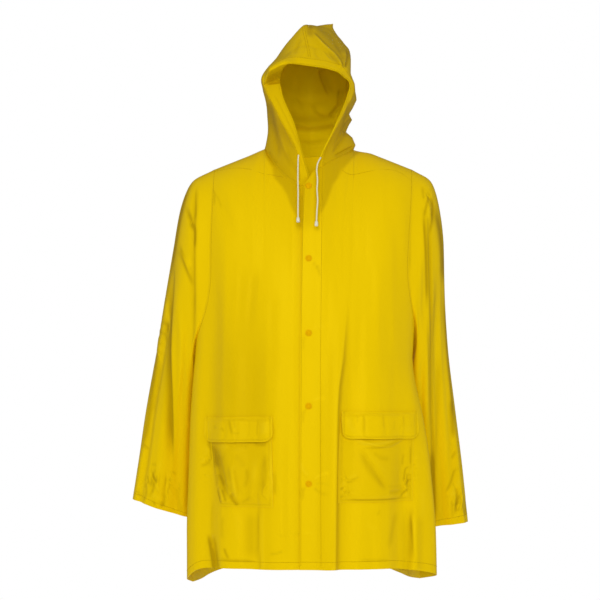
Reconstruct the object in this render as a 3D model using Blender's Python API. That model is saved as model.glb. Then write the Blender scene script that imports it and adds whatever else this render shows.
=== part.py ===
"""Hooded raincoat of thin film in its worn shape, hollow, with nobody in it.

Metres, +Z up, the front faces -Y. The origin lies at the base of the neck between
the shoulders, where the wearer carries the coat. Left and right are the wearer's,
so left is +X.

A coat surface is a function of two numbers. On the torso they are `across`, from
-1 at the right side seam over 0 at the centre to +1 at the left side seam, and
`level`, from 0 at the hem over 1 at the chest line to 2 at the shoulder or neck.
Each panel samples its own stretch of such a surface and gives it a wall.
"""
import math

import bmesh
import bpy
import numpy as np
from mathutils import Matrix, Vector
from mathutils.bvhtree import BVHTree

# ---------------------------------------------------------------- driving sizes

WALL = 0.0014              # cloth wall
SEAM_GAP = 0.0003          # between two pieces that are joined
NECK_GAP = 0.0005          # between the hood and the coat's neckline
HOOD_PULL = 0.00025        # each hood piece's edge, back from its seam line
START_GAP = 0.0020         # where three pieces meet at the shoulder seam's start
LAYER_GAP = 0.0004         # between a piece and the one it lies on
HEM_DEPTH = 0.018          # turned-up hem and cuff
HEM_WALL = 0.0026          # wall where the hem is turned up
HEM_STEP = 0.0015          # height over which the hem's extra wall ends
SIDE_SEAM_LENGTH = 0.47
SLEEVE_LENGTH = 0.70
CHANNEL_WALL = 0.0020      # the drawstring channel, pressed flat
PEAK_INWARDS = (-1.0, 0.8, -0.8)           # wall of the hood's peak, in walls

CHEST_LINE_Z = -0.43       # rings below, shoulder dome above
RING_POWER = 2.4           # squareness of a torso ring
DOME_POWER = 2.5           # squareness of chest and upper back seen from the side
NECK_DOME_POWER = 1.8      # the same beside the neck, where the shoulder falls forward
NECK_DOME_SPREAD = 0.22    # in `across`
TURN_POWER = 1.2           # rows of the dome lie closer at the chest line
NECK_BLEND = (0.60, 1.20)  # share of the neck point's `across` where the dome takes over
NECK_RISE_POWER = 2.2      # how late the cloth leans in towards the neck
SHOULDER_REACH = {-1: 0.224, 1: 0.238}     # ring half width at the shoulder line
SHOULDER_TIP_X = {-1: 0.2026, 1: 0.2159}   # where ridge and armhole meet
SHOULDER_SLOPE = 0.40
SHOULDER_LIFT = {-1: 0.003, 1: 0.008}
UNDERARM_LEVEL = {-1: 1.012, 1: 1.075}
ARMHOLE_TURN = 0.30        # part of the armhole's height in which it leaves the side seam
RIDGE_Y = 0.004            # the shoulder ridge lies just behind the neck points

OVERLAP_HALF = 0.0205      # half width of the front overlap
OVERLAP_TOP_X = -0.0113    # free edge at its top corner
CORNER_SLOPE = 1.37        # fall of the overlap's cut-off corner
CORNER_FORWARD = 0.50      # it also comes forward, clear of the hood's other end
OVERLAP_ROOM = 0.0007      # between the two fronts at the hem

SNAP_X = -0.0035
SNAP_HEIGHTS = (-0.0765, -0.226, -0.3777, -0.5260, -0.6830)
SNAP_RADIUS = 0.0063
SNAP_THICK = 0.0022
SNAP_BACK_RADIUS = 0.0052
SNAP_GAP = 0.0005          # under the cap's flat face, on the curved film
SNAP_BACK_TOP = -0.0860    # the top stud back stays below the under front's edge

POCKET_STAND = 0.0012      # the bag stands this much further off inside its sewn edges
LAY_ROUNDS = 4             # passes that lift a pocket or flap clear of what it lies on
LAY_SAMPLES = [(u / 4, v / 4) for u in range(5) for v in range(5)]   # places in a cell

CORD_DIAMETER = 0.003
CORD_END_RADIUS = 0.0036
CORD_END_LENGTH = 0.0105

# Torso rings. half_*: half width of the ring behind the arms; front_*: how far
# the front corner of the coat reaches out on that side.
TORSO_COLUMNS = ("z", "half_right", "half_left", "front_right", "front_left",
                 "front_y", "back_y", "side_y")
TORSO_LEVELS = (
    (-0.910, 0.238, 0.212, 0.2530, 0.2620, -0.170, 0.150, -0.040),
    (-0.790, 0.237, 0.206, 0.2535, 0.2590, -0.167, 0.148, -0.040),
    (-0.680, 0.236, 0.201, 0.2505, 0.2500, -0.163, 0.143, -0.038),
    (-0.560, 0.233, 0.200, 0.2465, 0.2350, -0.158, 0.134, -0.032),
    (-0.450, 0.227, 0.199, 0.2385, 0.2130, -0.152, 0.122, -0.022),
    (-0.360, 0.224, 0.200, 0.2290, 0.2050, -0.149, 0.112, -0.012),
)
FRONT_CORNER_AT = 0.80     # `across` of the front corner
FRONT_CORNER_SPREAD = 0.19

# Height of the hem round the coat, by `across` on each half.
HEM_COLUMNS = ("across", "front_right", "front_left", "back_right", "back_left")
HEM_LINE = (
    (0.00, -0.857, -0.857, -0.884, -0.884),
    (0.50, -0.857, -0.858, -0.886, -0.886),
    (0.64, -0.860, -0.864, -0.892, -0.890),
    (0.80, -0.883, -0.877, -0.899, -0.893),
    (1.00, -0.897, -0.890, -0.897, -0.890),
)

# Forward shoulder seam: height by distance from the centre.
SEAM_COLUMNS = ("x", "right", "left")
SHOULDER_SEAM = (
    (0.041, -0.0690, -0.0420),
    (0.0625, -0.0610, -0.0563),
    (0.090, -0.0520, -0.0540),
    (0.118, -0.0450, -0.0492),
    (0.152, -0.0400, -0.0430),
    (0.181, -0.0430, -0.0460),
    (0.216, -0.0520, -0.0700),
)
SEAM_STARTS_AT = {-1: 0.041, 1: 0.052}     # x where it meets the neckline

# Hood: a net of five lines from the face edge to the centre back, by row from
# the neck (0) to the top seam (7). Each line gives x, y and z.
LINE_PULL = 0.65           # under 1, the hood's curves across the lines are flatter
HOOD_LINES = ("face_edge", "channel", "side", "rear", "centre_back")
HOOD_RIGHT = (
    ((0.002, -0.088, -0.072), (-0.023, -0.086, -0.074), (-0.095, -0.002, 0.006),
     (-0.072, 0.055, -0.003), (0.000, 0.075, -0.006)),
    ((-0.014, -0.098, -0.017), (-0.027, -0.092, -0.007), (-0.088, 0.000, 0.040),
     (-0.070, 0.075, 0.046), (0.000, 0.105, 0.050)),
    ((-0.033, -0.100, 0.052), (-0.061, -0.088, 0.062), (-0.091, 0.010, 0.085),
     (-0.069, 0.090, 0.096), (0.000, 0.125, 0.103)),
    ((-0.058, -0.098, 0.115), (-0.090, -0.085, 0.120), (-0.095, 0.000, 0.126),
     (-0.071, 0.095, 0.148), (0.004, 0.130, 0.155)),
    ((-0.062, -0.104, 0.146), (-0.0965, -0.100, 0.142), (-0.088, -0.020, 0.166),
     (-0.056, 0.080, 0.198), (0.017, 0.125, 0.198)),
    ((-0.049, -0.118, 0.167), (-0.070, -0.112, 0.172), (-0.066, -0.050, 0.197),
     (-0.036, 0.060, 0.227), (0.032, 0.115, 0.232)),
    ((-0.029, -0.130, 0.170), (-0.037, -0.120, 0.185), (-0.044, -0.060, 0.224),
     (-0.013, 0.040, 0.255), (0.048, 0.088, 0.258)),
    ((-0.002, -0.135, 0.166), (-0.002, -0.125, 0.182), (-0.013, -0.050, 0.259),
     (0.017, 0.020, 0.267), (0.049, 0.055, 0.276)),
)
HOOD_LEFT = (
    ((0.010, -0.088, -0.043), (0.025, -0.083, -0.036), (0.092, 0.000, 0.004),
     (0.074, 0.055, -0.001), (0.000, 0.075, -0.006)),
    ((0.021, -0.095, -0.017), (0.030, -0.088, -0.006), (0.088, 0.000, 0.031),
     (0.070, 0.075, 0.043), (0.000, 0.105, 0.050)),
    ((0.052, -0.100, 0.048), (0.062, -0.090, 0.059), (0.087, 0.010, 0.076),
     (0.069, 0.090, 0.096), (0.000, 0.125, 0.103)),
    ((0.077, -0.105, 0.110), (0.087, -0.092, 0.112), (0.092, 0.000, 0.110),
     (0.075, 0.095, 0.148), (0.004, 0.130, 0.155)),
    ((0.083, -0.115, 0.137), (0.092, -0.101, 0.139), (0.086, -0.020, 0.166),
     (0.075, 0.085, 0.198), (0.017, 0.125, 0.198)),
    ((0.066, -0.125, 0.150), (0.080, -0.112, 0.160), (0.084, -0.020, 0.195),
     (0.077, 0.080, 0.223), (0.032, 0.115, 0.232)),
    ((0.037, -0.132, 0.160), (0.043, -0.120, 0.175), (0.045, -0.088, 0.200),
     (0.070, 0.060, 0.238), (0.048, 0.088, 0.258)),
    ((-0.002, -0.135, 0.166), (-0.002, -0.125, 0.182), (-0.013, -0.050, 0.259),
     (0.017, 0.020, 0.267), (0.049, 0.055, 0.276)),
)

# Sleeves: outer line from the shoulder tip, inner line from the underarm, and the
# depth of the tube, by the share of the length.
SLEEVE_COLUMNS = ("t", "outer_x", "outer_z", "inner_x", "inner_z", "mid_y", "half_depth")
SLEEVE_RIGHT = (
    (0.00, -0.203, -0.035, -0.237, -0.425, 0.000, 0.095),
    (0.07, -0.248, -0.060, -0.2445, -0.446, 0.004, 0.092),
    (0.14, -0.269, -0.105, -0.2490, -0.468, 0.010, 0.086),
    (0.25, -0.286, -0.190, -0.2510, -0.505, 0.018, 0.076),
    (0.40, -0.305, -0.300, -0.2520, -0.560, 0.026, 0.066),
    (0.56, -0.323, -0.413, -0.2520, -0.615, 0.032, 0.058),
    (0.72, -0.344, -0.530, -0.2515, -0.670, 0.034, 0.050),
    (0.86, -0.359, -0.630, -0.2500, -0.720, 0.034, 0.044),
    (1.00, -0.375, -0.731, -0.2480, -0.771, 0.033, 0.038),
)
SLEEVE_LEFT = (
    (0.00, 0.216, -0.040, 0.207, -0.388, 0.000, 0.095),
    (0.07, 0.254, -0.063, 0.2140, -0.415, 0.006, 0.092),
    (0.14, 0.271, -0.112, 0.2165, -0.440, 0.014, 0.086),
    (0.25, 0.282, -0.195, 0.2180, -0.485, 0.026, 0.076),
    (0.40, 0.2855, -0.300, 0.2185, -0.545, 0.042, 0.066),
    (0.56, 0.2940, -0.420, 0.2185, -0.610, 0.058, 0.058),
    (0.72, 0.3090, -0.540, 0.2185, -0.675, 0.068, 0.050),
    (0.86, 0.3240, -0.660, 0.2185, -0.735, 0.072, 0.044),
    (1.00, 0.3370, -0.783, 0.2185, -0.796, 0.074, 0.038),
)
SLEEVE_POWER = 2.2
SLEEVE_SETTLES_AT = 0.30   # share of the length in which the armhole's shape is lost

# Folds run from a top point to a bottom point. `raise` is positive outwards.
FOLD_STARTS_OVER = 0.35    # share of its length over which a fold grows
FOLD_COLUMNS = ("x_top", "z_top", "x_bottom", "z_bottom", "half_width", "raise")
FRONT_FOLDS = (
    (0.058, -0.290, 0.034, -0.950, 0.030, 0.0050),
    (0.092, -0.290, 0.070, -0.950, 0.030, -0.0050),
    (0.190, -0.560, 0.188, -0.950, 0.034, -0.0060),
    (0.140, -0.360, 0.140, -0.950, 0.045, 0.0040),
    (-0.118, -0.225, -0.125, -0.950, 0.036, -0.0045),
    (-0.070, -0.260, -0.068, -0.950, 0.034, 0.0040),
    (-0.160, -0.240, -0.172, -0.950, 0.034, 0.0040),
    (-0.198, -0.150, -0.212, -0.950, 0.030, -0.0060),
)
BACK_FOLDS = (
    (0.030, -0.180, 0.040, -0.980, 0.045, 0.0060),
    (-0.065, -0.150, -0.060, -0.980, 0.040, -0.0060),
    (0.105, -0.160, 0.110, -0.980, 0.038, -0.0070),
    (-0.130, -0.140, -0.140, -0.980, 0.036, 0.0070),
    (0.165, -0.220, 0.165, -0.980, 0.030, 0.0050),
)
# On a sleeve x is the angle round it, in turns from the outer line by the front,
# and z is the share of the length, so a fold's half width is in turns.
SLEEVE_FOLDS_RIGHT = (
    (0.130, 0.200, 0.120, 0.960, 0.050, -0.0060),
    (0.215, 0.120, 0.230, 1.100, 0.060, 0.0045),
    (0.330, 0.100, 0.320, 1.100, 0.050, -0.0040),
    (0.640, 0.150, 0.660, 1.100, 0.080, -0.0050),
    (0.800, 0.150, 0.790, 1.100, 0.080, 0.0040),
)
SLEEVE_FOLDS_LEFT = (
    (0.170, 0.060, 0.250, 1.100, 0.050, -0.0050),
    (0.270, 0.100, 0.330, 1.100, 0.050, 0.0045),
    (0.090, 0.100, 0.110, 1.100, 0.045, 0.0030),
    (0.640, 0.150, 0.660, 1.100, 0.080, -0.0050),
    (0.800, 0.150, 0.790, 1.100, 0.080, 0.0040),
)

# Pockets, in x and z on the front panel. Rows give the outline from the top.
POCKET_COLUMNS = ("z", "x_inner", "x_outer")
POCKET_BAG_LEFT = (
    (-0.546, 0.0620, 0.2120),
    (-0.600, 0.0575, 0.2120),
    (-0.660, 0.0560, 0.2105),
    (-0.722, 0.0555, 0.2100),
)
POCKET_BAG_RIGHT = (
    (-0.556, -0.0785, -0.2080),
    (-0.600, -0.0780, -0.2040),
    (-0.665, -0.0760, -0.1970),
    (-0.731, -0.0755, -0.1840),
)
FLAP_LEFT = {"top_inner": (0.0625, -0.5360), "top_outer": (0.2210, -0.5400),
             "height": 0.0570, "corner": 0.018}
FLAP_RIGHT = {"top_inner": (-0.0768, -0.5460), "top_outer": (-0.2160, -0.5500),
              "height": 0.0530, "corner": 0.018}
POCKET_SAG_COLUMNS = ("across", "down", "half_width", "raise")
POCKET_SAG_LEFT = (
    (0.50, 0.66, 0.34, 0.0016),
)
POCKET_SAG_RIGHT = (
    (0.45, 0.68, 0.34, 0.0018),
)

CORD_ROUTES = {
    "right": ((-0.0241, -0.0951, -0.0129), (-0.0248, -0.0978, -0.0220),
              (-0.0251, -0.1050, -0.0400), (-0.0253, -0.1120, -0.0600),
              (-0.0249, -0.1215, -0.0900), (-0.0251, -0.1320, -0.1200),
              (-0.0250, -0.1395, -0.1430)),
    "left": ((0.0217, -0.0962, -0.0182), (0.0200, -0.0988, -0.0213),
             (0.0172, -0.1010, -0.0262), (0.0148, -0.1030, -0.0330),
             (0.0134, -0.1060, -0.0445), (0.0148, -0.1140, -0.0660),
             (0.0138, -0.1195, -0.0850), (0.0150, -0.1280, -0.1080),
             (0.0136, -0.1350, -0.1270), (0.0125, -0.1420, -0.1510)),
}

# ---------------------------------------------------------------- mesh fineness

PAST_STEPS = 2             # columns of a front past the hood's end
CHANNEL_STEPS = 3          # columns under the channel's end
COLLAR_STEPS = 3           # columns from the shoulder seam's start to the neck point
SHOULDER_STEPS = 8         # columns from the neck point to the shoulder tip
NAPE_STEPS = 6             # columns of half the back's neckline
LOW_ROWS = 16
FRONT_ARM_ROWS = 9
YOKE_ROWS = 3
BACK_ARM_ROWS = FRONT_ARM_ROWS + YOKE_ROWS
SLEEVE_ROWS = 15
HOOD_ROWS_PER_STEP = 2
HOOD_EVEN_AT = 3.0         # net row from which the hood's columns are evenly spread
EDGE_PULL = 2              # how closely only the outer columns follow the armhole
ARM_ROW_POWER = 1.2        # rows of the armhole lie closer at the underarm
PROBE = 0.004              # distance over which a panel's direction is felt
POCKET_RIM = 0.12          # share of the bag in which it rises from its sewn edges
POCKET_ACROSS = 10
POCKET_DOWN = 9
FLAP_DOWN = 4
SNAP_SEGMENTS = 20

# Colour and roughness of each kind of piece; every piece gets its own material.
FILM = ((0.73, 0.48, 0.004, 1.0), 0.38)
SNAP_PLASTIC = ((0.75, 0.36, 0.01, 1.0), 0.35)
CORD_BRAID = ((0.83, 0.80, 0.68, 1.0), 0.8)
END_PLASTIC = ((0.80, 0.77, 0.62, 1.0), 0.45)


# ---------------------------------------------------------------- curves

def column(table, columns, name):
    """One named column of a table."""
    return np.array([row[columns.index(name)] for row in table], float)


def smooth(xs, ys, at):
    """Smooth curve through the values ys at xs, with no overshoot between them."""
    xs = np.asarray(xs, float)
    ys = np.asarray(ys, float)
    step = np.diff(xs)
    slope = np.diff(ys) / step
    tangent = np.zeros_like(ys)
    tangent[0] = slope[0]
    tangent[-1] = slope[-1]
    for i in range(1, len(ys) - 1):
        if slope[i - 1] * slope[i] > 0:
            w1 = 2 * step[i] + step[i - 1]
            w2 = step[i] + 2 * step[i - 1]
            tangent[i] = (w1 + w2) / (w1 / slope[i - 1] + w2 / slope[i])
    at = np.clip(np.asarray(at, float), xs[0], xs[-1])
    i = np.clip(np.searchsorted(xs, at, side="right") - 1, 0, len(step) - 1)
    t = (at - xs[i]) / step[i]
    return (ys[i] * (1 + 2 * t) * (1 - t) ** 2 + step[i] * tangent[i] * t * (1 - t) ** 2
            + ys[i + 1] * t * t * (3 - 2 * t) + step[i] * tangent[i + 1] * t * t * (t - 1))


def from_table(table, columns, name, key, at):
    """Smooth value of a named column at a place along the key column."""
    xs = column(table, columns, key)
    ys = column(table, columns, name)
    order = np.argsort(xs)
    return smooth(xs[order], ys[order], at)


def ease(low, high, value):
    """0 below low, 1 above high, smooth between."""
    t = np.clip((np.asarray(value, float) - low) / (high - low), 0.0, 1.0)
    return t * t * (3 - 2 * t)


def quarter(power, count=600):
    """Quarter of a rounded square by its share of length: share, sideways, forwards."""
    angle = np.linspace(0.0, math.pi / 2, count)
    sideways = np.sin(angle) ** (2 / power)
    forwards = np.cos(angle).clip(0) ** (2 / power)
    run = np.concatenate(([0.0], np.cumsum(np.hypot(np.diff(sideways), np.diff(forwards)))))
    return run / run[-1], sideways, forwards


QUARTER_SHARE, QUARTER_SIDE, QUARTER_FORE = quarter(RING_POWER)


def sideways(across):
    """Share of the half width reached at `across`, with its sign."""
    return np.sign(across) * np.interp(np.abs(across), QUARTER_SHARE, QUARTER_SIDE)


def forwards(across):
    """Share of the depth reached at `across`."""
    return np.interp(np.abs(across), QUARTER_SHARE, QUARTER_FORE)


def across_of(share):
    """`across` at which the ring reaches this share of its half width."""
    return np.sign(share) * np.interp(np.abs(share), QUARTER_SIDE, QUARTER_SHARE)


def by_side(across, right, left):
    """Pick the right side's value where across is negative."""
    return np.where(np.asarray(across) < 0, right, left)


# ---------------------------------------------------------------- hood surface

CENTRE_BACK = HOOD_LINES.index("centre_back")
TOP_ROW = len(HOOD_RIGHT) - 1
LAST_ROW = 2 * TOP_ROW


def hood_node(line, row):
    """Net point of the hood. Rows 0-7 climb the right side, 7-14 go down the left."""
    if line > CENTRE_BACK:
        return hood_node(2 * CENTRE_BACK - line, LAST_ROW - row)
    if line < 0:
        return 2 * hood_node(0, row) - hood_node(1, row)
    if row < 0:
        return 2 * hood_node(line, 0) - hood_node(line, 1)
    if row > LAST_ROW:
        return 2 * hood_node(line, LAST_ROW) - hood_node(line, LAST_ROW - 1)
    if row <= TOP_ROW:
        return np.array(HOOD_RIGHT[row][line])
    return np.array(HOOD_LEFT[LAST_ROW - row][line])


HOOD_NET = np.array([[hood_node(line, row) for row in range(-1, LAST_ROW + 2)]
                     for line in range(-1, CENTRE_BACK + 3)])


def through(before, start, end, after, t, pull=1.0):
    """Curve from start to end, smooth with its neighbours at any spacing."""
    t = t[..., None]

    def velocity(a, b, c):
        ab = np.linalg.norm(b - a, axis=-1, keepdims=True) + 1e-9
        bc = np.linalg.norm(c - b, axis=-1, keepdims=True) + 1e-9
        return ((b - a) / ab * bc + (c - b) / bc * ab) / (ab + bc)
    size = np.linalg.norm(end - start, axis=-1, keepdims=True) * pull
    leave = velocity(before, start, end) * size
    arrive = velocity(start, end, after) * size
    return (start * (1 + 2 * t) * (1 - t) ** 2 + leave * t * (1 - t) ** 2
            + end * t * t * (3 - 2 * t) + arrive * t * t * (t - 1))


def hood_surface(line, row):
    """Point of the hood at fractional net places; arrays of one shape."""
    line = np.asarray(line, float)
    row = np.asarray(row, float)
    i = np.clip(np.floor(line).astype(int), 0, CENTRE_BACK)
    j = np.clip(np.floor(row).astype(int), 0, LAST_ROW - 1)
    u = line - i
    v = row - j
    strands = [through(*[HOOD_NET[i + a, j + b] for b in range(4)], v) for a in range(4)]
    return through(*strands, u, pull=LINE_PULL)


def hood_base(side, line):
    """The hood's lower edge, which is the coat's neckline, on one side."""
    row = np.full(np.shape(line), 0.0 if side < 0 else float(LAST_ROW))
    return hood_surface(line, row)


def widest_line(side):
    """Net place at which the neckline is widest, where the shoulder ridge starts."""
    samples = np.linspace(1.5, 2.6, 221)
    return float(samples[np.argmax(hood_base(side, samples)[:, 0] * side)])


WIDEST = {side: widest_line(side) for side in (-1, 1)}


def neckline(side, half, reach):
    """Neckline point whose distance from the centre is reach (an array)."""
    end = 0.0 if half == "front" else float(CENTRE_BACK)
    samples = np.linspace(end, WIDEST[side], 161)
    distance = np.maximum.accumulate(hood_base(side, samples)[:, 0] * side)
    line = np.interp(reach, distance, samples)
    return hood_base(side, line)


NECK_POINT = {side: hood_base(side, np.array([WIDEST[side]]))[0] for side in (-1, 1)}
NECK_HALF = {side: abs(float(NECK_POINT[side][0])) for side in (-1, 1)}
NECK_AT = {side: float(across_of(NECK_HALF[side] / SHOULDER_REACH[side])) for side in (-1, 1)}
TIP_AT = {side: float(across_of(SHOULDER_TIP_X[side] / SHOULDER_REACH[side])) for side in (-1, 1)}


def line_at(side, reach):
    """Net place at which the front neckline is this far from the centre."""
    samples = np.linspace(0.0, WIDEST[side], 241)
    distance = np.maximum.accumulate(hood_base(side, samples)[:, 0] * side)
    return float(np.interp(reach, distance, samples))


def collar_lines(side):
    """Net places of the joints between hood and coat from the seam's start back."""
    front = np.linspace(line_at(side, SEAM_STARTS_AT[side]), WIDEST[side], COLLAR_STEPS + 1)
    return np.concatenate((front, np.linspace(WIDEST[side], CENTRE_BACK, NAPE_STEPS + 1)[1:]))


def neck_across(side, lines):
    """`across`, without its sign, of the coat's columns at these net places."""
    reach = hood_base(side, np.asarray(lines))[:, 0] * side
    return across_of(reach / SHOULDER_REACH[side])


# ---------------------------------------------------------------- torso surface

def torso_value(name, z):
    return from_table(TORSO_LEVELS, TORSO_COLUMNS, name, "z", z)


def ring_point(half, across, z):
    """Point of the coat's ring at height z, before folds."""
    side_share = sideways(across)
    fore_share = forwards(across)
    base = by_side(across, torso_value("half_right", z), torso_value("half_left", z))
    reach = by_side(across, torso_value("front_right", z), torso_value("front_left", z))
    corner_base = base * sideways(FRONT_CORNER_AT)
    from_corner = np.abs(across) - FRONT_CORNER_AT
    if half == "back":
        from_corner = 2.0 - np.abs(across) - FRONT_CORNER_AT
    bump = np.exp(-(from_corner / FRONT_CORNER_SPREAD) ** 2)
    x = base * side_share + np.sign(across) * (reach - corner_base) * bump
    side_y = torso_value("side_y", z)
    end_y = torso_value("front_y" if half == "front" else "back_y", z)
    y = side_y + (end_y - side_y) * fore_share
    return x, y


def top_point(panel_side, half, across):
    """Where a column of the torso ends: on the neckline or on the shoulder ridge."""
    across = np.asarray(across, float)
    out = np.zeros(across.shape + (3,))
    for side in (-1, 1):
        mine = (across < 0) if side < 0 else (across >= 0)
        reach = SHOULDER_REACH[side] * sideways(np.abs(across))
        ridge = np.stack([side * reach, np.full_like(reach, RIDGE_Y),
                          SHOULDER_LIFT[side] - SHOULDER_SLOPE * (reach - 0.10)], -1)
        start = ease(NECK_HALF[side], NECK_HALF[side] + 0.04, reach)[..., None]
        ridge = ridge * start + (1 - start) * np.stack(
            [side * reach, np.full_like(reach, NECK_POINT[side][1]),
             NECK_POINT[side][2] - SHOULDER_SLOPE * (reach - NECK_HALF[side])], -1)
        neck = neckline(side, half, reach)
        at_neck = (reach < NECK_HALF[side])[..., None]
        point = np.where(at_neck, neck, ridge)
        out = np.where(mine[..., None], point, out)
    if half == "front":
        edge = hood_base(panel_side, np.array([0.0]))[0]
        share = SHOULDER_REACH[panel_side] * sideways(across)
        own = neckline(panel_side, half, share * panel_side)
        near = np.abs(share) < NECK_HALF[panel_side] / 2
        out = np.where(near[..., None], own, out)
        past = (share - edge[0]) * panel_side < 0
        fall = CORNER_SLOPE if panel_side > 0 else 0.0
        forward = CORNER_FORWARD if panel_side > 0 else 0.0
        beyond = np.stack([share, edge[1] - forward * np.abs(share - edge[0]),
                           edge[2] - fall * np.abs(share - edge[0])], -1)
        out = np.where(past[..., None], beyond, out)
    return out


def dome_power(across):
    """Squareness of the dome over this column."""
    neck_at = by_side(across, NECK_AT[-1], NECK_AT[1])
    off = (np.abs(across) - neck_at) / NECK_DOME_SPREAD
    return DOME_POWER + (NECK_DOME_POWER - DOME_POWER) * np.exp(-off ** 2)


def rise_share(turn, power):
    """Share of the dome's height reached at `turn`, 0 to 1."""
    angle = math.pi / 2 * np.clip(turn, 0, 1) ** TURN_POWER
    return np.sin(angle) ** (2 / power)


def turn_of(share, power):
    """The `turn` at which the dome has reached this share of its height."""
    angle = np.arcsin(np.clip(share, 0, 1) ** (power / 2))
    return (angle / (math.pi / 2)) ** (1 / TURN_POWER)


def torso_base(panel_side, half, across, level):
    """Torso point before folds. panel_side says which front panel it is on."""
    across = np.asarray(across, float)
    level = np.asarray(level, float)
    name = half + "_right"
    hem = np.where(across < 0,
                   from_table(HEM_LINE, HEM_COLUMNS, name, "across", np.abs(across)),
                   from_table(HEM_LINE, HEM_COLUMNS, half + "_left", "across", np.abs(across)))
    z = hem + (CHEST_LINE_Z - hem) * np.clip(level, 0, 1)
    x, y = ring_point(half, across, z)
    ring = np.stack([x, y, z], -1)
    turn = np.clip(level - 1, 0, 1)
    top = top_point(panel_side, half, across)
    power = dome_power(across)
    rise = rise_share(turn, power)
    lean_dome = np.cos(math.pi / 2 * turn ** TURN_POWER).clip(0) ** (2 / power)
    lean_neck = 1 - rise ** NECK_RISE_POWER
    neck_at = by_side(across, NECK_AT[-1], NECK_AT[1])
    at_neck = 1 - ease(*NECK_BLEND, np.abs(across) / neck_at)
    lean = at_neck * lean_neck + (1 - at_neck) * lean_dome
    dome = np.stack([x + (top[..., 0] - x) * rise,
                     top[..., 1] + (y - top[..., 1]) * lean,
                     z + (top[..., 2] - z) * rise], -1)
    return np.where((level > 1)[..., None], dome, ring)


def surface_normal(surface, a, b, step_a=1e-3, step_b=1e-3):
    """Unit normal of a surface of two numbers, by small steps either way."""
    da = surface(a + step_a, b) - surface(a - step_a, b)
    db = surface(a, b + step_b) - surface(a, b - step_b)
    normal = np.cross(da, db)
    return normal / np.maximum(np.linalg.norm(normal, axis=-1, keepdims=True), 1e-12)


def fold_height(folds, x, z):
    """Sum of the folds at x and z, in metres outwards."""
    total = np.zeros(np.broadcast(x, z).shape)
    for row in folds:
        fold = dict(zip(FOLD_COLUMNS, row))
        along = (z - fold["z_top"]) / (fold["z_bottom"] - fold["z_top"])
        centre = fold["x_top"] + (fold["x_bottom"] - fold["x_top"]) * along
        off = np.clip(np.abs(x - centre) / fold["half_width"], 0, 1)
        profile = np.cos(math.pi / 2 * off) ** 2
        total = total + fold["raise"] * profile * ease(0.0, FOLD_STARTS_OVER, along)
    return total


def overlap_shift(panel_side, x, z):
    """Keeps the two fronts apart where they overlap: left out, right in."""
    apart = (HEM_WALL + OVERLAP_ROOM) / 2
    near = 1 - ease(OVERLAP_HALF + 0.002, OVERLAP_HALF + 0.018, np.abs(x))
    return panel_side * apart * near


def torso_surface(panel_side, half, across, level, out=0.0):
    """Outer face of the torso with its folds, moved outwards by `out`."""
    def base(a, b):
        return torso_base(panel_side, half, a, b)
    across = np.asarray(across, float)
    level = np.asarray(level, float)
    inside = np.clip(level, 1e-3, 2 - 2e-3)
    point = base(across, level)
    normal = surface_normal(base, across, inside)
    normal = normal * (1 if half == "front" else -1)
    folds = FRONT_FOLDS if half == "front" else BACK_FOLDS
    lift = fold_height(folds, point[..., 0], point[..., 2])
    if half == "front":
        lift = lift + overlap_shift(panel_side, point[..., 0], point[..., 2])
    return point + normal * (lift + out)[..., None], normal


# ---------------------------------------------------------------- armhole

def armhole_across(side, level):
    """`across` of the panel's outer edge: side seam below, armhole above."""
    start = UNDERARM_LEVEL[side]
    share = np.clip((np.asarray(level, float) - start) / ARMHOLE_TURN, 0, 1)
    return 1.0 - (1.0 - TIP_AT[side]) * np.sqrt(1 - (1 - share) ** 2)


def seam_level(side, across):
    """Level of the forward shoulder seam on a column of the front."""
    across = np.asarray(across, float)
    reach = SHOULDER_REACH[side] * sideways(np.abs(across))
    name = "right" if side < 0 else "left"
    height = from_table(SHOULDER_SEAM, SEAM_COLUMNS, name, "x", reach)
    top = top_point(side, "front", across)
    share = (height - CHEST_LINE_Z) / (top[..., 2] - CHEST_LINE_Z)
    blend = ease(0.0, 0.02, reach - SEAM_STARTS_AT[side])
    turn = turn_of(np.clip(share, 0, 0.999), dome_power(across))
    turn = 1.0 + (turn - 1.0) * blend
    return 1.0 + np.where(reach <= SEAM_STARTS_AT[side], 1.0, turn)


def shoulder_columns(side):
    """`across` of the columns that end on the ridge, from neck point to tip."""
    return np.linspace(NECK_AT[side], TIP_AT[side], SHOULDER_STEPS + 1)


def collar_columns(side):
    """`across` of the columns that end on the neckline beside the yoke strip."""
    return neck_across(side, collar_lines(side)[:COLLAR_STEPS + 1])


def nape_columns(side):
    """`across` of the back's columns from the centre to the neck point."""
    return neck_across(side, collar_lines(side)[COLLAR_STEPS:])[::-1]


def throat_columns(side):
    """`across` of the columns from the free edge to the shoulder seam's start."""
    free = front_free_across(side, 2.0) * side
    joined = neck_across(side, np.linspace(0, 1, CHANNEL_STEPS + 1))
    past = np.linspace(free, joined[0], PAST_STEPS + 1)
    return np.concatenate((past[:-1], joined))


# ---------------------------------------------------------------- solids

def clear_scene():
    for item in list(bpy.data.objects):
        bpy.data.objects.remove(item, do_unlink=True)


def finish_object(name, data, look):
    """Links a piece's object with a material of its own."""
    color, roughness = look
    material = bpy.data.materials.new(name + "_surface")
    material.use_nodes = True
    shader = material.node_tree.nodes["Principled BSDF"]
    shader.inputs["Base Color"].default_value = color
    shader.inputs["Roughness"].default_value = roughness
    material.diffuse_color = color
    data.materials.append(material)
    item = bpy.data.objects.new(name, data)
    COLLECTION.objects.link(item)
    return item


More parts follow.
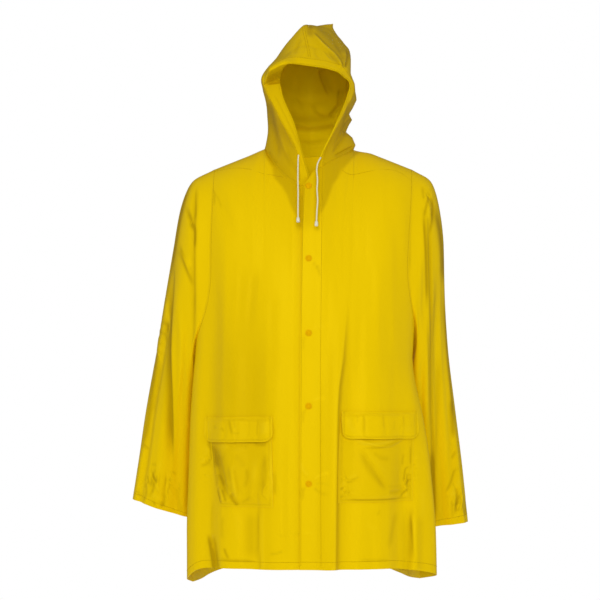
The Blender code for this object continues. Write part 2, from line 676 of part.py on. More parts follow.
class Cloth:
    """A sheet gathered face by face, then closed with a wall and rims."""

    def __init__(self):
        self.outer = {}
        self.inner = {}
        self.faces = []

    def point(self, key, outer, inner):
        self.outer[key] = tuple(outer)
        self.inner[key] = tuple(inner)

    def grid(self, outer, inner, key):
        rows, columns = outer.shape[:2]
        for i in range(rows):
            for j in range(columns):
                self.point(key(i, j), outer[i, j], inner[i, j])
        for i in range(rows - 1):
            for j in range(columns - 1):
                self.faces.append((key(i, j), key(i, j + 1), key(i + 1, j + 1), key(i + 1, j)))

    def solid(self, name, look=FILM):
        keys = list(self.outer)
        place = {key: n for n, key in enumerate(keys)}
        vertices = [self.outer[k] for k in keys] + [self.inner[k] for k in keys]
        count = len(keys)
        faces = []
        edges = {}
        for face in self.faces:
            ring = [place[k] for k in face]
            faces.append(tuple(ring))
            faces.append(tuple(count + n for n in reversed(ring)))
            for a, b in zip(ring, ring[1:] + ring[:1]):
                edge = (min(a, b), max(a, b))
                edges[edge] = edges.get(edge, 0) + 1
        for (a, b), uses in edges.items():
            if uses == 1:
                faces.append((b, a, count + a, count + b))
        mesh = bpy.data.meshes.new(name)
        mesh.from_pydata(vertices, [], faces)
        shape = bmesh.new()
        shape.from_mesh(mesh)
        bmesh.ops.recalc_face_normals(shape, faces=shape.faces)
        if shape.calc_volume(signed=True) < 0:
            bmesh.ops.reverse_faces(shape, faces=shape.faces)
        bmesh.ops.triangulate(shape, faces=shape.faces)
        shape.to_mesh(mesh)
        shape.free()
        return finish_object(name, mesh, look)


def pull_in(outer, inner, distance, rows=(True, True), columns=(True, True)):
    """Draws a grid's free edges in by a distance, so that seams keep their gap."""
    def shift(edge, next_to):
        step = outer[next_to] - outer[edge]
        size = np.linalg.norm(step, axis=-1, keepdims=True)
        move = step / np.maximum(size, 1e-9) * distance
        outer[edge] += move
        inner[edge] += move
    if rows[0]:
        shift(np.s_[0], np.s_[1])
    if rows[1]:
        shift(np.s_[-1], np.s_[-2])
    if columns[0]:
        shift(np.s_[:, 0], np.s_[:, 1])
    if columns[1]:
        shift(np.s_[:, -1], np.s_[:, -2])


def low_shares():
    """Shares of the side seam's length: hem rows first, then even rows."""
    hem = HEM_DEPTH / SIDE_SEAM_LENGTH
    step = HEM_STEP / SIDE_SEAM_LENGTH
    rest = np.linspace(hem + step, 1.0, LOW_ROWS - 1)
    return np.concatenate(([0.0, hem], rest))


def wall_by_row(rows, hem_rows=2):
    """Wall of each row: thicker where the hem is turned up."""
    wall = np.full(rows, WALL)
    wall[:hem_rows] = HEM_WALL
    return wall


def front_free_across(side, level):
    """`across` of the front's free edge past the centre."""
    reach = from_table(((0.0, OVERLAP_HALF), (1.0, OVERLAP_HALF), (1.5, OVERLAP_HALF * 0.85),
                        (2.0, abs(OVERLAP_TOP_X))), ("level", "x"), "x", "level", level)
    base = torso_value("half_right" if side > 0 else "half_left", CHEST_LINE_Z)
    return -side * across_of(reach / base)


def front_panel(side):
    """One front, from its free edge to side seam and armhole."""
    name = "front_panel_" + ("left" if side > 0 else "right")
    underarm = UNDERARM_LEVEL[side]
    top_across = np.concatenate((throat_columns(side), collar_columns(side),
                                 shoulder_columns(side)[1:]))
    shares = (top_across - top_across[0]) / (top_across[-1] - top_across[0])
    top_across = top_across * side
    top_level = seam_level(side, np.where(top_across * side > 0, top_across, side * 0.001))
    seam_at_tip = top_level[-1]
    rows = []
    for share in low_shares():
        level = np.full(shares.shape, share * underarm)
        free = front_free_across(side, level)
        rows.append((free + (side - free) * shares, level))
    lowest = rows[-1][0]
    for f in np.linspace(0, 1, FRONT_ARM_ROWS + 1)[1:] ** ARM_ROW_POWER:
        edge = side * float(armhole_across(side, underarm + (seam_at_tip - underarm) * f))
        across = lowest + (top_across - lowest) * f
        across = across + (edge - across[-1]) * shares ** EDGE_PULL
        rows.append((across, underarm + (top_level - underarm) * f))
    across = np.array([row[0] for row in rows])
    level = np.array([row[1] for row in rows])
    outer, normal = torso_surface(side, "front", across, level)
    inner = outer - normal * wall_by_row(len(rows))[:, None, None]
    pull_in(outer, inner, SEAM_GAP / 2, rows=(False, True), columns=(False, True))
    cloth = Cloth()
    cloth.grid(outer, inner, lambda i, j: (i, j))
    return cloth.solid(name)


def back_columns():
    """`across` of the back's columns at the ridge, with both neck points."""
    values = []
    for side in (-1, 1):
        half = np.concatenate((nape_columns(side)[:-1], shoulder_columns(side))) * side
        values.append(half[::-1] if side < 0 else half[1:])
    return np.concatenate(values)


def widened(side, size, edge):
    """Spreads the columns outside the neck point so that the last one is at edge."""
    neck = NECK_AT[side]
    share = np.clip((size - neck) / (TIP_AT[side] - neck), 0, None)
    return np.where(size > neck, neck + (edge - neck) * share, size)


def back_panel():
    """The back, with the strips that go over the shoulders to the front."""
    columns = back_columns()
    sides = np.where(columns < 0, -1, 1)
    rows = []
    for share in low_shares():
        level = share * np.array([UNDERARM_LEVEL[s] for s in sides])
        across = [s * float(widened(s, abs(c), 1.0)) for s, c in zip(sides, columns)]
        rows.append((np.array(across), level))
    lowest = rows[-1][0]
    tips = np.array([TIP_AT[s] for s in sides])
    necks = np.array([NECK_AT[s] for s in sides])
    pull = np.clip((np.abs(columns) - necks) / (tips - necks), 0, 1) ** EDGE_PULL
    for f in np.linspace(0, 1, BACK_ARM_ROWS + 1)[1:] ** ARM_ROW_POWER:
        level = np.array([UNDERARM_LEVEL[s] + (2 - UNDERARM_LEVEL[s]) * f for s in sides])
        edge = np.array([float(armhole_across(s, lev)) for s, lev in zip(sides, level)])
        across = lowest + (columns - lowest) * f
        rows.append((across + sides * (edge - (1 + (tips - 1) * f)) * pull, level))
    across = np.array([row[0] for row in rows])
    level = np.array([row[1] for row in rows])
    outer, normal = torso_surface(1, "back", across, level)
    inner = outer - normal * wall_by_row(len(rows))[:, None, None]
    pull_in(outer, inner, SEAM_GAP / 2, rows=(False, False), columns=(True, True))
    neck_columns = np.nonzero(np.abs(columns) < [NECK_AT[s] - 1e-6 for s in sides])[0]
    lower_edge(outer, inner, -1, -2, neck_columns)
    cloth = Cloth()
    cloth.grid(outer, inner, lambda i, j: ("back", i, j))
    for side in (-1, 1):
        shoulder_strip(cloth, side, columns * side, len(rows) - 1, outer[-1], inner[-1])
    return cloth.solid("back_panel")


def lower_edge(outer, inner, edge, next_row, columns):
    """Draws the neckline's points down by the neck's gap."""
    for n in columns:
        step = outer[next_row, n] - outer[edge, n]
        move = step / np.linalg.norm(step) * NECK_GAP
        outer[edge, n] += move
        inner[edge, n] += move


def shoulder_strip(cloth, side, back_sizes, top_row, ridge_outer, ridge_inner):
    """The part of the back panel in front of the shoulder ridge."""
    picks = [j for j in range(len(back_sizes)) if back_sizes[j] >= NECK_AT[side] - 1e-6]
    picks.sort(key=lambda j: back_sizes[j])
    collar = collar_columns(side)[1:-1]
    size = np.concatenate((collar, shoulder_columns(side)))
    seam = seam_level(side, side * size)
    across_rows = []
    level_rows = []
    for f in np.linspace(0, 1, YOKE_ROWS + 1):
        level = 2 + (seam - 2) * f
        edge = float(armhole_across(side, level[-1]))
        across_rows.append(side * widened(side, size, edge))
        level_rows.append(level)
    outer, normal = torso_surface(side, "front", np.array(across_rows), np.array(level_rows))
    inner = outer - normal * WALL
    pull_in(outer, inner, SEAM_GAP / 2, rows=(False, True), columns=(True, True))
    free = len(collar)
    lower_edge(outer, inner, 0, 1, range(free))
    outer[0, free:] = ridge_outer[picks]
    inner[0, free:] = ridge_inner[picks]

    def key(i, j):
        if i == 0 and j >= free:
            return ("back", top_row, picks[j - free])
        return ("strip", side, i, j)
    cloth.grid(outer, inner, key)
    start = (side * collar_columns(side)[:1], np.array([2.0]))
    corner, facing = torso_surface(side, "front", *start)
    towards = outer[1, 0] - corner[0]
    corner = corner[0] + towards / np.linalg.norm(towards) * START_GAP
    cloth.point(("start", side), corner, corner - facing[0] * WALL)
    for i in range(YOKE_ROWS):
        cloth.faces.append((("start", side), key(i, 0), key(i + 1, 0)))


# ---------------------------------------------------------------- sleeves

def armhole_loop(side):
    """Points round the armhole from the shoulder tip by the front, and their share."""
    underarm = UNDERARM_LEVEL[side]
    seam_tip = float(seam_level(side, np.array([side * TIP_AT[side]]))[0])
    front_arm = underarm + (seam_tip - underarm) * np.linspace(0, 1, FRONT_ARM_ROWS + 1) ** ARM_ROW_POWER
    yoke = 2 + (seam_tip - 2) * np.linspace(0, 1, YOKE_ROWS + 1)
    front_levels = np.concatenate((yoke, front_arm[::-1][1:]))
    back_levels = underarm + (2 - underarm) * np.linspace(0, 1, BACK_ARM_ROWS + 1) ** ARM_ROW_POWER
    front_across = side * armhole_across(side, front_levels)
    back_across = side * armhole_across(side, back_levels)
    front, _ = torso_surface(side, "front", front_across, front_levels)
    back, _ = torso_surface(side, "back", back_across, back_levels)
    return np.concatenate((front, back[1:-1]))


def sleeve_tube(side, turn, t):
    """Sleeve point away from the armhole, before folds."""
    table = SLEEVE_LEFT if side > 0 else SLEEVE_RIGHT

    def value(name):
        return from_table(table, SLEEVE_COLUMNS, name, "t", t)

    outer_x, outer_z = value("outer_x"), value("outer_z")
    inner_x, inner_z = value("inner_x"), value("inner_z")
    angle = 2 * math.pi * turn
    swing = np.sign(np.cos(angle)) * np.abs(np.cos(angle)) ** (2 / SLEEVE_POWER)
    fore = np.sign(np.sin(angle)) * np.abs(np.sin(angle)) ** (2 / SLEEVE_POWER)
    x = (outer_x + inner_x) / 2 + (outer_x - inner_x) / 2 * swing
    z = (outer_z + inner_z) / 2 + (outer_z - inner_z) / 2 * swing
    y = value("mid_y") - value("half_depth") * fore
    return np.stack([x, y, z], -1)


def loop_turns(loop):
    """Share of a turn of each armhole point: 0 at the tip, one half at the underarm."""
    half = YOKE_ROWS + FRONT_ARM_ROWS
    steps = np.linalg.norm(np.diff(np.vstack((loop, loop[:1])), axis=0), axis=1)
    run = np.concatenate(([0.0], np.cumsum(steps)))
    front = run[:half + 1] / run[half] * 0.5
    back = 0.5 + (run[half:-1] - run[half]) / (run[-1] - run[half]) * 0.5
    return np.concatenate((front, back[1:]))


def sleeve(side):
    """A one-piece sleeve from the armhole to its cuff."""
    name = "sleeve_" + ("left" if side > 0 else "right")
    loop = armhole_loop(side)
    turns = loop_turns(loop)
    hem = HEM_DEPTH / SLEEVE_LENGTH
    shares = np.linspace(0, 1 - hem - HEM_STEP / SLEEVE_LENGTH, SLEEVE_ROWS - 1)
    shares = np.concatenate((shares, [1 - hem, 1.0]))
    folds = SLEEVE_FOLDS_LEFT if side > 0 else SLEEVE_FOLDS_RIGHT

    def loop_at(turn):
        closed_turns = np.concatenate((turns, [1.0]))
        closed = np.vstack((loop, loop[:1]))
        wrapped = np.mod(turn, 1.0)
        return np.stack([np.interp(wrapped, closed_turns, closed[:, k]) for k in range(3)], -1)

    def base(turn, t):
        settled = ease(0.0, SLEEVE_SETTLES_AT, t)[..., None]
        tube = sleeve_tube(side, turn, t)
        drift = sleeve_tube(side, turn, t) - sleeve_tube(side, turn, np.zeros_like(t))
        start = loop_at(turn) + drift
        return start * (1 - settled) + tube * settled
    turn_grid, t_grid = np.meshgrid(turns, shares)
    point = base(turn_grid, t_grid)
    around = np.roll(point, -1, axis=1) - np.roll(point, 1, axis=1)
    along = np.gradient(point, axis=0)
    normal = np.cross(around, along)
    normal /= np.linalg.norm(normal, axis=-1, keepdims=True)
    centre = point.mean(axis=1, keepdims=True)
    outwards = np.sign(np.sum(normal * (point - centre), axis=-1).mean())
    normal = normal * outwards
    outer = point + normal * fold_height(folds, turn_grid, t_grid)[..., None]
    wall = np.full(len(shares), WALL)
    wall[-2:] = HEM_WALL
    inner = outer - normal * wall[:, None, None]
    pull_in(outer, inner, SEAM_GAP, rows=(True, False), columns=(False, False))
    cloth = Cloth()
    count = len(turns)
    closed_outer = np.concatenate((outer, outer[:, :1]), axis=1)
    closed_inner = np.concatenate((inner, inner[:, :1]), axis=1)
    cloth.grid(closed_outer, closed_inner, lambda i, j: (i, j % count))
    return cloth.solid(name)


# ---------------------------------------------------------------- hood

def hood_shell(line_grid, row_grid, wall=WALL):
    """Outer and inner points of a stretch of the hood."""
    outer = hood_surface(line_grid, row_grid)
    inside_line = np.clip(line_grid, 0.01, CENTRE_BACK)
    inside_row = np.clip(row_grid, 0.01, LAST_ROW - 0.01)
    normal = surface_normal(hood_surface, inside_line, inside_row, 5e-3, 5e-3)
    return outer, outer + normal * wall


def hood_rows(start, end):
    steps = int(round(abs(end - start) * HOOD_ROWS_PER_STEP))
    return np.linspace(start, end, steps + 1)


def hood_panel(side):
    """One side of the hood, from the channel's seam to the centre seam."""
    name = "hood_panel_" + ("left" if side > 0 else "right")
    rows = hood_rows(0 if side < 0 else LAST_ROW, TOP_ROW)
    low = np.concatenate(([1.0], collar_lines(side)))
    high = np.linspace(1.0, CENTRE_BACK, len(low))
    share = ease(0, HOOD_EVEN_AT, np.abs(rows - rows[0]))[:, None]
    line_grid = low + (high - low) * share
    outer, inner = hood_shell(line_grid, np.broadcast_to(rows[:, None], line_grid.shape))
    peak = np.array(PEAK_INWARDS) * WALL
    inner[-1, -1] = outer[-1, -1] + peak
    inner[-1, -2] = outer[-1, -2] + (inner[-1, -2] - outer[-1, -2] + peak) / 2
    pull_in(outer, inner, HOOD_PULL)
    cloth = Cloth()
    cloth.grid(outer, inner, lambda i, j: (i, j))
    return cloth.solid(name)


def hood_channel():
    """The drawstring channel round the face opening, two layers thick."""
    lines = np.linspace(0, 1, CHANNEL_STEPS + 1)
    rows = hood_rows(0, LAST_ROW)
    outer, inner = hood_shell(*np.meshgrid(lines, rows), wall=CHANNEL_WALL)
    pull_in(outer, inner, HOOD_PULL, rows=(True, True), columns=(False, True))
    cloth = Cloth()
    cloth.grid(outer, inner, lambda i, j: (i, j))
    return cloth.solid("hood_channel")


# ---------------------------------------------------------------- pockets

def panel_tree(panel):
    """The panel's solid as a tree that answers where a line meets it."""
    shape = bmesh.new()
    shape.from_mesh(panel.data)
    tree = BVHTree.FromBMesh(shape)
    shape.free()
    return tree


def on_panel(tree, x, z, out, from_inside=False):
    """Points over the panel at x and z, moved off it by `out`, and the directions."""
    points = np.zeros(x.shape + (3,))
    normals = np.zeros(x.shape + (3,))
    start_y, way = (0.0, -1) if from_inside else (-1.0, 1)
    for place in np.ndindex(x.shape):
        hits = []
        for dx, dz in ((0, 0), (PROBE, 0), (-PROBE, 0), (0, PROBE), (0, -PROBE)):
            start = Vector((x[place] + dx, start_y, z[place] + dz))
            hits.append(tree.ray_cast(start, Vector((0, way, 0)))[0])
        facing = (hits[1] - hits[2]).cross(hits[3] - hits[4]).normalized()
        points[place] = hits[0] + facing * float(out[place])
        normals[place] = facing
    return points, normals


def lay_over(trees, points, normals, room):
    """Raises a grid of points until the sheet between them clears what it lies on."""
    rows, columns = points.shape[:2]
    forth = Vector((0, 1, 0))
    for _ in range(LAY_ROUNDS):
        lift = np.zeros((rows, columns))
        for i, j in np.ndindex(rows - 1, columns - 1):
            cell = points[i:i + 2, j:j + 2]
            for u, v in LAY_SAMPLES:
                place = ((cell[0, 0] * (1 - v) + cell[0, 1] * v) * (1 - u)
                         + (cell[1, 0] * (1 - v) + cell[1, 1] * v) * u)
                start = Vector((place[0], -1.0, place[2]))
                for tree in trees:
                    hit = tree.ray_cast(start, forth)[0]
                    if hit is not None:
                        short = room - (hit.y - place[1]) * abs(normals[i, j, 1])
                        lift[i:i + 2, j:j + 2] = np.maximum(lift[i:i + 2, j:j + 2], short)
        points = points + normals * lift[..., None]
    return points


def bag_stand(side, x, z):
    """How far the bag's inner face stands off the panel at x and z."""
    table = POCKET_BAG_LEFT if side > 0 else POCKET_BAG_RIGHT
    sags = POCKET_SAG_LEFT if side > 0 else POCKET_SAG_RIGHT
    z_all = column(table, POCKET_COLUMNS, "z")
    down = (z_all[0] - z) / (z_all[0] - z_all[-1])
    x_inner = from_table(table, POCKET_COLUMNS, "x_inner", "z", z)
    x_outer = from_table(table, POCKET_COLUMNS, "x_outer", "z", z)
    across = (x - x_inner) / (x_outer - x_inner)
    rim = (np.minimum(np.minimum(across, 1 - across), 1 - down) / POCKET_RIM).clip(0, 1)
    stand = POCKET_STAND * np.ones_like(x)
    for row in sags:
        sag = dict(zip(POCKET_SAG_COLUMNS, row))
        off = np.hypot(across - sag["across"], down - sag["down"]) / sag["half_width"]
        stand = stand + sag["raise"] * np.exp(-off ** 2)
    return LAYER_GAP + stand * ease(0, 1, rim)


def pocket_bag(side, tree):
    """Patch pocket whose wall stands off the front panel."""
    name = "pocket_bag_" + ("left" if side > 0 else "right")
    table = POCKET_BAG_LEFT if side > 0 else POCKET_BAG_RIGHT
    z_all = column(table, POCKET_COLUMNS, "z")
    across, down = np.meshgrid(np.linspace(0, 1, POCKET_ACROSS + 1),
                               np.linspace(0, 1, POCKET_DOWN + 1))
    z = z_all[0] + (z_all[-1] - z_all[0]) * down
    x_inner = from_table(table, POCKET_COLUMNS, "x_inner", "z", z)
    x_outer = from_table(table, POCKET_COLUMNS, "x_outer", "z", z)
    x = x_inner + (x_outer - x_inner) * across
    inner, normal = on_panel(tree, x, z, bag_stand(side, x, z))
    inner = lay_over([tree], inner, normal, LAYER_GAP)
    cloth = Cloth()
    cloth.grid(inner + normal * WALL, inner, lambda i, j: (i, j))
    return cloth.solid(name)


def pocket_flap(side, tree, bag_tree):
    """Flap with rounded lower corners, over the pocket's mouth."""
    name = "pocket_flap_" + ("left" if side > 0 else "right")
    flap = FLAP_LEFT if side > 0 else FLAP_RIGHT
    across, down = np.meshgrid(np.linspace(0, 1, POCKET_ACROSS + 3),
                               np.linspace(0, 1, FLAP_DOWN + 1))
    width = abs(flap["top_outer"][0] - flap["top_inner"][0])
    from_side = np.minimum(across, 1 - across) * width
    corner = flap["corner"]
    near = np.clip(1 - from_side / corner, 0, 1)
    height = flap["height"] - corner * 0.8 * (1 - np.sqrt(1 - near ** 2 * 0.96))
    x = flap["top_inner"][0] + (flap["top_outer"][0] - flap["top_inner"][0]) * across
    z = flap["top_inner"][1] + (flap["top_outer"][1] - flap["top_inner"][1]) * across
    z = z - height * down
    inner, normal = on_panel(tree, x, z, np.full(x.shape, LAYER_GAP))
    inner = lay_over([tree, bag_tree], inner, normal, LAYER_GAP)
    cloth = Cloth()
    cloth.grid(inner + normal * WALL, inner, lambda i, j: (i, j))
    return cloth.solid(name)


# ---------------------------------------------------------------- hard pieces

def seat(tree, x, z, out, from_inside=False):
    """Where a small hard piece sits on a panel: point and outward direction."""
    spot = np.array([x]), np.array([z]), np.array([out])
    point, normal = on_panel(tree, *spot, from_inside=from_inside)
    return Vector(point[0]), Vector(normal[0])


def disc(name, profile, place, facing, look):
    """A turned piece whose profile is radius and height along `facing`."""
    mesh = bpy.data.meshes.new(name)
    shape = bmesh.new()
    rings = []
    for radius, height in profile:
        if radius == 0.0:
            rings.append([shape.verts.new((0, 0, height))])
            continue
        rings.append([shape.verts.new((radius * math.cos(2 * math.pi * n / SNAP_SEGMENTS),
                                       radius * math.sin(2 * math.pi * n / SNAP_SEGMENTS),
                                       height)) for n in range(SNAP_SEGMENTS)])
    for low, high in zip(rings, rings[1:]):
        for n in range(SNAP_SEGMENTS):
            after = (n + 1) % SNAP_SEGMENTS
            if len(low) == 1:
                shape.faces.new((low[0], high[after], high[n]))
            elif len(high) == 1:
                shape.faces.new((low[n], low[after], high[0]))
            else:
                shape.faces.new((low[n], low[after], high[after], high[n]))
    bmesh.ops.recalc_face_normals(shape, faces=shape.faces)
    bmesh.ops.triangulate(shape, faces=shape.faces)
    turn = Vector((0, 0, 1)).rotation_difference(facing).to_matrix().to_4x4()
    bmesh.ops.transform(shape, matrix=Matrix.Translation(place) @ turn, verts=shape.verts)
    shape.to_mesh(mesh)
    shape.free()
    return finish_object(name, mesh, look)


def snaps(over, under):
    """Caps on the left front and stud backs inside the right front."""
    cap = ((0.0, 0.0), (SNAP_RADIUS, 0.0), (SNAP_RADIUS, SNAP_THICK * 0.45),
           (SNAP_RADIUS * 0.86, SNAP_THICK * 0.85), (SNAP_RADIUS * 0.5, SNAP_THICK),
           (0.0, SNAP_THICK))
    back = ((0.0, 0.0), (SNAP_BACK_RADIUS, 0.0), (SNAP_BACK_RADIUS, SNAP_THICK * 0.6),
            (0.0, SNAP_THICK * 0.6))
    for number, z in enumerate(SNAP_HEIGHTS, 1):
        place, facing = seat(over, SNAP_X, z, SNAP_GAP)
        disc(f"snap_cap_{number}", cap, place, facing, SNAP_PLASTIC)
        place, facing = seat(under, SNAP_X, min(z, SNAP_BACK_TOP), -SNAP_GAP, from_inside=True)
        disc(f"snap_back_{number}", back, place, -facing, SNAP_PLASTIC)


def cord_curve(name, points):
    """A round cord through its points, smoothed and evenly divided."""
    stops = np.array(points)
    run = np.concatenate(([0.0], np.cumsum(np.linalg.norm(np.diff(stops, axis=0), axis=1))))
    count = int(run[-1] / (2.6 * CORD_DIAMETER))
    at = np.linspace(0, run[-1], count + 1)
    smooth_points = np.stack([smooth(run, stops[:, k], at) for k in range(3)], -1)
    curve = bpy.data.curves.new(name, "CURVE")
    curve.dimensions = "3D"
    curve.bevel_depth = CORD_DIAMETER / 2
    curve.bevel_resolution = 2
    curve.use_fill_caps = True
    curve.resolution_u = 1
    spline = curve.splines.new("POLY")
    spline.points.add(len(smooth_points) - 1)
    for target, point in zip(spline.points, smooth_points):
        target.co = (*point, 1.0)
    finish_object(name, curve, CORD_BRAID)
    return smooth_points[-1], smooth_points[-1] - smooth_points[-2]


def drawstrings():
    """The two free ends of the drawstring, each with its moulded end."""
    profile = ((0.0, 0.0), (CORD_END_RADIUS * 0.62, 0.0), (CORD_END_RADIUS * 0.8, 0.0015),
               (CORD_END_RADIUS, CORD_END_LENGTH * 0.75),
               (CORD_END_RADIUS * 0.9, CORD_END_LENGTH), (0.0, CORD_END_LENGTH))
    for side, points in CORD_ROUTES.items():
        end, direction = cord_curve("drawstring_" + side, points)
        facing = Vector(direction).normalized()
        place = Vector(end) + facing * SEAM_GAP
        disc("cord_end_" + side, profile, place, facing, END_PLASTIC)


# ---------------------------------------------------------------- the coat

clear_scene()
COLLECTION = bpy.data.collections.new("hooded_raincoat")
bpy.context.scene.collection.children.link(COLLECTION)

back_panel()
FRONT_TREES = {}
for SIDE in (-1, 1):
    FRONT_TREES[SIDE] = panel_tree(front_panel(SIDE))
    sleeve(SIDE)
    hood_panel(SIDE)
    BAG_TREE = panel_tree(pocket_bag(SIDE, FRONT_TREES[SIDE]))
    pocket_flap(SIDE, FRONT_TREES[SIDE], BAG_TREE)
hood_channel()
snaps(FRONT_TREES[1], FRONT_TREES[-1])
drawstrings()
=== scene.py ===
"""Looks of the hooded raincoat: thin film pieces on the frame's solids.

Metres, +Z up, the front faces -Y, the wearer's left is +X. A torso place is
`across` (-1 right side seam, 0 centre, +1 left side seam) and `level` (0 hem,
1 chest line, 2 shoulder or neck), as in the frame, and every film piece is a fine
sample of the same surface with its creases laid in.
"""

import math

import bmesh
import bpy
import numpy as np
from mathutils import Matrix, Vector
from mathutils.bvhtree import BVHTree


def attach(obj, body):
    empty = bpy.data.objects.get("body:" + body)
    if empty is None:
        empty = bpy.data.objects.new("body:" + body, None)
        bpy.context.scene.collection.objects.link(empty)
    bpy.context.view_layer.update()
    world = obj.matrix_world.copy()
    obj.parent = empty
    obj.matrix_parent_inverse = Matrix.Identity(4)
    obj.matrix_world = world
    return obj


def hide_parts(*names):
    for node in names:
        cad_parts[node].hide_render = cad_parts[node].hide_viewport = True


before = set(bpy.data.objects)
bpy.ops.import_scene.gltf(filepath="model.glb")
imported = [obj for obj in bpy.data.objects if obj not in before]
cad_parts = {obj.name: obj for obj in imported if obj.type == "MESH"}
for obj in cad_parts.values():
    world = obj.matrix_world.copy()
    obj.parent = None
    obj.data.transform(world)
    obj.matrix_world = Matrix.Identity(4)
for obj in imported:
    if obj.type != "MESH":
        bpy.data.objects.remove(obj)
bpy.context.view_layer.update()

# ---------------------------------------------------------------- camera

CAMERA_PLACE = (-0.021, -4.5, -0.311)
VIEW_WIDTH = 1.26          # width of the view at the coat
SENSOR = 36.0


def camera():
    """Eye-level camera square to the coat's front."""
    data = bpy.data.cameras.new("camera")
    data.sensor_width = SENSOR
    data.lens = SENSOR * -CAMERA_PLACE[1] / VIEW_WIDTH
    data.clip_end = 100.0
    item = bpy.data.objects.new("camera", data)
    item.location = CAMERA_PLACE
    item.rotation_euler = (math.pi / 2, 0.0, 0.0)
    bpy.context.scene.collection.objects.link(item)
    bpy.context.scene.camera = item


camera()

# ---------------------------------------------------------------- the coat's sizes

FILM_THICK = 0.0005        # film as shown
FOLDED_THICK = 0.0011      # where it is turned up or lies double
HEM_DEPTH = 0.018          # turned-up hem and cuff
HEM_WALL = 0.0026          # wall where the hem is turned up
SIDE_SEAM_LENGTH = 0.47
SLEEVE_LENGTH = 0.70
CHANNEL_WALL = 0.0020      # the drawstring channel, pressed flat
CHEST_LINE_Z = -0.43       # rings below, shoulder dome above
RING_POWER = 2.4           # squareness of a torso ring
DOME_POWER = 2.5           # squareness of chest and upper back seen from the side
NECK_DOME_POWER = 1.8      # the same beside the neck, where the shoulder falls forward
NECK_DOME_SPREAD = 0.22    # in `across`
TURN_POWER = 1.2           # rows of the dome lie closer at the chest line
NECK_BLEND = (0.60, 1.20)  # share of the neck point's `across` where the dome takes over
NECK_RISE_POWER = 2.2      # how late the cloth leans in towards the neck
SHOULDER_REACH = {-1: 0.224, 1: 0.238}     # ring half width at the shoulder line
SHOULDER_TIP_X = {-1: 0.2026, 1: 0.2159}   # where ridge and armhole meet
SHOULDER_SLOPE = 0.40
SHOULDER_LIFT = {-1: 0.003, 1: 0.008}
UNDERARM_LEVEL = {-1: 1.012, 1: 1.075}
ARMHOLE_TURN = 0.30        # part of the armhole's height in which it leaves the side seam
RIDGE_Y = 0.004            # the shoulder ridge lies just behind the neck points

OVERLAP_HALF = 0.0205      # half width of the front overlap
OVERLAP_TOP_X = -0.0113    # free edge at its top corner
CORNER_SLOPE = 1.37        # fall of the overlap's cut-off corner
CORNER_FORWARD = 0.50      # it also comes forward, clear of the hood's other end
OVERLAP_ROOM = 0.0007      # between the two fronts at the hem
SNAP_X = -0.0035
SNAP_HEIGHTS = (-0.0765, -0.226, -0.3777, -0.5260, -0.6830)
SNAP_RADIUS = 0.0063
SNAP_THICK = 0.0022
SNAP_BACK_RADIUS = 0.0052
SNAP_GAP = 0.0005          # under the cap's flat face, on the curved film
SNAP_BACK_TOP = -0.0860    # the top stud back stays below the under front's edge
CORD_DIAMETER = 0.003
CORD_END_RADIUS = 0.0036
CORD_END_LENGTH = 0.0105

# Torso rings. half_*: half width of the ring behind the arms; front_*: how far
# the front corner of the coat reaches out on that side.
TORSO_COLUMNS = ("z", "half_right", "half_left", "front_right", "front_left",
                 "front_y", "back_y", "side_y")
TORSO_LEVELS = (
    (-0.910, 0.238, 0.212, 0.2530, 0.2620, -0.170, 0.150, -0.040),
    (-0.790, 0.237, 0.206, 0.2535, 0.2590, -0.167, 0.148, -0.040),
    (-0.680, 0.236, 0.201, 0.2505, 0.2500, -0.163, 0.143, -0.038),
    (-0.560, 0.233, 0.200, 0.2465, 0.2350, -0.158, 0.134, -0.032),
    (-0.450, 0.227, 0.199, 0.2385, 0.2130, -0.152, 0.122, -0.022),
    (-0.360, 0.224, 0.200, 0.2290, 0.2050, -0.149, 0.112, -0.012),
)
FRONT_CORNER_AT = 0.80     # `across` of the front corner
FRONT_CORNER_SPREAD = 0.19

# Height of the hem round the coat, by `across` on each half.
HEM_COLUMNS = ("across", "front_right", "front_left", "back_right", "back_left")
HEM_LINE = (
    (0.00, -0.857, -0.857, -0.884, -0.884),
    (0.50, -0.857, -0.858, -0.886, -0.886),
    (0.64, -0.860, -0.864, -0.892, -0.890),
    (0.80, -0.883, -0.877, -0.899, -0.893),
    (1.00, -0.897, -0.890, -0.897, -0.890),
)

# Forward shoulder seam: height by distance from the centre.
SEAM_COLUMNS = ("x", "right", "left")
SHOULDER_SEAM = (
    (0.041, -0.0690, -0.0420),
    (0.0625, -0.0610, -0.0563),
    (0.090, -0.0520, -0.0540),
    (0.118, -0.0450, -0.0492),
    (0.152, -0.0400, -0.0430),
    (0.181, -0.0430, -0.0460),
    (0.216, -0.0520, -0.0700),
)
SEAM_STARTS_AT = {-1: 0.041, 1: 0.052}     # x where it meets the neckline

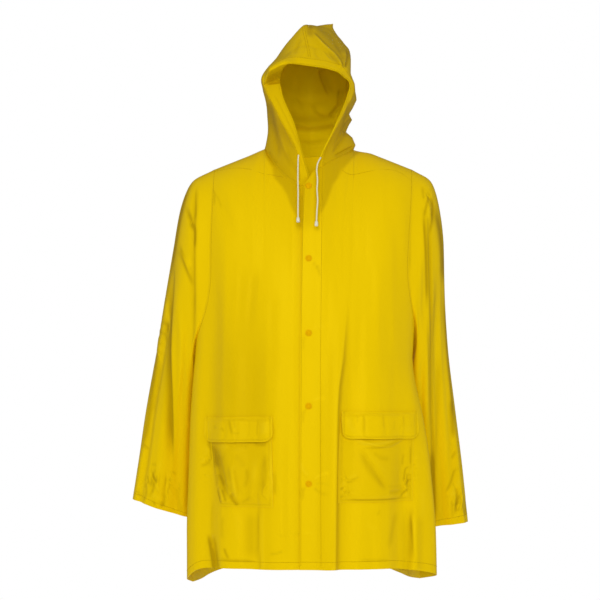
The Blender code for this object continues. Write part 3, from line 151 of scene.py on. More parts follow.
# Hood: a net of five lines from the face edge to the centre back, by row from
# the neck (0) to the top seam (7). Each line gives x, y and z.
LINE_PULL = 0.65           # under 1, the hood's curves across the lines are flatter
HOOD_LINES = ("face_edge", "channel", "side", "rear", "centre_back")
HOOD_RIGHT = (
    ((0.002, -0.088, -0.072), (-0.023, -0.086, -0.074), (-0.095, -0.002, 0.006),
     (-0.072, 0.055, -0.003), (0.000, 0.075, -0.006)),
    ((-0.014, -0.098, -0.017), (-0.027, -0.092, -0.007), (-0.088, 0.000, 0.040),
     (-0.070, 0.075, 0.046), (0.000, 0.105, 0.050)),
    ((-0.033, -0.100, 0.052), (-0.061, -0.088, 0.062), (-0.091, 0.010, 0.085),
     (-0.069, 0.090, 0.096), (0.000, 0.125, 0.103)),
    ((-0.058, -0.098, 0.115), (-0.090, -0.085, 0.120), (-0.095, 0.000, 0.126),
     (-0.071, 0.095, 0.148), (0.004, 0.130, 0.155)),
    ((-0.062, -0.104, 0.146), (-0.0965, -0.100, 0.142), (-0.088, -0.020, 0.166),
     (-0.056, 0.080, 0.198), (0.017, 0.125, 0.198)),
    ((-0.049, -0.118, 0.167), (-0.070, -0.112, 0.172), (-0.066, -0.050, 0.197),
     (-0.036, 0.060, 0.227), (0.032, 0.115, 0.232)),
    ((-0.029, -0.130, 0.170), (-0.037, -0.120, 0.185), (-0.044, -0.060, 0.224),
     (-0.013, 0.040, 0.255), (0.048, 0.088, 0.258)),
    ((-0.002, -0.135, 0.166), (-0.002, -0.125, 0.182), (-0.013, -0.050, 0.259),
     (0.017, 0.020, 0.267), (0.049, 0.055, 0.276)),
)
HOOD_LEFT = (
    ((0.010, -0.088, -0.043), (0.025, -0.083, -0.036), (0.092, 0.000, 0.004),
     (0.074, 0.055, -0.001), (0.000, 0.075, -0.006)),
    ((0.021, -0.095, -0.017), (0.030, -0.088, -0.006), (0.088, 0.000, 0.031),
     (0.070, 0.075, 0.043), (0.000, 0.105, 0.050)),
    ((0.052, -0.100, 0.048), (0.062, -0.090, 0.059), (0.087, 0.010, 0.076),
     (0.069, 0.090, 0.096), (0.000, 0.125, 0.103)),
    ((0.077, -0.105, 0.110), (0.087, -0.092, 0.112), (0.092, 0.000, 0.110),
     (0.075, 0.095, 0.148), (0.004, 0.130, 0.155)),
    ((0.083, -0.115, 0.137), (0.092, -0.101, 0.139), (0.086, -0.020, 0.166),
     (0.075, 0.085, 0.198), (0.017, 0.125, 0.198)),
    ((0.066, -0.125, 0.150), (0.080, -0.112, 0.160), (0.084, -0.020, 0.195),
     (0.077, 0.080, 0.223), (0.032, 0.115, 0.232)),
    ((0.037, -0.132, 0.160), (0.043, -0.120, 0.175), (0.045, -0.088, 0.200),
     (0.070, 0.060, 0.238), (0.048, 0.088, 0.258)),
    ((-0.002, -0.135, 0.166), (-0.002, -0.125, 0.182), (-0.013, -0.050, 0.259),
     (0.017, 0.020, 0.267), (0.049, 0.055, 0.276)),
)

# Sleeves: outer line from the shoulder tip, inner line from the underarm, and the
# depth of the tube, by the share of the length.
SLEEVE_COLUMNS = ("t", "outer_x", "outer_z", "inner_x", "inner_z", "mid_y", "half_depth")
SLEEVE_RIGHT = (
    (0.00, -0.203, -0.035, -0.237, -0.425, 0.000, 0.095),
    (0.07, -0.248, -0.060, -0.2445, -0.446, 0.004, 0.092),
    (0.14, -0.269, -0.105, -0.2490, -0.468, 0.010, 0.086),
    (0.25, -0.286, -0.190, -0.2510, -0.505, 0.018, 0.076),
    (0.40, -0.305, -0.300, -0.2520, -0.560, 0.026, 0.066),
    (0.56, -0.323, -0.413, -0.2520, -0.615, 0.032, 0.058),
    (0.72, -0.344, -0.530, -0.2515, -0.670, 0.034, 0.050),
    (0.86, -0.359, -0.630, -0.2500, -0.720, 0.034, 0.044),
    (1.00, -0.375, -0.731, -0.2480, -0.771, 0.033, 0.038),
)
SLEEVE_LEFT = (
    (0.00, 0.216, -0.040, 0.207, -0.388, 0.000, 0.095),
    (0.07, 0.254, -0.063, 0.2140, -0.415, 0.006, 0.092),
    (0.14, 0.271, -0.112, 0.2165, -0.440, 0.014, 0.086),
    (0.25, 0.282, -0.195, 0.2180, -0.485, 0.026, 0.076),
    (0.40, 0.2855, -0.300, 0.2185, -0.545, 0.042, 0.066),
    (0.56, 0.2940, -0.420, 0.2185, -0.610, 0.058, 0.058),
    (0.72, 0.3090, -0.540, 0.2185, -0.675, 0.068, 0.050),
    (0.86, 0.3240, -0.660, 0.2185, -0.735, 0.072, 0.044),
    (1.00, 0.3370, -0.783, 0.2185, -0.796, 0.074, 0.038),
)
SLEEVE_POWER = 2.2
SLEEVE_SETTLES_AT = 0.30   # share of the length in which the armhole's shape is lost

# Folds run from a top point to a bottom point. `raise` is positive outwards.
FOLD_STARTS_OVER = 0.35    # share of its length over which a fold grows
FOLD_COLUMNS = ("x_top", "z_top", "x_bottom", "z_bottom", "half_width", "raise")
FRONT_FOLDS = (
    (0.058, -0.290, 0.034, -0.950, 0.030, 0.0050),
    (0.092, -0.290, 0.070, -0.950, 0.030, -0.0050),
    (0.190, -0.560, 0.188, -0.950, 0.034, -0.0060),
    (0.140, -0.360, 0.140, -0.950, 0.045, 0.0040),
    (-0.118, -0.225, -0.125, -0.950, 0.036, -0.0045),
    (-0.070, -0.260, -0.068, -0.950, 0.034, 0.0040),
    (-0.160, -0.240, -0.172, -0.950, 0.034, 0.0040),
    (-0.198, -0.150, -0.212, -0.950, 0.030, -0.0060),
)
BACK_FOLDS = (
    (0.030, -0.180, 0.040, -0.980, 0.045, 0.0060),
    (-0.065, -0.150, -0.060, -0.980, 0.040, -0.0060),
    (0.105, -0.160, 0.110, -0.980, 0.038, -0.0070),
    (-0.130, -0.140, -0.140, -0.980, 0.036, 0.0070),
    (0.165, -0.220, 0.165, -0.980, 0.030, 0.0050),
)
# On a sleeve x is the angle round it, in turns from the outer line by the front,
# and z is the share of the length, so a fold's half width is in turns.
SLEEVE_FOLDS_RIGHT = (
    (0.130, 0.200, 0.120, 0.960, 0.050, -0.0060),
    (0.215, 0.120, 0.230, 1.100, 0.060, 0.0045),
    (0.330, 0.100, 0.320, 1.100, 0.050, -0.0040),
    (0.640, 0.150, 0.660, 1.100, 0.080, -0.0050),
    (0.800, 0.150, 0.790, 1.100, 0.080, 0.0040),
)
SLEEVE_FOLDS_LEFT = (
    (0.170, 0.060, 0.250, 1.100, 0.050, -0.0050),
    (0.270, 0.100, 0.330, 1.100, 0.050, 0.0045),
    (0.090, 0.100, 0.110, 1.100, 0.045, 0.0030),
    (0.640, 0.150, 0.660, 1.100, 0.080, -0.0050),
    (0.800, 0.150, 0.790, 1.100, 0.080, 0.0040),
)

# Pockets, in x and z on the front panel. Rows give the outline from the top.
POCKET_COLUMNS = ("z", "x_inner", "x_outer")
POCKET_BAG_LEFT = (
    (-0.546, 0.0620, 0.2120),
    (-0.600, 0.0575, 0.2120),
    (-0.660, 0.0560, 0.2105),
    (-0.722, 0.0555, 0.2100),
)
POCKET_BAG_RIGHT = (
    (-0.556, -0.0785, -0.2080),
    (-0.600, -0.0780, -0.2040),
    (-0.665, -0.0760, -0.1970),
    (-0.731, -0.0755, -0.1840),
)
FLAP_LEFT = {"top_inner": (0.0625, -0.5360), "top_outer": (0.2210, -0.5400),
             "height": 0.0570, "corner": 0.018}
FLAP_RIGHT = {"top_inner": (-0.0768, -0.5460), "top_outer": (-0.2160, -0.5500),
              "height": 0.0530, "corner": 0.018}
POCKET_SAG_COLUMNS = ("across", "down", "half_width", "raise")
POCKET_SAG_LEFT = (
    (0.50, 0.66, 0.34, 0.0016),
)
POCKET_SAG_RIGHT = (
    (0.45, 0.68, 0.34, 0.0018),
)

CORD_ROUTES = {
    "right": ((-0.0241, -0.0951, -0.0129), (-0.0248, -0.0978, -0.0220),
              (-0.0251, -0.1050, -0.0400), (-0.0253, -0.1120, -0.0600),
              (-0.0249, -0.1215, -0.0900), (-0.0251, -0.1320, -0.1200),
              (-0.0250, -0.1395, -0.1430)),
    "left": ((0.0217, -0.0962, -0.0182), (0.0200, -0.0988, -0.0213),
             (0.0172, -0.1010, -0.0262), (0.0148, -0.1030, -0.0330),
             (0.0134, -0.1060, -0.0445), (0.0148, -0.1140, -0.0660),
             (0.0138, -0.1195, -0.0850), (0.0150, -0.1280, -0.1080),
             (0.0136, -0.1350, -0.1270), (0.0125, -0.1420, -0.1510)),
}

# ---------------------------------------------------------------- mesh fineness

PAST_STEPS = 10
CHANNEL_STEPS = 16
COLLAR_STEPS = 24
SHOULDER_STEPS = 62
NAPE_STEPS = 20
LOW_ROWS = 130
FRONT_ARM_ROWS = 72
YOKE_ROWS = 14
BACK_ARM_ROWS = FRONT_ARM_ROWS + YOKE_ROWS
SLEEVE_ROWS = 180
HOOD_ROWS_PER_STEP = 24
HOOD_EVEN_AT = 3.0
EDGE_PULL = 2
ARM_ROW_POWER = 1.2
PROBE = 0.002
POCKET_ACROSS = 84
POCKET_DOWN = 96
FLAP_DOWN = 26
TURNED_SEGMENTS = 40

PLACKET_STITCH = 0.0205    # the facing's stitch line, from the centre
STROKE_RELIEF = 0.22       # height of a stroke, as a share of its width and shade
STROKE_FADE = 0.25         # share of a stroke over which either end fades
SHARP_AT = 0.6             # steepness from which a crease has a full painted highlight in its core
CRISP_AT = 0.45            # steepness from which a crease has its full painted shade
NOISE_CELLS = 64
PINCH_SEED = 71
STITCH_STAND = 0.0001      # stitches stand this much over the film
HEM_STITCH_IN = 0.0015     # hem stitches, below the fold line
CORD_STEP = 0.0006
RIM_WIDTH = 0.0016         # painted highlight along the rim of a pocket or flap
RIM_LINE_IN = 0.005        # the painted shade line inside the rim, from the edge
RIM_LINE_WIDTH = 0.002
# Strength of the painted shade and highlight of creases and strokes on a bag and a flap.
BAG_CREASE_TONE = 1.2
BAG_STROKE_TONE = 1.9
FLAP_STROKE_TONE = 1.6
# Backing light of the channel: the rest of its colour is the painted shade colour, as on the hood.
CHANNEL_BACKING_LIGHT = 0.55
# Share of the full film colour on a bag, which is a little darker overall than the flap.
BAG_LIGHTNESS = 0.8
FLAP_SHADE_SHARE = 0.6        # share of the painted shade of the open throat and the painted shade patch that a flap over them takes
SLEEVE_GIRTH = 0.36
LAYER_GAP = 0.0004         # between a piece and the one it lies on
BAG_STAND = 0.0022         # a pocket's film stands this much off the front
FLAP_LIFT = 0.0026         # a flap's lower edge stands this much further off
SLEEVE_RIPPLE = 0.0005
FRONT_RIPPLE = 0.0007
BACK_RIPPLE = 0.0012
ARM_STITCH = 0.018         # share of the half width, armhole to its stitches
NECK_SOFT = 0.10
HOOD_RIPPLE = 0.0010
HOOD_FINER = 2
CHANNEL_ACROSS = 20
CORD_SIDES = 20
BRAID_PITCH = 0.0052
FLOOR_Z = -1.48            # where the wearer would stand

# Painted shade over the open throat under the hood, where nothing bright backs the film: edge by
# height.
THROAT_EDGE = (
    ((-0.1375, -0.1133, -0.0940, -0.0756, -0.0575, -0.0350, -0.0100),
     (-0.0300, -0.0414, -0.0479, -0.0590, -0.0750, -0.0790, -0.0950)),
    ((-0.1375, -0.1160, -0.0940, -0.0735, -0.0600, -0.0450, -0.0200, 0.0000),
     (0.0190, 0.0320, 0.0400, 0.0465, 0.0560, 0.0640, 0.0850, 0.1050)),
)
THROAT_BOTTOM = -0.150
THROAT_SOFT = 0.005        # half width of its soft edge
DOUBLED_FROM, DOUBLED_TO = -0.0200, 0.0080     # less painted shade where layers of the placket hide the open throat
DOUBLED_SHARE = 0.55

# The brim's turned corner on the right: its fold by height, the top of the band
# below it, and how far the fold stands forwards.
BRIM_FOLD = ((-0.0950, -0.0858, -0.0613, -0.0409, -0.0114),
             (0.1325, 0.1536, 0.1659, 0.1706, 0.1685))
BRIM_BAND_TOP = ((-0.0950, -0.0593), (0.1290, 0.1336))
BRIM_FORWARD = 0.030
BRIM_RECESS = 0.016
# Crumples of the hood's left edge behind the neck: outwards, by height.
CRUMPLES = ((-0.010, 0.0146, 0.030, 0.042, 0.055, 0.068, 0.079, 0.092, 0.108, 0.130, 0.150),
            (0.0, 0.005, 0.0005, -0.012, -0.006, 0.0015, -0.006, 0.0, 0.005, 0.001, 0.0))
# The hood's left outline above the brim's corner: inwards, by height.
HOOD_TUCK = ((0.118, 0.134, 0.144, 0.155, 0.170, 0.192),
             (0.0, -0.003, -0.007, -0.009, -0.005, 0.0))
# Pinched places: centre x and z, half width and height, ridge height, spacing.
FRONT_PINCHES = (
    (-0.213, -0.650, 0.012, 0.034, 0.0012, 0.009),
    (0.211, -0.655, 0.010, 0.030, 0.0011, 0.008),
)
BAG_PINCHES = (
    (-0.180, -0.700, 0.016, 0.030, 0.0017, 0.008),
    (-0.194, -0.646, 0.010, 0.036, 0.0015, 0.008),
    (-0.080, -0.660, 0.007, 0.040, 0.0010, 0.007),
    (0.068, -0.700, 0.017, 0.022, 0.0014, 0.008),
    (0.196, -0.690, 0.013, 0.028, 0.0015, 0.008),
)
SLEEVE_PINCHES = (
    (-0.338, -0.700, 0.022, 0.030, 0.0012, 0.009),
    (-0.292, -0.705, 0.014, 0.026, 0.0010, 0.008),
    (-0.322, -0.390, 0.010, 0.050, 0.0012, 0.010),
    (0.307, -0.735, 0.018, 0.026, 0.0011, 0.008),
    (0.250, -0.090, 0.010, 0.030, 0.0008, 0.009),
)
# Painted shade: an oval patch on the front, darker where the film turns away from the light.
SHADE_PATCH_PLACE = (-0.136, -0.515)
SHADE_PATCH_SIZE = (0.055, 0.190)
SHADE_PATCH_SHARE = 0.65
SLEEVE_NEARS = (0.17, 0.13, 0.0035)   # share, spread and metres towards the body
SLEEVE_LEANS = 0.0085      # below the elbow the sleeve's inner side leans this far to the body
SLEEVE_LEANS_BELOW = (0.395, 0.485)   # metres below the neck over which that starts
CHANNEL_RAISE = 0.0009     # the channel stands this much over the panels

FILM_YELLOW = (0.86, 0.580, 0.001, 1.0)
# Painted shade colour, taken where the backing light is low: the open throat, the hood and the
# painted shade patch.
FILM_PAINTED_SHADE = (0.66, 0.430, 0.001, 1.0)
# Painted light: lighter colours of the insides of the hood and back, standing in for light that
# comes through the film.
HOOD_INSIDE_PAINTED_LIGHT = (0.82, 0.605, 0.001, 1.0)
BACK_INSIDE_PAINTED_LIGHT = (0.98, 0.700, 0.001, 1.0)
SHEEN_TINT = (1.0, 0.79, 0.03, 1.0)
# Painted shade colour of folds, creases and strokes; sharp ridges get a painted highlight.
FOLD_SHADE_YELLOW = (0.50, 0.310, 0.001, 1.0)
POCKET_THREAD = (0.92, 0.640, 0.006, 1.0)
# Darker than the film: partly the thread's colour, partly painted shade of the seam grooves.
THREAD_SEAM_SHADE_YELLOW = (0.58, 0.370, 0.002, 1.0)
SNAP_ORANGE = (0.86, 0.455, 0.0008, 1.0)
CORD_CREAM = (0.92, 0.86, 0.62, 1.0)
# Painted shade between the cord's strands.
CORD_GROOVE_SHADE = (0.62, 0.54, 0.30, 1.0)
END_CREAM = (0.85, 0.82, 0.66, 1.0)

AMBIENT = (1.0, 1.0, 1.0, 1.0)
AMBIENT_STRENGTH = 0.41
SHEEN_STRENGTH = 0.06
LAMPS = (                  # name, place, aim, size, watts, seen in the sheen
    ("key", (-0.3, -3.5, 1.1), (0, 0, -0.15), (1.6, 1.2), 36.0, True),
    ("front", (0.2, -4.2, 0.0), (0, 0, -0.3), (2.4, 1.6), 30.5, True),
    ("side_left", (2.6, -2.2, 0.3), (0, 0, -0.4), (1.4, 2.0), 9.0, False),
    ("side_right", (-2.8, -2.0, 0.3), (0, 0, -0.4), (1.4, 2.0), 8.0, False),
    ("throat", (0.0, -0.05, -0.045), (0.004, 0.10, -0.030), (0.05, 0.05), 0.035, False),
    ("back", (0.4, 3.0, 0.6), (0, 0, -0.3), (2.0, 2.0), 40.0, False),
)

# Places in the camera's view are counted in steps across and down from its top
# left corner. They are listed, and laid in metres at a depth given in y.
VIEW_STEP = 0.0021         # a six-hundredth of the view's width, at the coat
VIEW_ZERO = (310, 300)     # the step across where x is 0, the step down at the camera's height
FRONT_CREASE_Y = -0.15
SLEEVE_CREASE_RIGHT_Y, SLEEVE_CREASE_LEFT_Y = 0.0, 0.03
HOOD_FRONT_CREASE_Y, HOOD_BACK_CREASE_Y = -0.09, 0.12
POCKET_STROKE_Y, FRONT_STROKE_Y = -0.165, -0.155
SLEEVE_STROKE_Y = ((200, 350, 440, 520), (-0.06, -0.05, -0.01, 0.02))   # by step down
BAG_STROKE_LEAST = 1.9     # least width of a stroke, in mm
FRONT_STROKE_LEAST = 2.4
FLAP_STROKE_LEAST = 1.8
SLEEVE_STROKE_LEAST = 2.6

# Creases seen from the front: (places in the view, width in mm on the left and on
# the right, height in mm outwards, shares over which it grows and fades, and the
# crease's own y where it has one).
FRONT_CREASES_SEEN = (
    (((215, 184), (229, 226), (236.5, 253)), 14, 10, -1.95, 0.3, 0.6),
    (((242, 258), (239, 310), (236, 366)), 9, 12, -1.95, 0.25, 0.45),
    (((254, 266), (250, 305), (247, 345)), 7, 9, -2, 0.25, 0.45),
    (((271, 280), (272.5, 335), (273, 402)), 8, 12, -1.65, 0.3, 0.5),
    (((262, 445), (261, 500), (262, 575)), 5, 16, 2.6, 0.4, 0.05),
    (((207, 534), (211.5, 552), (215.5, 574)), 4, 7, -5, 0.3, 0.05),
    (((240, 512), (238, 545), (240, 572)), 9, 9, 1.35, 0.3, 0.1),
    (((205, 330), (203, 400), (200, 470)), 10, 12, -1.8, 0.3, 0.4),
    (((222, 200), (221, 290), (226, 380)), 11, 14, 1.35, 0.3, 0.5),
    (((283, 400), (281, 480), (284, 560)), 9, 9, 1.2, 0.4, 0.2),
    (((270, 536), (300, 533), (321, 534)), 1.6, 1.6, 0.5, 0.2, 0.2),
    (((347, 291), (341.5, 360), (336.5, 398), (335, 480), (334.3, 575)), 26, 4.5, 4, 0.35, 0.02),
    (((351, 291), (346, 360), (341, 398), (339.5, 480), (339, 575)), 4, 10, -1.4, 0.35, 0.02),
    (((325, 330), (323, 420), (324, 520)), 8, 9, 1.2, 0.4, 0.3),
    (((414.6, 500), (415, 536), (414.8, 574)), 5, 12, 3, 0.4, 0.05),
    (((409, 505), (408.5, 540), (408, 574)), 8, 5, -2.6, 0.4, 0.05),
    (((372, 508), (371, 540), (373, 574)), 10, 12, -1.35, 0.3, 0.1),
    (((392, 190), (398, 260), (396, 350)), 10, 14, -1.35, 0.35, 0.5),
    (((383, 240), (377, 310), (380, 396)), 12, 12, 1.2, 0.35, 0.4),
    (((412, 345), (421, 400), (428, 462)), 9, 9, -1.65, 0.4, 0.4),
    (((362, 300), (360, 350), (362, 404)), 10, 10, -0.9, 0.4, 0.4),
    (((309, 476), (303, 470), (301, 463)), 2.5, 3, 1, 0.1, 0.5),
    (((313, 480), (321, 474), (327, 472)), 2.5, 2.5, 0.9, 0.1, 0.5),
    (((304, 486), (300.5, 492), (301, 500)), 2.4, 2.4, -0.8, 0.1, 0.5),
    (((313, 487), (322, 493), (330, 494)), 2.4, 2.4, -0.8, 0.1, 0.5),
    (((312, 402), (319, 398), (325, 398)), 2.2, 2.2, 0.6, 0.1, 0.6),
    (((305, 409), (302, 415), (302, 424)), 2.2, 2.2, -0.5, 0.1, 0.6),
    (((312, 329), (319, 326), (326, 327)), 2.2, 2.2, 0.5, 0.1, 0.6),
    (((304, 336), (301, 342), (302, 350)), 2.2, 2.2, -0.5, 0.1, 0.6),
    (((312, 255), (318, 252), (326, 254)), 2.2, 2.2, 0.5, 0.1, 0.6),
    (((312, 262), (318, 268), (320, 276)), 2.2, 2.2, -0.5, 0.1, 0.6),
    (((303, 186), (301, 205), (300.5, 235)), 2.5, 4, -0.8, 0.2, 0.5),
    (((318, 186), (322, 205), (321, 240)), 3, 3, 0.8, 0.2, 0.5),
)
SLEEVE_CREASES_RIGHT_SEEN = (
    (((196, 186), (195, 260), (196, 340)), 5, 3.5, -2.2, 0.2, 0.4),
    (((186, 205), (193, 224), (195, 236)), 3, 3, -1.6, 0.3, 0.4),
    (((178, 245), (187, 262), (193.6, 279.5)), 5, 4, 2, 0.3, 0.4),
    (((174, 263), (171.5, 350), (173, 466)), 11, 3.2, -3.6, 0.2, 0.2),
    (((184, 290), (182, 370), (180, 465)), 8, 8, 2.4, 0.3, 0.3),
    (((167, 200), (170, 250), (166, 300)), 7, 7, -1.6, 0.3, 0.3),
    (((168.5, 470), (165, 490), (163.3, 507)), 2.5, 3, -1.8, 0.3, 0.05),
    (((150, 467), (155, 480), (150, 498)), 2.2, 2.2, -1.2, 0.3, 0.2),
    (((160, 470), (158, 482), (161, 495)), 2.2, 2.2, 1.2, 0.3, 0.2),
    (((144, 480), (146, 492), (142, 503)), 2.4, 2.4, -1, 0.3, 0.2),
    (((180, 480), (178, 495), (180, 512)), 3, 3, -1, 0.3, 0.05),
)
SLEEVE_CREASES_LEFT_SEEN = (
    (((426, 199), (429.3, 322), (430.9, 398), (434, 528)), 3.2, 3.4, -2.2, 0.15, 0.02),
    (((424, 191), (430, 208), (432, 230)), 4, 4, -2, 0.2, 0.4),
    (((436, 215), (438, 300), (441, 380)), 8, 8, 1.6, 0.2, 0.4),
    (((418, 250), (417, 300), (420, 350)), 6, 6, 1.6, 0.3, 0.4),
    (((445, 380), (450, 440), (452, 500)), 7, 7, -1.6, 0.3, 0.3),
    (((440, 420), (444, 470), (446, 520)), 6, 6, 1.2, 0.3, 0.2),
    (((452, 480), (457, 496), (455, 516)), 2.4, 2.4, -1.4, 0.3, 0.2),
    (((460, 486), (462, 500), (459, 514)), 2.2, 2.2, 1.2, 0.3, 0.2),
    (((466, 495), (463, 505), (466, 519)), 2.2, 2.2, -1, 0.3, 0.2),
    (((447, 440), (452, 448), (461, 450)), 3, 3, 0.9, 0.3, 0.3),
)
HOOD_FRONT_CREASES_SEEN = (
    (((269, 94), (283, 124), (298, 155)), 1.6, 1.8, 0.7, 0.1, 0.2, -0.1),
    (((273, 92), (287, 121), (303, 154)), 1.6, 1.8, -0.6, 0.15, 0.2, -0.1),
    (((278, 90), (291, 120), (304, 150)), 1.5, 1.6, 0.5, 0.2, 0.2, -0.1),
    (((350, 97), (338, 121), (325, 146)), 1.4, 1.5, 0.5, 0.2, 0.2, -0.1),
    (((285, 54), (303, 46), (322, 50)), 2.5, 3, -0.7, 0.3, 0.3),
    (((309, 27), (317, 38), (324.3, 46.8), (336.3, 57.4), (344, 70)), 8, 5, 3.6, 0.3, 0.1),
    (((310.5, 20), (310, 28), (311.5, 38)), 6, 5, -4.5, 0.1, 0.5),
    (((313, 29), (328, 45), (340, 56), (347, 70)), 5, 6, -2.5, 0.1, 0.1),
    (((301, 36), (297, 46), (294, 56)), 3, 4, -1.2, 0.2, 0.2),
    (((307, 40), (306, 50), (303, 58)), 3, 3, 0.8, 0.2, 0.2),
    (((315, 46), (316, 54), (319, 61)), 4, 3, -1, 0.2, 0.2),
    (((322, 52), (326, 58), (332, 64)), 3, 3, 1, 0.2, 0.2),
    (((291, 50), (285, 57), (279, 62)), 3, 4, -1, 0.2, 0.2),
    (((328, 52), (334, 60), (341, 68)), 2.5, 2.5, -0.9, 0.2, 0.2),
    (((318, 30), (330, 34), (337, 46)), 6, 5, -1.5, 0.2, 0.2, 0),
    (((325, 26), (335, 38), (344, 50)), 5, 5, 1.2, 0.2, 0.2, 0),
    (((335, 44), (341, 56), (345, 64)), 4, 4, -1.6, 0.2, 0.2, 0),
    (((346.5, 48), (347, 60), (347.5, 74)), 1.6, 2.4, -3, 0.2, 0.2, 0),
    (((269, 100), (272, 125), (280, 160)), 5, 6, -2.5, 0.2, 0.2, -0.03),
    (((276, 118), (284, 145), (294, 170)), 5, 5, 2, 0.2, 0.2, -0.05),
    (((267, 150), (271, 158), (278, 166)), 2.5, 3, -3, 0.2, 0.2, -0.02),
    (((285, 150), (292, 166), (300, 180)), 4, 4, -1.5, 0.2, 0.2, -0.06),
    (((349, 100), (344, 125), (333, 152)), 4, 4, -2, 0.2, 0.2, -0.04),
    (((352, 112), (345, 122), (338, 140)), 3, 3, 2, 0.2, 0.2, -0.04),
    (((350, 128), (342, 140), (332, 156)), 3, 3, -1.8, 0.2, 0.2, -0.04),
    (((353, 145), (344, 151), (334, 158)), 2.5, 3, -2.2, 0.2, 0.2, -0.04),
    (((349, 150), (341, 156), (330, 160)), 2, 2, 1.5, 0.2, 0.2, -0.05),
)
HOOD_BACK_CREASES_SEEN = (
    (((319.7, 70), (325, 85), (331, 98)), 3, 7, -3, 0.1, 0.3),
    (((300, 72), (297, 95), (301, 118)), 8, 8, -2, 0.2, 0.3),
    (((290, 95), (310, 101), (333, 96)), 10, 10, 2, 0.2, 0.2),
    (((284, 124), (310, 128.5), (341, 125)), 8, 20, -9, 0.1, 0.1),
    (((296, 142), (312, 146), (330, 141)), 6, 6, -2, 0.3, 0.3),
    (((341, 88), (338, 104), (330, 122)), 4, 5, -2.5, 0.2, 0.3),
    (((312, 104), (318, 115), (330, 120)), 4, 4, -1.5, 0.2, 0.3),
)

# Creases on hidden sides and on the pockets: the same in metres, as x and z, and on
# the back of a sleeve as metres round and along it.
BACK_CREASES = (
    (((-0.150, -0.060), (-0.120, -0.170), (-0.110, -0.300)), 0.0140, 0.0100, -0.0030, 0.25, 0.55),
    (((0.140, -0.070), (0.126, -0.180), (0.112, -0.310)), 0.0120, 0.0120, -0.0030, 0.25, 0.55),
    (((0.000, -0.250), (0.006, -0.450), (0.010, -0.880)), 0.0100, 0.0140, -0.0030, 0.35, 0.05),
    (((0.070, -0.350), (0.074, -0.600), (0.078, -0.885)), 0.0080, 0.0180, 0.0034, 0.40, 0.05),
    (((-0.040, -0.420), (-0.034, -0.650), (-0.030, -0.885)), 0.0180, 0.0080, 0.0030, 0.40, 0.05),
    (((-0.100, -0.360), (-0.098, -0.620), (-0.094, -0.885)), 0.0070, 0.0140, -0.0036, 0.35, 0.05),
    (((-0.172, -0.300), (-0.180, -0.560), (-0.182, -0.885)), 0.0100, 0.0100, -0.0032, 0.35, 0.05),
    (((0.136, -0.300), (0.142, -0.600), (0.146, -0.885)), 0.0090, 0.0130, -0.0034, 0.35, 0.05),
    (((0.190, -0.420), (0.196, -0.640), (0.204, -0.885)), 0.0120, 0.0080, 0.0026, 0.40, 0.05),
    (((-0.060, -0.690), (0.010, -0.694), (0.090, -0.688)), 0.0016, 0.0016, 0.0005, 0.20, 0.20),
    (((-0.050, -0.080), (-0.058, -0.130), (-0.054, -0.190)), 0.0070, 0.0070, -0.0014, 0.30, 0.60),
    (((0.046, -0.080), (0.052, -0.128), (0.060, -0.190)), 0.0070, 0.0070, -0.0014, 0.30, 0.60),
    (((-0.190, -0.800), (-0.186, -0.840), (-0.190, -0.885)), 0.0050, 0.0070, -0.0026, 0.40, 0.05),
    (((0.030, -0.800), (0.036, -0.840), (0.034, -0.885)), 0.0060, 0.0060, -0.0020, 0.40, 0.05),
)
SLEEVE_BACK_CREASES = (
    (((0.215, 0.080), (0.230, 0.300), (0.226, 0.560)), 0.0080, 0.0120, -0.0040, 0.25, 0.30),
    (((0.262, 0.120), (0.270, 0.320), (0.280, 0.640)), 0.0100, 0.0080, 0.0026, 0.30, 0.20),
    (((0.310, 0.060), (0.302, 0.200), (0.312, 0.420)), 0.0080, 0.0080, -0.0028, 0.25, 0.40),
    (((0.225, 0.260), (0.262, 0.285), (0.296, 0.280)), 0.0060, 0.0040, -0.0018, 0.30, 0.40),
    (((0.232, 0.330), (0.258, 0.345), (0.285, 0.338)), 0.0040, 0.0060, 0.0016, 0.30, 0.40),
    (((0.212, 0.620), (0.222, 0.655), (0.214, 0.690)), 0.0030, 0.0030, -0.0014, 0.30, 0.20),
    (((0.276, 0.610), (0.270, 0.650), (0.280, 0.690)), 0.0030, 0.0030, -0.0014, 0.30, 0.20),
)
BAG_CREASES_RIGHT = (
    (((-0.198, -0.605), (-0.180, -0.665), (-0.166, -0.717)), 0.0040, 0.0060, -0.0030, 0.15, 0.20),
    (((-0.162, -0.702), (-0.154, -0.715), (-0.147, -0.728)), 0.0030, 0.0040, -0.0020, 0.20, 0.10),
    (((-0.161, -0.642), (-0.156, -0.675), (-0.150, -0.717)), 0.0060, 0.0060, 0.0034, 0.25, 0.25),
    (((-0.170, -0.604), (-0.150, -0.612), (-0.120, -0.606)), 0.0040, 0.0050, -0.0012, 0.20, 0.30),
    (((-0.092, -0.620), (-0.100, -0.660), (-0.096, -0.710)), 0.0060, 0.0050, -0.0016, 0.30, 0.30),
    (((-0.084, -0.680), (-0.094, -0.700), (-0.084, -0.716)), 0.0025, 0.0025, 0.0012, 0.30, 0.20),
    (((-0.120, -0.640), (-0.114, -0.680), (-0.122, -0.722)), 0.0090, 0.0070, 0.0018, 0.30, 0.10),
)
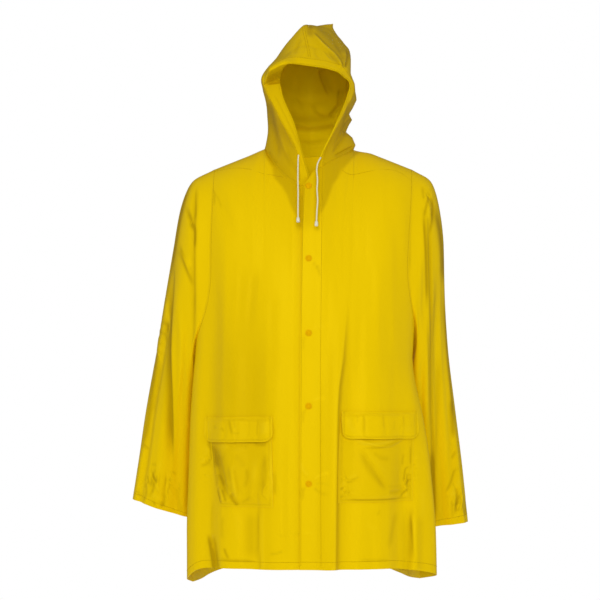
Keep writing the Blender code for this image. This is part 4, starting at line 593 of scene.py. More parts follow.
BAG_CREASES_LEFT = (
    (((0.093, -0.595), (0.149, -0.609), (0.193, -0.592)), 0.0028, 0.0045, 0.0022, 0.20, 0.20),
    (((0.099, -0.613), (0.128, -0.655), (0.156, -0.702)), 0.0050, 0.0050, -0.0020, 0.20, 0.30),
    (((0.156, -0.702), (0.178, -0.703), (0.195, -0.693)), 0.0040, 0.0040, -0.0018, 0.20, 0.20),
    (((0.060, -0.668), (0.078, -0.678), (0.100, -0.672)), 0.0026, 0.0030, 0.0014, 0.10, 0.40),
    (((0.060, -0.690), (0.076, -0.702), (0.092, -0.694)), 0.0026, 0.0026, -0.0012, 0.10, 0.40),
    (((0.062, -0.650), (0.074, -0.700), (0.070, -0.716)), 0.0030, 0.0030, 0.0010, 0.20, 0.20),
    (((0.206, -0.662), (0.198, -0.680), (0.203, -0.700)), 0.0028, 0.0028, -0.0016, 0.20, 0.20),
    (((0.190, -0.660), (0.196, -0.684), (0.188, -0.706)), 0.0028, 0.0028, 0.0014, 0.20, 0.20),
)
FLAP_CREASES_RIGHT = (
    (((-0.175, -0.553), (-0.172, -0.575), (-0.176, -0.598)), 0.0030, 0.0040, -0.0010, 0.10, 0.10),
    (((-0.160, -0.556), (-0.158, -0.576), (-0.152, -0.598)), 0.0030, 0.0030, 0.0009, 0.10, 0.10),
    (((-0.150, -0.553), (-0.149, -0.575), (-0.151, -0.598)), 0.0025, 0.0030, -0.0008, 0.10, 0.10),
    (((-0.106, -0.553), (-0.104, -0.575), (-0.108, -0.598)), 0.0040, 0.0040, -0.0009, 0.10, 0.10),
)
FLAP_CREASES_LEFT = (
    (((0.110, -0.545), (0.109, -0.565), (0.112, -0.590)), 0.0030, 0.0035, -0.0010, 0.10, 0.10),
    (((0.150, -0.545), (0.152, -0.565), (0.150, -0.590)), 0.0040, 0.0040, -0.0008, 0.10, 0.10),
    (((0.186, -0.545), (0.188, -0.565), (0.184, -0.590)), 0.0030, 0.0030, 0.0008, 0.10, 0.10),
)

# Strokes seen from the front: painted shade in hollows below 0 and painted highlight on
# ridges above, width on the left and right in steps, then their places in the view.
BAG_STROKES_SEEN = (
    (-0.9, 3, 5, (208, 443), (213, 455), (215, 472)),
    (-0.5, 5, 5, (219, 448), (221, 470), (225, 500)),
    (-0.6, 1.5, 1.5, (217, 474), (222, 482), (224, 488)),
    (-0.9, 1.3, 1.3, (216, 490), (219, 499), (221, 506)),
    (-0.8, 1.3, 1.3, (221, 490), (224, 497), (226, 504)),
    (0.6, 0.9, 0.9, (219, 488), (221, 495), (223, 503)),
    (-0.9, 1.6, 1.6, (229, 494), (233, 502), (239, 507)),
    (0.35, 2.5, 2.5, (231, 478), (234, 490), (239, 500)),
    (-0.45, 2.2, 2.2, (246, 468), (246.5, 478), (244, 490)),
    (-0.4, 2.8, 2.8, (265, 452), (265, 475), (260, 494)),
    (0.6, 1.1, 1.1, (270, 450), (270.5, 480), (270, 502)),
    (-0.7, 1.2, 1.6, (222, 443.5), (245, 443.5), (264, 443.5)),
    (-0.6, 2, 2.6, (252, 444), (262, 445), (269, 443)),
    (0.35, 3, 3, (222, 445), (227, 451)),
    (-0.35, 1.8, 1.8, (240, 504), (247, 500), (253, 496)),
    (-0.2, 3, 3, (233, 455), (240, 462), (244, 470)),
    (0.25, 3, 3, (256, 456), (255, 470), (253, 484)),
    (-0.5, 1, 1, (350, 439), (365, 440), (382, 440)),
    (0.9, 1.4, 1.6, (353, 439.5), (366, 445), (381, 444.5), (400, 438.5)),
    (-0.5, 1, 1, (362, 448.5), (376, 449), (387, 446.5), (403, 440.5)),
    (-0.8, 1.3, 1.3, (398, 438.5), (412, 438.5)),
    (-0.35, 3, 3, (358, 452), (366, 466), (376, 480), (388, 494)),
    (0.2, 2.5, 2.5, (366, 452), (376, 462), (386, 478)),
    (-0.3, 2.4, 2.4, (372, 452), (381, 459), (390, 460)),
    (-0.4, 1.4, 1.4, (404, 454), (402, 468)),
    (-0.6, 1, 1, (411.5, 447), (411.5, 468)),
    (-0.8, 1, 1, (411, 468), (406, 471), (403.5, 486)),
    (-0.8, 1.2, 1.2, (413, 481), (409, 483), (405, 489)),
    (0.5, 1.5, 1.5, (411, 471), (412, 477)),
    (-0.8, 1.2, 1.2, (411, 491), (404, 495), (399, 500)),
    (0.5, 1, 1, (410, 495), (403, 499)),
    (-0.2, 1.5, 1.5, (385, 487), (395, 488.5), (404, 488)),
    (-0.45, 1, 1, (345, 484.5), (352, 480.5), (360, 477)),
    (0.5, 1.2, 1.2, (346, 479), (358, 474.5)),
    (0.6, 0.9, 0.9, (339, 494), (342, 491), (346, 488.5)),
    (-0.5, 0.9, 0.9, (339, 490), (344, 486)),
    (-0.45, 0.9, 0.9, (339, 498), (344, 494.5)),
    (0.45, 0.9, 0.9, (340, 486), (344, 481)),
    (-0.8, 1, 1, (342, 499.5), (365, 500.5), (395, 500.5), (407, 498.5)),
    (0.35, 0.9, 0.9, (342, 497.5), (370, 498), (400, 497)),
)
FRONT_STROKES_SEEN = (
    (-0.55, 1.2, 1.2, (273.5, 468), (274, 482), (274.5, 497)),
    (-0.5, 1.5, 1.5, (198, 468), (204, 466.5), (210, 459)),
    (0.35, 2.5, 2.5, (203, 454), (208, 450)),
    (-0.8, 2, 3, (206, 440), (210, 452), (212, 466)),
    (-0.3, 1.3, 1.3, (212, 500), (211, 520), (210.5, 538)),
    (-0.45, 1.6, 2.2, (207, 534), (210, 552), (213, 575)),
    (-0.45, 2.4, 3.2, (209, 548), (212.5, 560), (213.5, 582)),
    (-0.7, 1.4, 1.4, (223, 548), (225.5, 555), (228.5, 560)),
    (-0.25, 1.8, 1.8, (222, 515), (221, 528), (221, 542)),
    (-0.5, 1.2, 1.2, (257, 508), (257.2, 535), (256.6, 562)),
    (-0.3, 5.5, 5, (250, 510), (250, 536), (250, 562)),
    (0.3, 1.2, 1.2, (261.5, 508), (260, 530), (259.5, 560)),
    (0.18, 3, 3, (234, 512), (238, 530), (236, 545)),
    (-0.3, 1.3, 1.3, (268, 554), (275, 553), (284, 550)),
    (-0.7, 1.5, 1.5, (412.5, 506), (412.2, 535), (412, 566)),
    (-0.3, 2.5, 2.5, (398, 510), (393, 530), (389, 552)),
    (0.35, 1.2, 1.2, (365, 521), (371, 528), (379, 529)),
    (-0.2, 1.5, 1.5, (376, 516), (380, 511)),
    (0.35, 2.5, 2.5, (424, 488), (424, 505), (423, 525)),
    (-0.5, 1.2, 1.2, (414, 424), (418, 430), (416, 438)),
    (-0.35, 1, 1, (357, 560), (375, 560.5), (392, 561)),
    (-0.6, 1, 1, (215, 560.5), (235, 561), (257, 561.5)),
    (-0.4, 1.2, 1.2, (210, 185), (212.4, 192), (212, 205)),
    (-0.25, 1.2, 1.2, (213, 190), (217, 198), (220, 208)),
    (0.6, 1, 1, (309, 476), (303, 470), (300, 461)),
    (0.5, 1, 1, (313, 480), (321, 474), (329, 472)),
    (-0.15, 1, 1, (313, 484), (321, 483), (329, 485)),
    (-0.3, 1, 1, (305, 487), (302.5, 493), (302.5, 501)),
    (0.4, 1, 1, (312, 402), (319, 398), (326, 398)),
    (-0.22, 1, 1, (305, 409), (303, 415), (302.5, 425)),
    (0.35, 1, 1, (312, 329), (319, 326), (327, 327)),
    (-0.2, 1, 1, (305, 336), (303, 343), (302.5, 352)),
    (-0.35, 1, 1, (312, 262), (318, 268), (320, 277)),
)
FLAP_STROKES_SEEN = (
    (-0.6, 1.5, 1.5, (228, 419), (230, 428), (233, 436)),
    (-0.35, 1, 1, (233, 419), (235, 430)),
    (-0.45, 1, 1, (221, 428), (224, 433)),
    (-0.3, 1.8, 1.8, (213, 426), (216, 431)),
    (-0.5, 0.9, 0.9, (257.4, 419), (257.2, 438)),
    (0.4, 2.5, 2.5, (208, 420), (207, 428), (209, 436)),
    (0.5, 3.5, 3.5, (262, 421), (264, 428), (263, 436)),
    (-0.3, 0.8, 0.8, (232, 434), (240, 434)),
    (-0.2, 1.2, 1.2, (248, 419), (249, 430), (247, 440)),
    (-0.4, 1, 1, (363.5, 414), (364.5, 424), (364, 434)),
    (-0.2, 1.2, 1.2, (358, 414), (357, 424)),
    (-0.25, 1, 1, (383, 414), (383, 430)),
    (0.4, 3, 3, (348, 416), (350, 426), (356, 434)),
    (-0.2, 1.2, 1.2, (395, 420), (393, 432)),
    (-0.22, 1.2, 1.2, (404, 416), (402, 430)),
    (0.35, 2, 2, (405, 434), (411, 428)),
)
SLEEVE_STROKES_SEEN = (
    (-0.9, 1.8, 2.4, (194, 174), (186, 190), (179, 215), (174, 245), (168, 280)),
    (-1, 4, 1.3, (171, 275), (169.5, 310), (169.5, 350), (171.2, 400), (172, 440), (174, 465)),
    (0.6, 1.2, 1.2, (166, 297), (164, 312), (166, 325), (164, 342)),
    (-0.7, 1.2, 1.2, (159, 321), (164, 325), (163, 335)),
    (-0.5, 1.2, 1.2, (158, 331), (162, 335), (163, 343)),
    (-0.8, 1.8, 1.8, (156, 338), (155, 356), (150, 395), (146, 425), (140, 459)),
    (-0.3, 1.5, 1.5, (158, 358), (155, 385), (150, 418)),
    (-0.55, 1.3, 1.3, (195.5, 184), (195.5, 205), (195, 224)),
    (-0.4, 1.3, 1.3, (188, 212), (192, 222)),
    (-0.8, 1.4, 1.4, (186, 224), (192, 224.5), (195, 232), (194.8, 250)),
    (-0.75, 1.5, 1.5, (179, 242), (182, 255), (188, 272), (194.5, 288)),
    (0.3, 2, 2, (187, 258), (190, 267)),
    (-0.35, 1.5, 1.5, (194.6, 288), (194.6, 320), (194.2, 352)),
    (-0.25, 1.5, 1.5, (190, 354), (189.5, 400), (188.5, 440)),
    (-0.7, 2, 2, (187.5, 460), (187, 490), (186.5, 514)),
    (-0.4, 1.2, 1.2, (151, 464), (158, 464.5)),
    (-0.45, 1.3, 1.3, (157.5, 465), (153, 478), (150, 489)),
    (-0.5, 1.3, 1.3, (147, 474), (150, 485)),
    (-0.4, 3.5, 3.5, (155, 474), (158, 485)),
    (0.55, 1.2, 1.2, (169, 469), (168, 482), (165.5, 497)),
    (-0.45, 1.2, 1.2, (171, 474), (169.5, 485), (167.5, 496)),
    (0.4, 1.3, 1.3, (150, 493), (158, 496), (165, 501)),
    (-0.5, 1.2, 1.2, (154, 499), (156, 505)),
    (-0.45, 1.2, 1.2, (163, 499), (161, 507)),
    (-0.4, 1.2, 1.2, (136, 490), (140, 497)),
    (-0.4, 1.3, 1.3, (172, 471), (177, 473.5)),
    (-0.5, 1.2, 1.2, (142, 445), (147, 450)),
    (0.45, 1.4, 1.4, (157, 471), (163, 460)),
    (-0.35, 1.3, 1.3, (410, 190), (409, 215), (409, 280)),
    (-0.8, 1.2, 2.4, (408.5, 285), (405.8, 305), (405, 324), (408, 345)),
    (-0.4, 1.2, 1.2, (408, 345), (411, 365), (415, 385)),
    (-1, 1.3, 2.2, (423.5, 204), (424, 225), (425.5, 250), (426, 285), (426.6, 312)),
    (-0.5, 1.2, 1.2, (423, 185), (424, 200)),
    (-0.5, 1.2, 1.2, (426.8, 312), (428, 350), (430, 400), (430.5, 440)),
    (-1, 1.5, 3, (431.5, 448), (433, 480), (435, 526)),
    (-0.7, 1.3, 1.3, (430, 194), (427, 205), (424, 218)),
    (-0.7, 1.3, 1.3, (432.5, 194), (433.5, 210), (431.5, 225), (429, 236)),
    (0.4, 1.2, 1.2, (429, 204), (428, 219)),
    (-1, 2.8, 2.4, (435, 202), (440.5, 232), (443, 262), (443.5, 288)),
    (-0.8, 1.8, 1.8, (443.5, 288), (445.6, 320), (449, 362), (454, 410), (456, 432)),
    (-0.7, 2, 2, (452, 398), (454, 425), (454.5, 442)),
    (-0.35, 2.3, 2.3, (441, 348), (440, 400), (437, 452), (435, 482)),
    (0.25, 2.3, 2.3, (446, 380), (447, 430), (446, 470)),
    (-0.5, 1.3, 1.3, (457, 452), (453, 461)),
    (-0.55, 1.4, 1.4, (459, 467), (455.5, 472), (452, 482), (446, 495)),
    (0.4, 2, 2, (462, 478), (455, 490), (449, 497)),
    (-0.5, 1.4, 1.4, (463, 491), (458.5, 502), (456, 511)),
    (-0.4, 1.2, 1.2, (456, 512), (462, 508.5)),
    (-0.4, 1.2, 1.2, (453, 499), (453, 520)),
    (-0.7, 1.3, 1.3, (467, 498), (467.3, 518)),
)


# ---------------------------------------------------------------- from the view to metres

def laid(spot, y):
    """x and z, to the millimetre, of a place in the camera's view at depth y."""
    step = VIEW_STEP * (1 - y / CAMERA_PLACE[1])
    return (round((spot[0] - VIEW_ZERO[0]) * step, 3),
            round((VIEW_ZERO[1] - spot[1]) * step + CAMERA_PLACE[2], 3))


def laid_creases(seen, y):
    """Creases in metres from their places in the view."""
    made = []
    for spots, left, right, raised, fade_in, fade_out, *own_y in seen:
        depth = own_y[0] if own_y else y
        sizes = [round(size / 1000, 4) for size in (left, right, raised)]
        made.append(([laid(spot, depth) for spot in spots], *sizes, fade_in, fade_out))
    return made


def laid_strokes(seen, y, least):
    """Strokes in metres: shade, width left and right, places. y may go by step down."""
    by_height = isinstance(y, tuple)
    step = VIEW_STEP * 1000 * (1 if by_height else 1 - y / CAMERA_PLACE[1])
    made = []
    for tone, left, right, *spots in seen:
        if len(spots) == 2:
            (x0, z0), (x1, z1) = spots
            spots = [spots[0], ((x0 + x1) / 2, (z0 + z1) / 2), spots[1]]
        depths = [float(np.interp(spot[1], *y)) if by_height else y for spot in spots]
        sizes = [round(max(size * step, least), 1) / 1000 for size in (left, right)]
        made.append((tone, *sizes, [laid(*place) for place in zip(spots, depths)]))
    return made


FRONT_CREASES = laid_creases(FRONT_CREASES_SEEN, FRONT_CREASE_Y)
SLEEVE_CREASES_RIGHT = laid_creases(SLEEVE_CREASES_RIGHT_SEEN, SLEEVE_CREASE_RIGHT_Y)
SLEEVE_CREASES_LEFT = laid_creases(SLEEVE_CREASES_LEFT_SEEN, SLEEVE_CREASE_LEFT_Y)
HOOD_FRONT_CREASES = laid_creases(HOOD_FRONT_CREASES_SEEN, HOOD_FRONT_CREASE_Y)
HOOD_BACK_CREASES = laid_creases(HOOD_BACK_CREASES_SEEN, HOOD_BACK_CREASE_Y)
BAG_STROKES = laid_strokes(BAG_STROKES_SEEN, POCKET_STROKE_Y, BAG_STROKE_LEAST)
FRONT_STROKES = laid_strokes(FRONT_STROKES_SEEN, FRONT_STROKE_Y, FRONT_STROKE_LEAST)
FLAP_STROKES = laid_strokes(FLAP_STROKES_SEEN, POCKET_STROKE_Y, FLAP_STROKE_LEAST)
SLEEVE_STROKES = laid_strokes(SLEEVE_STROKES_SEEN, SLEEVE_STROKE_Y, SLEEVE_STROKE_LEAST)


# ---------------------------------------------------------------- curves

def column(table, columns, name):
    """One named column of a table."""
    return np.array([row[columns.index(name)] for row in table], float)


def smooth(xs, ys, at):
    """Smooth curve through the values ys at xs, with no overshoot between them."""
    xs = np.asarray(xs, float)
    ys = np.asarray(ys, float)
    step = np.diff(xs)
    slope = np.diff(ys) / step
    tangent = np.zeros_like(ys)
    tangent[0] = slope[0]
    tangent[-1] = slope[-1]
    for i in range(1, len(ys) - 1):
        if slope[i - 1] * slope[i] > 0:
            w1 = 2 * step[i] + step[i - 1]
            w2 = step[i] + 2 * step[i - 1]
            tangent[i] = (w1 + w2) / (w1 / slope[i - 1] + w2 / slope[i])
    at = np.clip(np.asarray(at, float), xs[0], xs[-1])
    i = np.clip(np.searchsorted(xs, at, side="right") - 1, 0, len(step) - 1)
    t = (at - xs[i]) / step[i]
    return (ys[i] * (1 + 2 * t) * (1 - t) ** 2 + step[i] * tangent[i] * t * (1 - t) ** 2
            + ys[i + 1] * t * t * (3 - 2 * t) + step[i] * tangent[i + 1] * t * t * (t - 1))


def from_table(table, columns, name, key, at):
    """Smooth value of a named column at a place along the key column."""
    xs = column(table, columns, key)
    ys = column(table, columns, name)
    order = np.argsort(xs)
    return smooth(xs[order], ys[order], at)


def ease(low, high, value):
    """0 below low, 1 above high, smooth between."""
    t = np.clip((np.asarray(value, float) - low) / (high - low), 0.0, 1.0)
    return t * t * (3 - 2 * t)


def quarter(power, count=600):
    """Quarter of a rounded square by its share of length: share, sideways, forwards."""
    angle = np.linspace(0.0, math.pi / 2, count)
    sideways = np.sin(angle) ** (2 / power)
    forwards = np.cos(angle).clip(0) ** (2 / power)
    run = np.concatenate(([0.0], np.cumsum(np.hypot(np.diff(sideways), np.diff(forwards)))))
    return run / run[-1], sideways, forwards


QUARTER_SHARE, QUARTER_SIDE, QUARTER_FORE = quarter(RING_POWER)


def sideways(across):
    """Share of the half width reached at `across`, with its sign."""
    return np.sign(across) * np.interp(np.abs(across), QUARTER_SHARE, QUARTER_SIDE)


def forwards(across):
    """Share of the depth reached at `across`."""
    return np.interp(np.abs(across), QUARTER_SHARE, QUARTER_FORE)


def across_of(share):
    """`across` at which the ring reaches this share of its half width."""
    return np.sign(share) * np.interp(np.abs(share), QUARTER_SIDE, QUARTER_SHARE)


def by_side(across, right, left):
    """Pick the right side's value where across is negative."""
    return np.where(np.asarray(across) < 0, right, left)


# ---------------------------------------------------------------- hood surface

CENTRE_BACK = HOOD_LINES.index("centre_back")
TOP_ROW = len(HOOD_RIGHT) - 1
LAST_ROW = 2 * TOP_ROW


def hood_node(line, row):
    """Net point of the hood. Rows 0-7 climb the right side, 7-14 go down the left."""
    if line > CENTRE_BACK:
        return hood_node(2 * CENTRE_BACK - line, LAST_ROW - row)
    if line < 0:
        return 2 * hood_node(0, row) - hood_node(1, row)
    if row < 0:
        return 2 * hood_node(line, 0) - hood_node(line, 1)
    if row > LAST_ROW:
        return 2 * hood_node(line, LAST_ROW) - hood_node(line, LAST_ROW - 1)
    if row <= TOP_ROW:
        return np.array(HOOD_RIGHT[row][line])
    return np.array(HOOD_LEFT[LAST_ROW - row][line])


HOOD_NET = np.array([[hood_node(line, row) for row in range(-1, LAST_ROW + 2)]
                     for line in range(-1, CENTRE_BACK + 3)])


def through(before, start, end, after, t, pull=1.0):
    """Curve from start to end, smooth with its neighbours at any spacing."""
    t = t[..., None]

    def velocity(a, b, c):
        ab = np.linalg.norm(b - a, axis=-1, keepdims=True) + 1e-9
        bc = np.linalg.norm(c - b, axis=-1, keepdims=True) + 1e-9
        return ((b - a) / ab * bc + (c - b) / bc * ab) / (ab + bc)
    size = np.linalg.norm(end - start, axis=-1, keepdims=True) * pull
    leave = velocity(before, start, end) * size
    arrive = velocity(start, end, after) * size
    return (start * (1 + 2 * t) * (1 - t) ** 2 + leave * t * (1 - t) ** 2
            + end * t * t * (3 - 2 * t) + arrive * t * t * (t - 1))


def hood_surface(line, row):
    """Point of the hood at fractional net places; arrays of one shape."""
    line = np.asarray(line, float)
    row = np.asarray(row, float)
    i = np.clip(np.floor(line).astype(int), 0, CENTRE_BACK)
    j = np.clip(np.floor(row).astype(int), 0, LAST_ROW - 1)
    u = line - i
    v = row - j
    strands = [through(*[HOOD_NET[i + a, j + b] for b in range(4)], v) for a in range(4)]
    return through(*strands, u, pull=LINE_PULL)


def hood_base(side, line):
    """The hood's lower edge, which is the coat's neckline, on one side."""
    row = np.full(np.shape(line), 0.0 if side < 0 else float(LAST_ROW))
    return hood_surface(line, row)


def widest_line(side):
    """Net place at which the neckline is widest, where the shoulder ridge starts."""
    samples = np.linspace(1.5, 2.6, 221)
    return float(samples[np.argmax(hood_base(side, samples)[:, 0] * side)])


WIDEST = {side: widest_line(side) for side in (-1, 1)}


def neckline(side, half, reach):
    """Neckline point whose distance from the centre is reach (an array)."""
    end = 0.0 if half == "front" else float(CENTRE_BACK)
    samples = np.linspace(end, WIDEST[side], 161)
    distance = np.maximum.accumulate(hood_base(side, samples)[:, 0] * side)
    line = np.interp(reach, distance, samples)
    return hood_base(side, line)


NECK_POINT = {side: hood_base(side, np.array([WIDEST[side]]))[0] for side in (-1, 1)}
NECK_HALF = {side: abs(float(NECK_POINT[side][0])) for side in (-1, 1)}
NECK_AT = {side: float(across_of(NECK_HALF[side] / SHOULDER_REACH[side])) for side in (-1, 1)}
TIP_AT = {side: float(across_of(SHOULDER_TIP_X[side] / SHOULDER_REACH[side])) for side in (-1, 1)}


def line_at(side, reach):
    """Net place at which the front neckline is this far from the centre."""
    samples = np.linspace(0.0, WIDEST[side], 241)
    distance = np.maximum.accumulate(hood_base(side, samples)[:, 0] * side)
    return float(np.interp(reach, distance, samples))


def collar_lines(side):
    """Net places of the joints between hood and coat from the seam's start back."""
    front = np.linspace(line_at(side, SEAM_STARTS_AT[side]), WIDEST[side], COLLAR_STEPS + 1)
    return np.concatenate((front, np.linspace(WIDEST[side], CENTRE_BACK, NAPE_STEPS + 1)[1:]))


def neck_across(side, lines):
    """`across`, without its sign, of the coat's columns at these net places."""
    reach = hood_base(side, np.asarray(lines))[:, 0] * side
    return across_of(reach / SHOULDER_REACH[side])


# ---------------------------------------------------------------- torso surface

def torso_value(name, z):
    """A named size of the coat's rings at height z."""
    return from_table(TORSO_LEVELS, TORSO_COLUMNS, name, "z", z)


def ring_point(half, across, z):
    """Point of the coat's ring at height z, before folds."""
    side_share = sideways(across)
    fore_share = forwards(across)
    base = by_side(across, torso_value("half_right", z), torso_value("half_left", z))
    reach = by_side(across, torso_value("front_right", z), torso_value("front_left", z))
    corner_base = base * sideways(FRONT_CORNER_AT)
    from_corner = np.abs(across) - FRONT_CORNER_AT
    if half == "back":
        from_corner = 2.0 - np.abs(across) - FRONT_CORNER_AT
    bump = np.exp(-(from_corner / FRONT_CORNER_SPREAD) ** 2)
    x = base * side_share + np.sign(across) * (reach - corner_base) * bump
    side_y = torso_value("side_y", z)
    end_y = torso_value("front_y" if half == "front" else "back_y", z)
    y = side_y + (end_y - side_y) * fore_share
    return x, y


def top_point(panel_side, half, across):
    """Where a column of the torso ends: on the neckline or on the shoulder ridge."""
    across = np.asarray(across, float)
    out = np.zeros(across.shape + (3,))
    for side in (-1, 1):
        mine = (across < 0) if side < 0 else (across >= 0)
        reach = SHOULDER_REACH[side] * sideways(np.abs(across))
        ridge = np.stack([side * reach, np.full_like(reach, RIDGE_Y),
                          SHOULDER_LIFT[side] - SHOULDER_SLOPE * (reach - 0.10)], -1)
        start = ease(NECK_HALF[side], NECK_HALF[side] + 0.04, reach)[..., None]
        ridge = ridge * start + (1 - start) * np.stack(
            [side * reach, np.full_like(reach, NECK_POINT[side][1]),
             NECK_POINT[side][2] - SHOULDER_SLOPE * (reach - NECK_HALF[side])], -1)
        neck = neckline(side, half, reach)
        at_neck = (reach < NECK_HALF[side])[..., None]
        point = np.where(at_neck, neck, ridge)
        out = np.where(mine[..., None], point, out)
    if half == "front":
        edge = hood_base(panel_side, np.array([0.0]))[0]
        share = SHOULDER_REACH[panel_side] * sideways(across)
        own = neckline(panel_side, half, share * panel_side)
        near = np.abs(share) < NECK_HALF[panel_side] / 2
        out = np.where(near[..., None], own, out)
        past = (share - edge[0]) * panel_side < 0
        fall = CORNER_SLOPE if panel_side > 0 else 0.0
        forward = CORNER_FORWARD if panel_side > 0 else 0.0
        beyond = np.stack([share, edge[1] - forward * np.abs(share - edge[0]),
                           edge[2] - fall * np.abs(share - edge[0])], -1)
        out = np.where(past[..., None], beyond, out)
    return out


def dome_power(across):
    """Squareness of the dome over this column."""
    neck_at = by_side(across, NECK_AT[-1], NECK_AT[1])
    off = (np.abs(across) - neck_at) / NECK_DOME_SPREAD
    return DOME_POWER + (NECK_DOME_POWER - DOME_POWER) * np.exp(-off ** 2)


def rise_share(turn, power):
    """Share of the dome's height reached at `turn`, 0 to 1."""
    angle = math.pi / 2 * np.clip(turn, 0, 1) ** TURN_POWER
    return np.sin(angle) ** (2 / power)


def turn_of(share, power):
    """The `turn` at which the dome has reached this share of its height."""
    angle = np.arcsin(np.clip(share, 0, 1) ** (power / 2))
    return (angle / (math.pi / 2)) ** (1 / TURN_POWER)


def torso_base(panel_side, half, across, level):
    """Torso point before folds. panel_side says which front panel it is on."""
    across = np.asarray(across, float)
    level = np.asarray(level, float)
    name = half + "_right"
    hem = np.where(across < 0,
                   from_table(HEM_LINE, HEM_COLUMNS, name, "across", np.abs(across)),
                   from_table(HEM_LINE, HEM_COLUMNS, half + "_left", "across", np.abs(across)))
    z = hem + (CHEST_LINE_Z - hem) * np.clip(level, 0, 1)
    x, y = ring_point(half, across, z)
    ring = np.stack([x, y, z], -1)
    turn = np.clip(level - 1, 0, 1)
    top = top_point(panel_side, half, across)
    power = dome_power(across)
    rise = rise_share(turn, power)
    lean_dome = np.cos(math.pi / 2 * turn ** TURN_POWER).clip(0) ** (2 / power)
    lean_neck = 1 - rise ** NECK_RISE_POWER
    neck_at = by_side(across, NECK_AT[-1], NECK_AT[1])
    at_neck = 1 - ease(*NECK_BLEND, np.abs(across) / neck_at)
    lean = at_neck * lean_neck + (1 - at_neck) * lean_dome
    dome = np.stack([x + (top[..., 0] - x) * rise,
                     top[..., 1] + (y - top[..., 1]) * lean,
                     z + (top[..., 2] - z) * rise], -1)
    return np.where((level > 1)[..., None], dome, ring)


def soft_base(panel_side, half, across, level):
    """Torso point with the corner below the neck point rounded off."""
    across, level = np.broadcast_arrays(across, level)
    point = torso_base(panel_side, half, across, level)
    off = np.abs(np.abs(across) - by_side(across, NECK_AT[-1], NECK_AT[1]))
    reach = (NECK_SOFT * ease(1.0, 1.2, level) * (1 - ease(1.55, 1.99, level))
             * (1 - ease(0.5, 1.6, off / NECK_SOFT)))
    near = reach > 1e-5
    if near.any():
        a, b, r = across[near], level[near], reach[near]
        point[near] = sum(share * torso_base(panel_side, half, a + step * r, b)
                          for step, share in ((-1, 0.12), (-0.5, 0.23), (0, 0.30),
                                              (0.5, 0.23), (1, 0.12)))
    return point


def surface_normal(surface, a, b, step_a=1e-3, step_b=1e-3):
    """Unit normal of a surface of two numbers, by small steps either way."""
    da = surface(a + step_a, b) - surface(a - step_a, b)
    db = surface(a, b + step_b) - surface(a, b - step_b)
    normal = np.cross(da, db)
    return normal / np.maximum(np.linalg.norm(normal, axis=-1, keepdims=True), 1e-12)


def fold_height(folds, x, z):
    """Sum of the folds at x and z, in metres outwards."""
    total = np.zeros(np.broadcast(x, z).shape)
    for row in folds:
        fold = dict(zip(FOLD_COLUMNS, row))
        along = (z - fold["z_top"]) / (fold["z_bottom"] - fold["z_top"])
        centre = fold["x_top"] + (fold["x_bottom"] - fold["x_top"]) * along
        off = np.clip(np.abs(x - centre) / fold["half_width"], 0, 1)
        profile = np.cos(math.pi / 2 * off) ** 2
        total = total + fold["raise"] * profile * ease(0.0, FOLD_STARTS_OVER, along)
    return total


def overlap_shift(panel_side, x):
    """Keeps the two fronts apart where they overlap: left out, right in."""
    apart = (HEM_WALL + OVERLAP_ROOM) / 2
    near = 1 - ease(OVERLAP_HALF + 0.002, OVERLAP_HALF + 0.018, np.abs(x))
    return panel_side * apart * near


def torso_surface(panel_side, half, across, level, out=0.0):
    """Outer face of the torso with its folds, moved outwards by `out`."""
    def base(a, b):
        return soft_base(panel_side, half, a, b)
    across = np.asarray(across, float)
    level = np.asarray(level, float)
    inside = np.clip(level, 1e-3, 2 - 2e-3)
    point = base(across, level)
    normal = surface_normal(base, across, inside)
    normal = normal * (1 if half == "front" else -1)
    folds = FRONT_FOLDS if half == "front" else BACK_FOLDS
    lift = fold_height(folds, point[..., 0], point[..., 2])
    places = np.stack([point[..., 0], point[..., 2]], -1)
    creases = FRONT_CREASES if half == "front" else BACK_CREASES
    lift = lift + crease_height(creases, places)[0]
    if half == "front":
        lift = (lift + crumpled(FRONT_PINCHES, places)[0]
                + strokes(FRONT_STROKES, places)[0])
    quiet = 1 - ease(1.75, 1.97, level)
    wide = FRONT_RIPPLE if half == "front" else BACK_RIPPLE
    lift = lift + ripple(11 if half == "front" else 21, point[..., 0], point[..., 2],
                         0.024, 0.16, wide) * quiet
    if half == "front":
        lift = lift + overlap_shift(panel_side, point[..., 0])
    return point + normal * (lift + out)[..., None], normal


# ---------------------------------------------------------------- armhole

def armhole_across(side, level):
    """`across` of the panel's outer edge: side seam below, armhole above."""
    start = UNDERARM_LEVEL[side]
    share = np.clip((np.asarray(level, float) - start) / ARMHOLE_TURN, 0, 1)
    return 1.0 - (1.0 - TIP_AT[side]) * np.sqrt(1 - (1 - share) ** 2)


def seam_level(side, across, raised=0.0):
    """Level of the forward shoulder seam on a column of the front, or above it."""
    across = np.asarray(across, float)
    reach = SHOULDER_REACH[side] * sideways(np.abs(across))
    name = "right" if side < 0 else "left"
    height = from_table(SHOULDER_SEAM, SEAM_COLUMNS, name, "x", reach) + raised
    top = top_point(side, "front", across)
    share = (height - CHEST_LINE_Z) / (top[..., 2] - CHEST_LINE_Z)
    blend = ease(0.0, 0.02, reach - SEAM_STARTS_AT[side])
    turn = turn_of(np.clip(share, 0, 0.999), dome_power(across))
    turn = 1.0 + (turn - 1.0) * blend
    return 1.0 + np.where(reach <= SEAM_STARTS_AT[side], 1.0, turn)


def shoulder_columns(side):
    """`across` of the columns that end on the ridge, from neck point to tip."""
    return np.linspace(NECK_AT[side], TIP_AT[side], SHOULDER_STEPS + 1)


def collar_columns(side):
    """`across` of the columns that end on the neckline beside the yoke strip."""
    return neck_across(side, collar_lines(side)[:COLLAR_STEPS + 1])


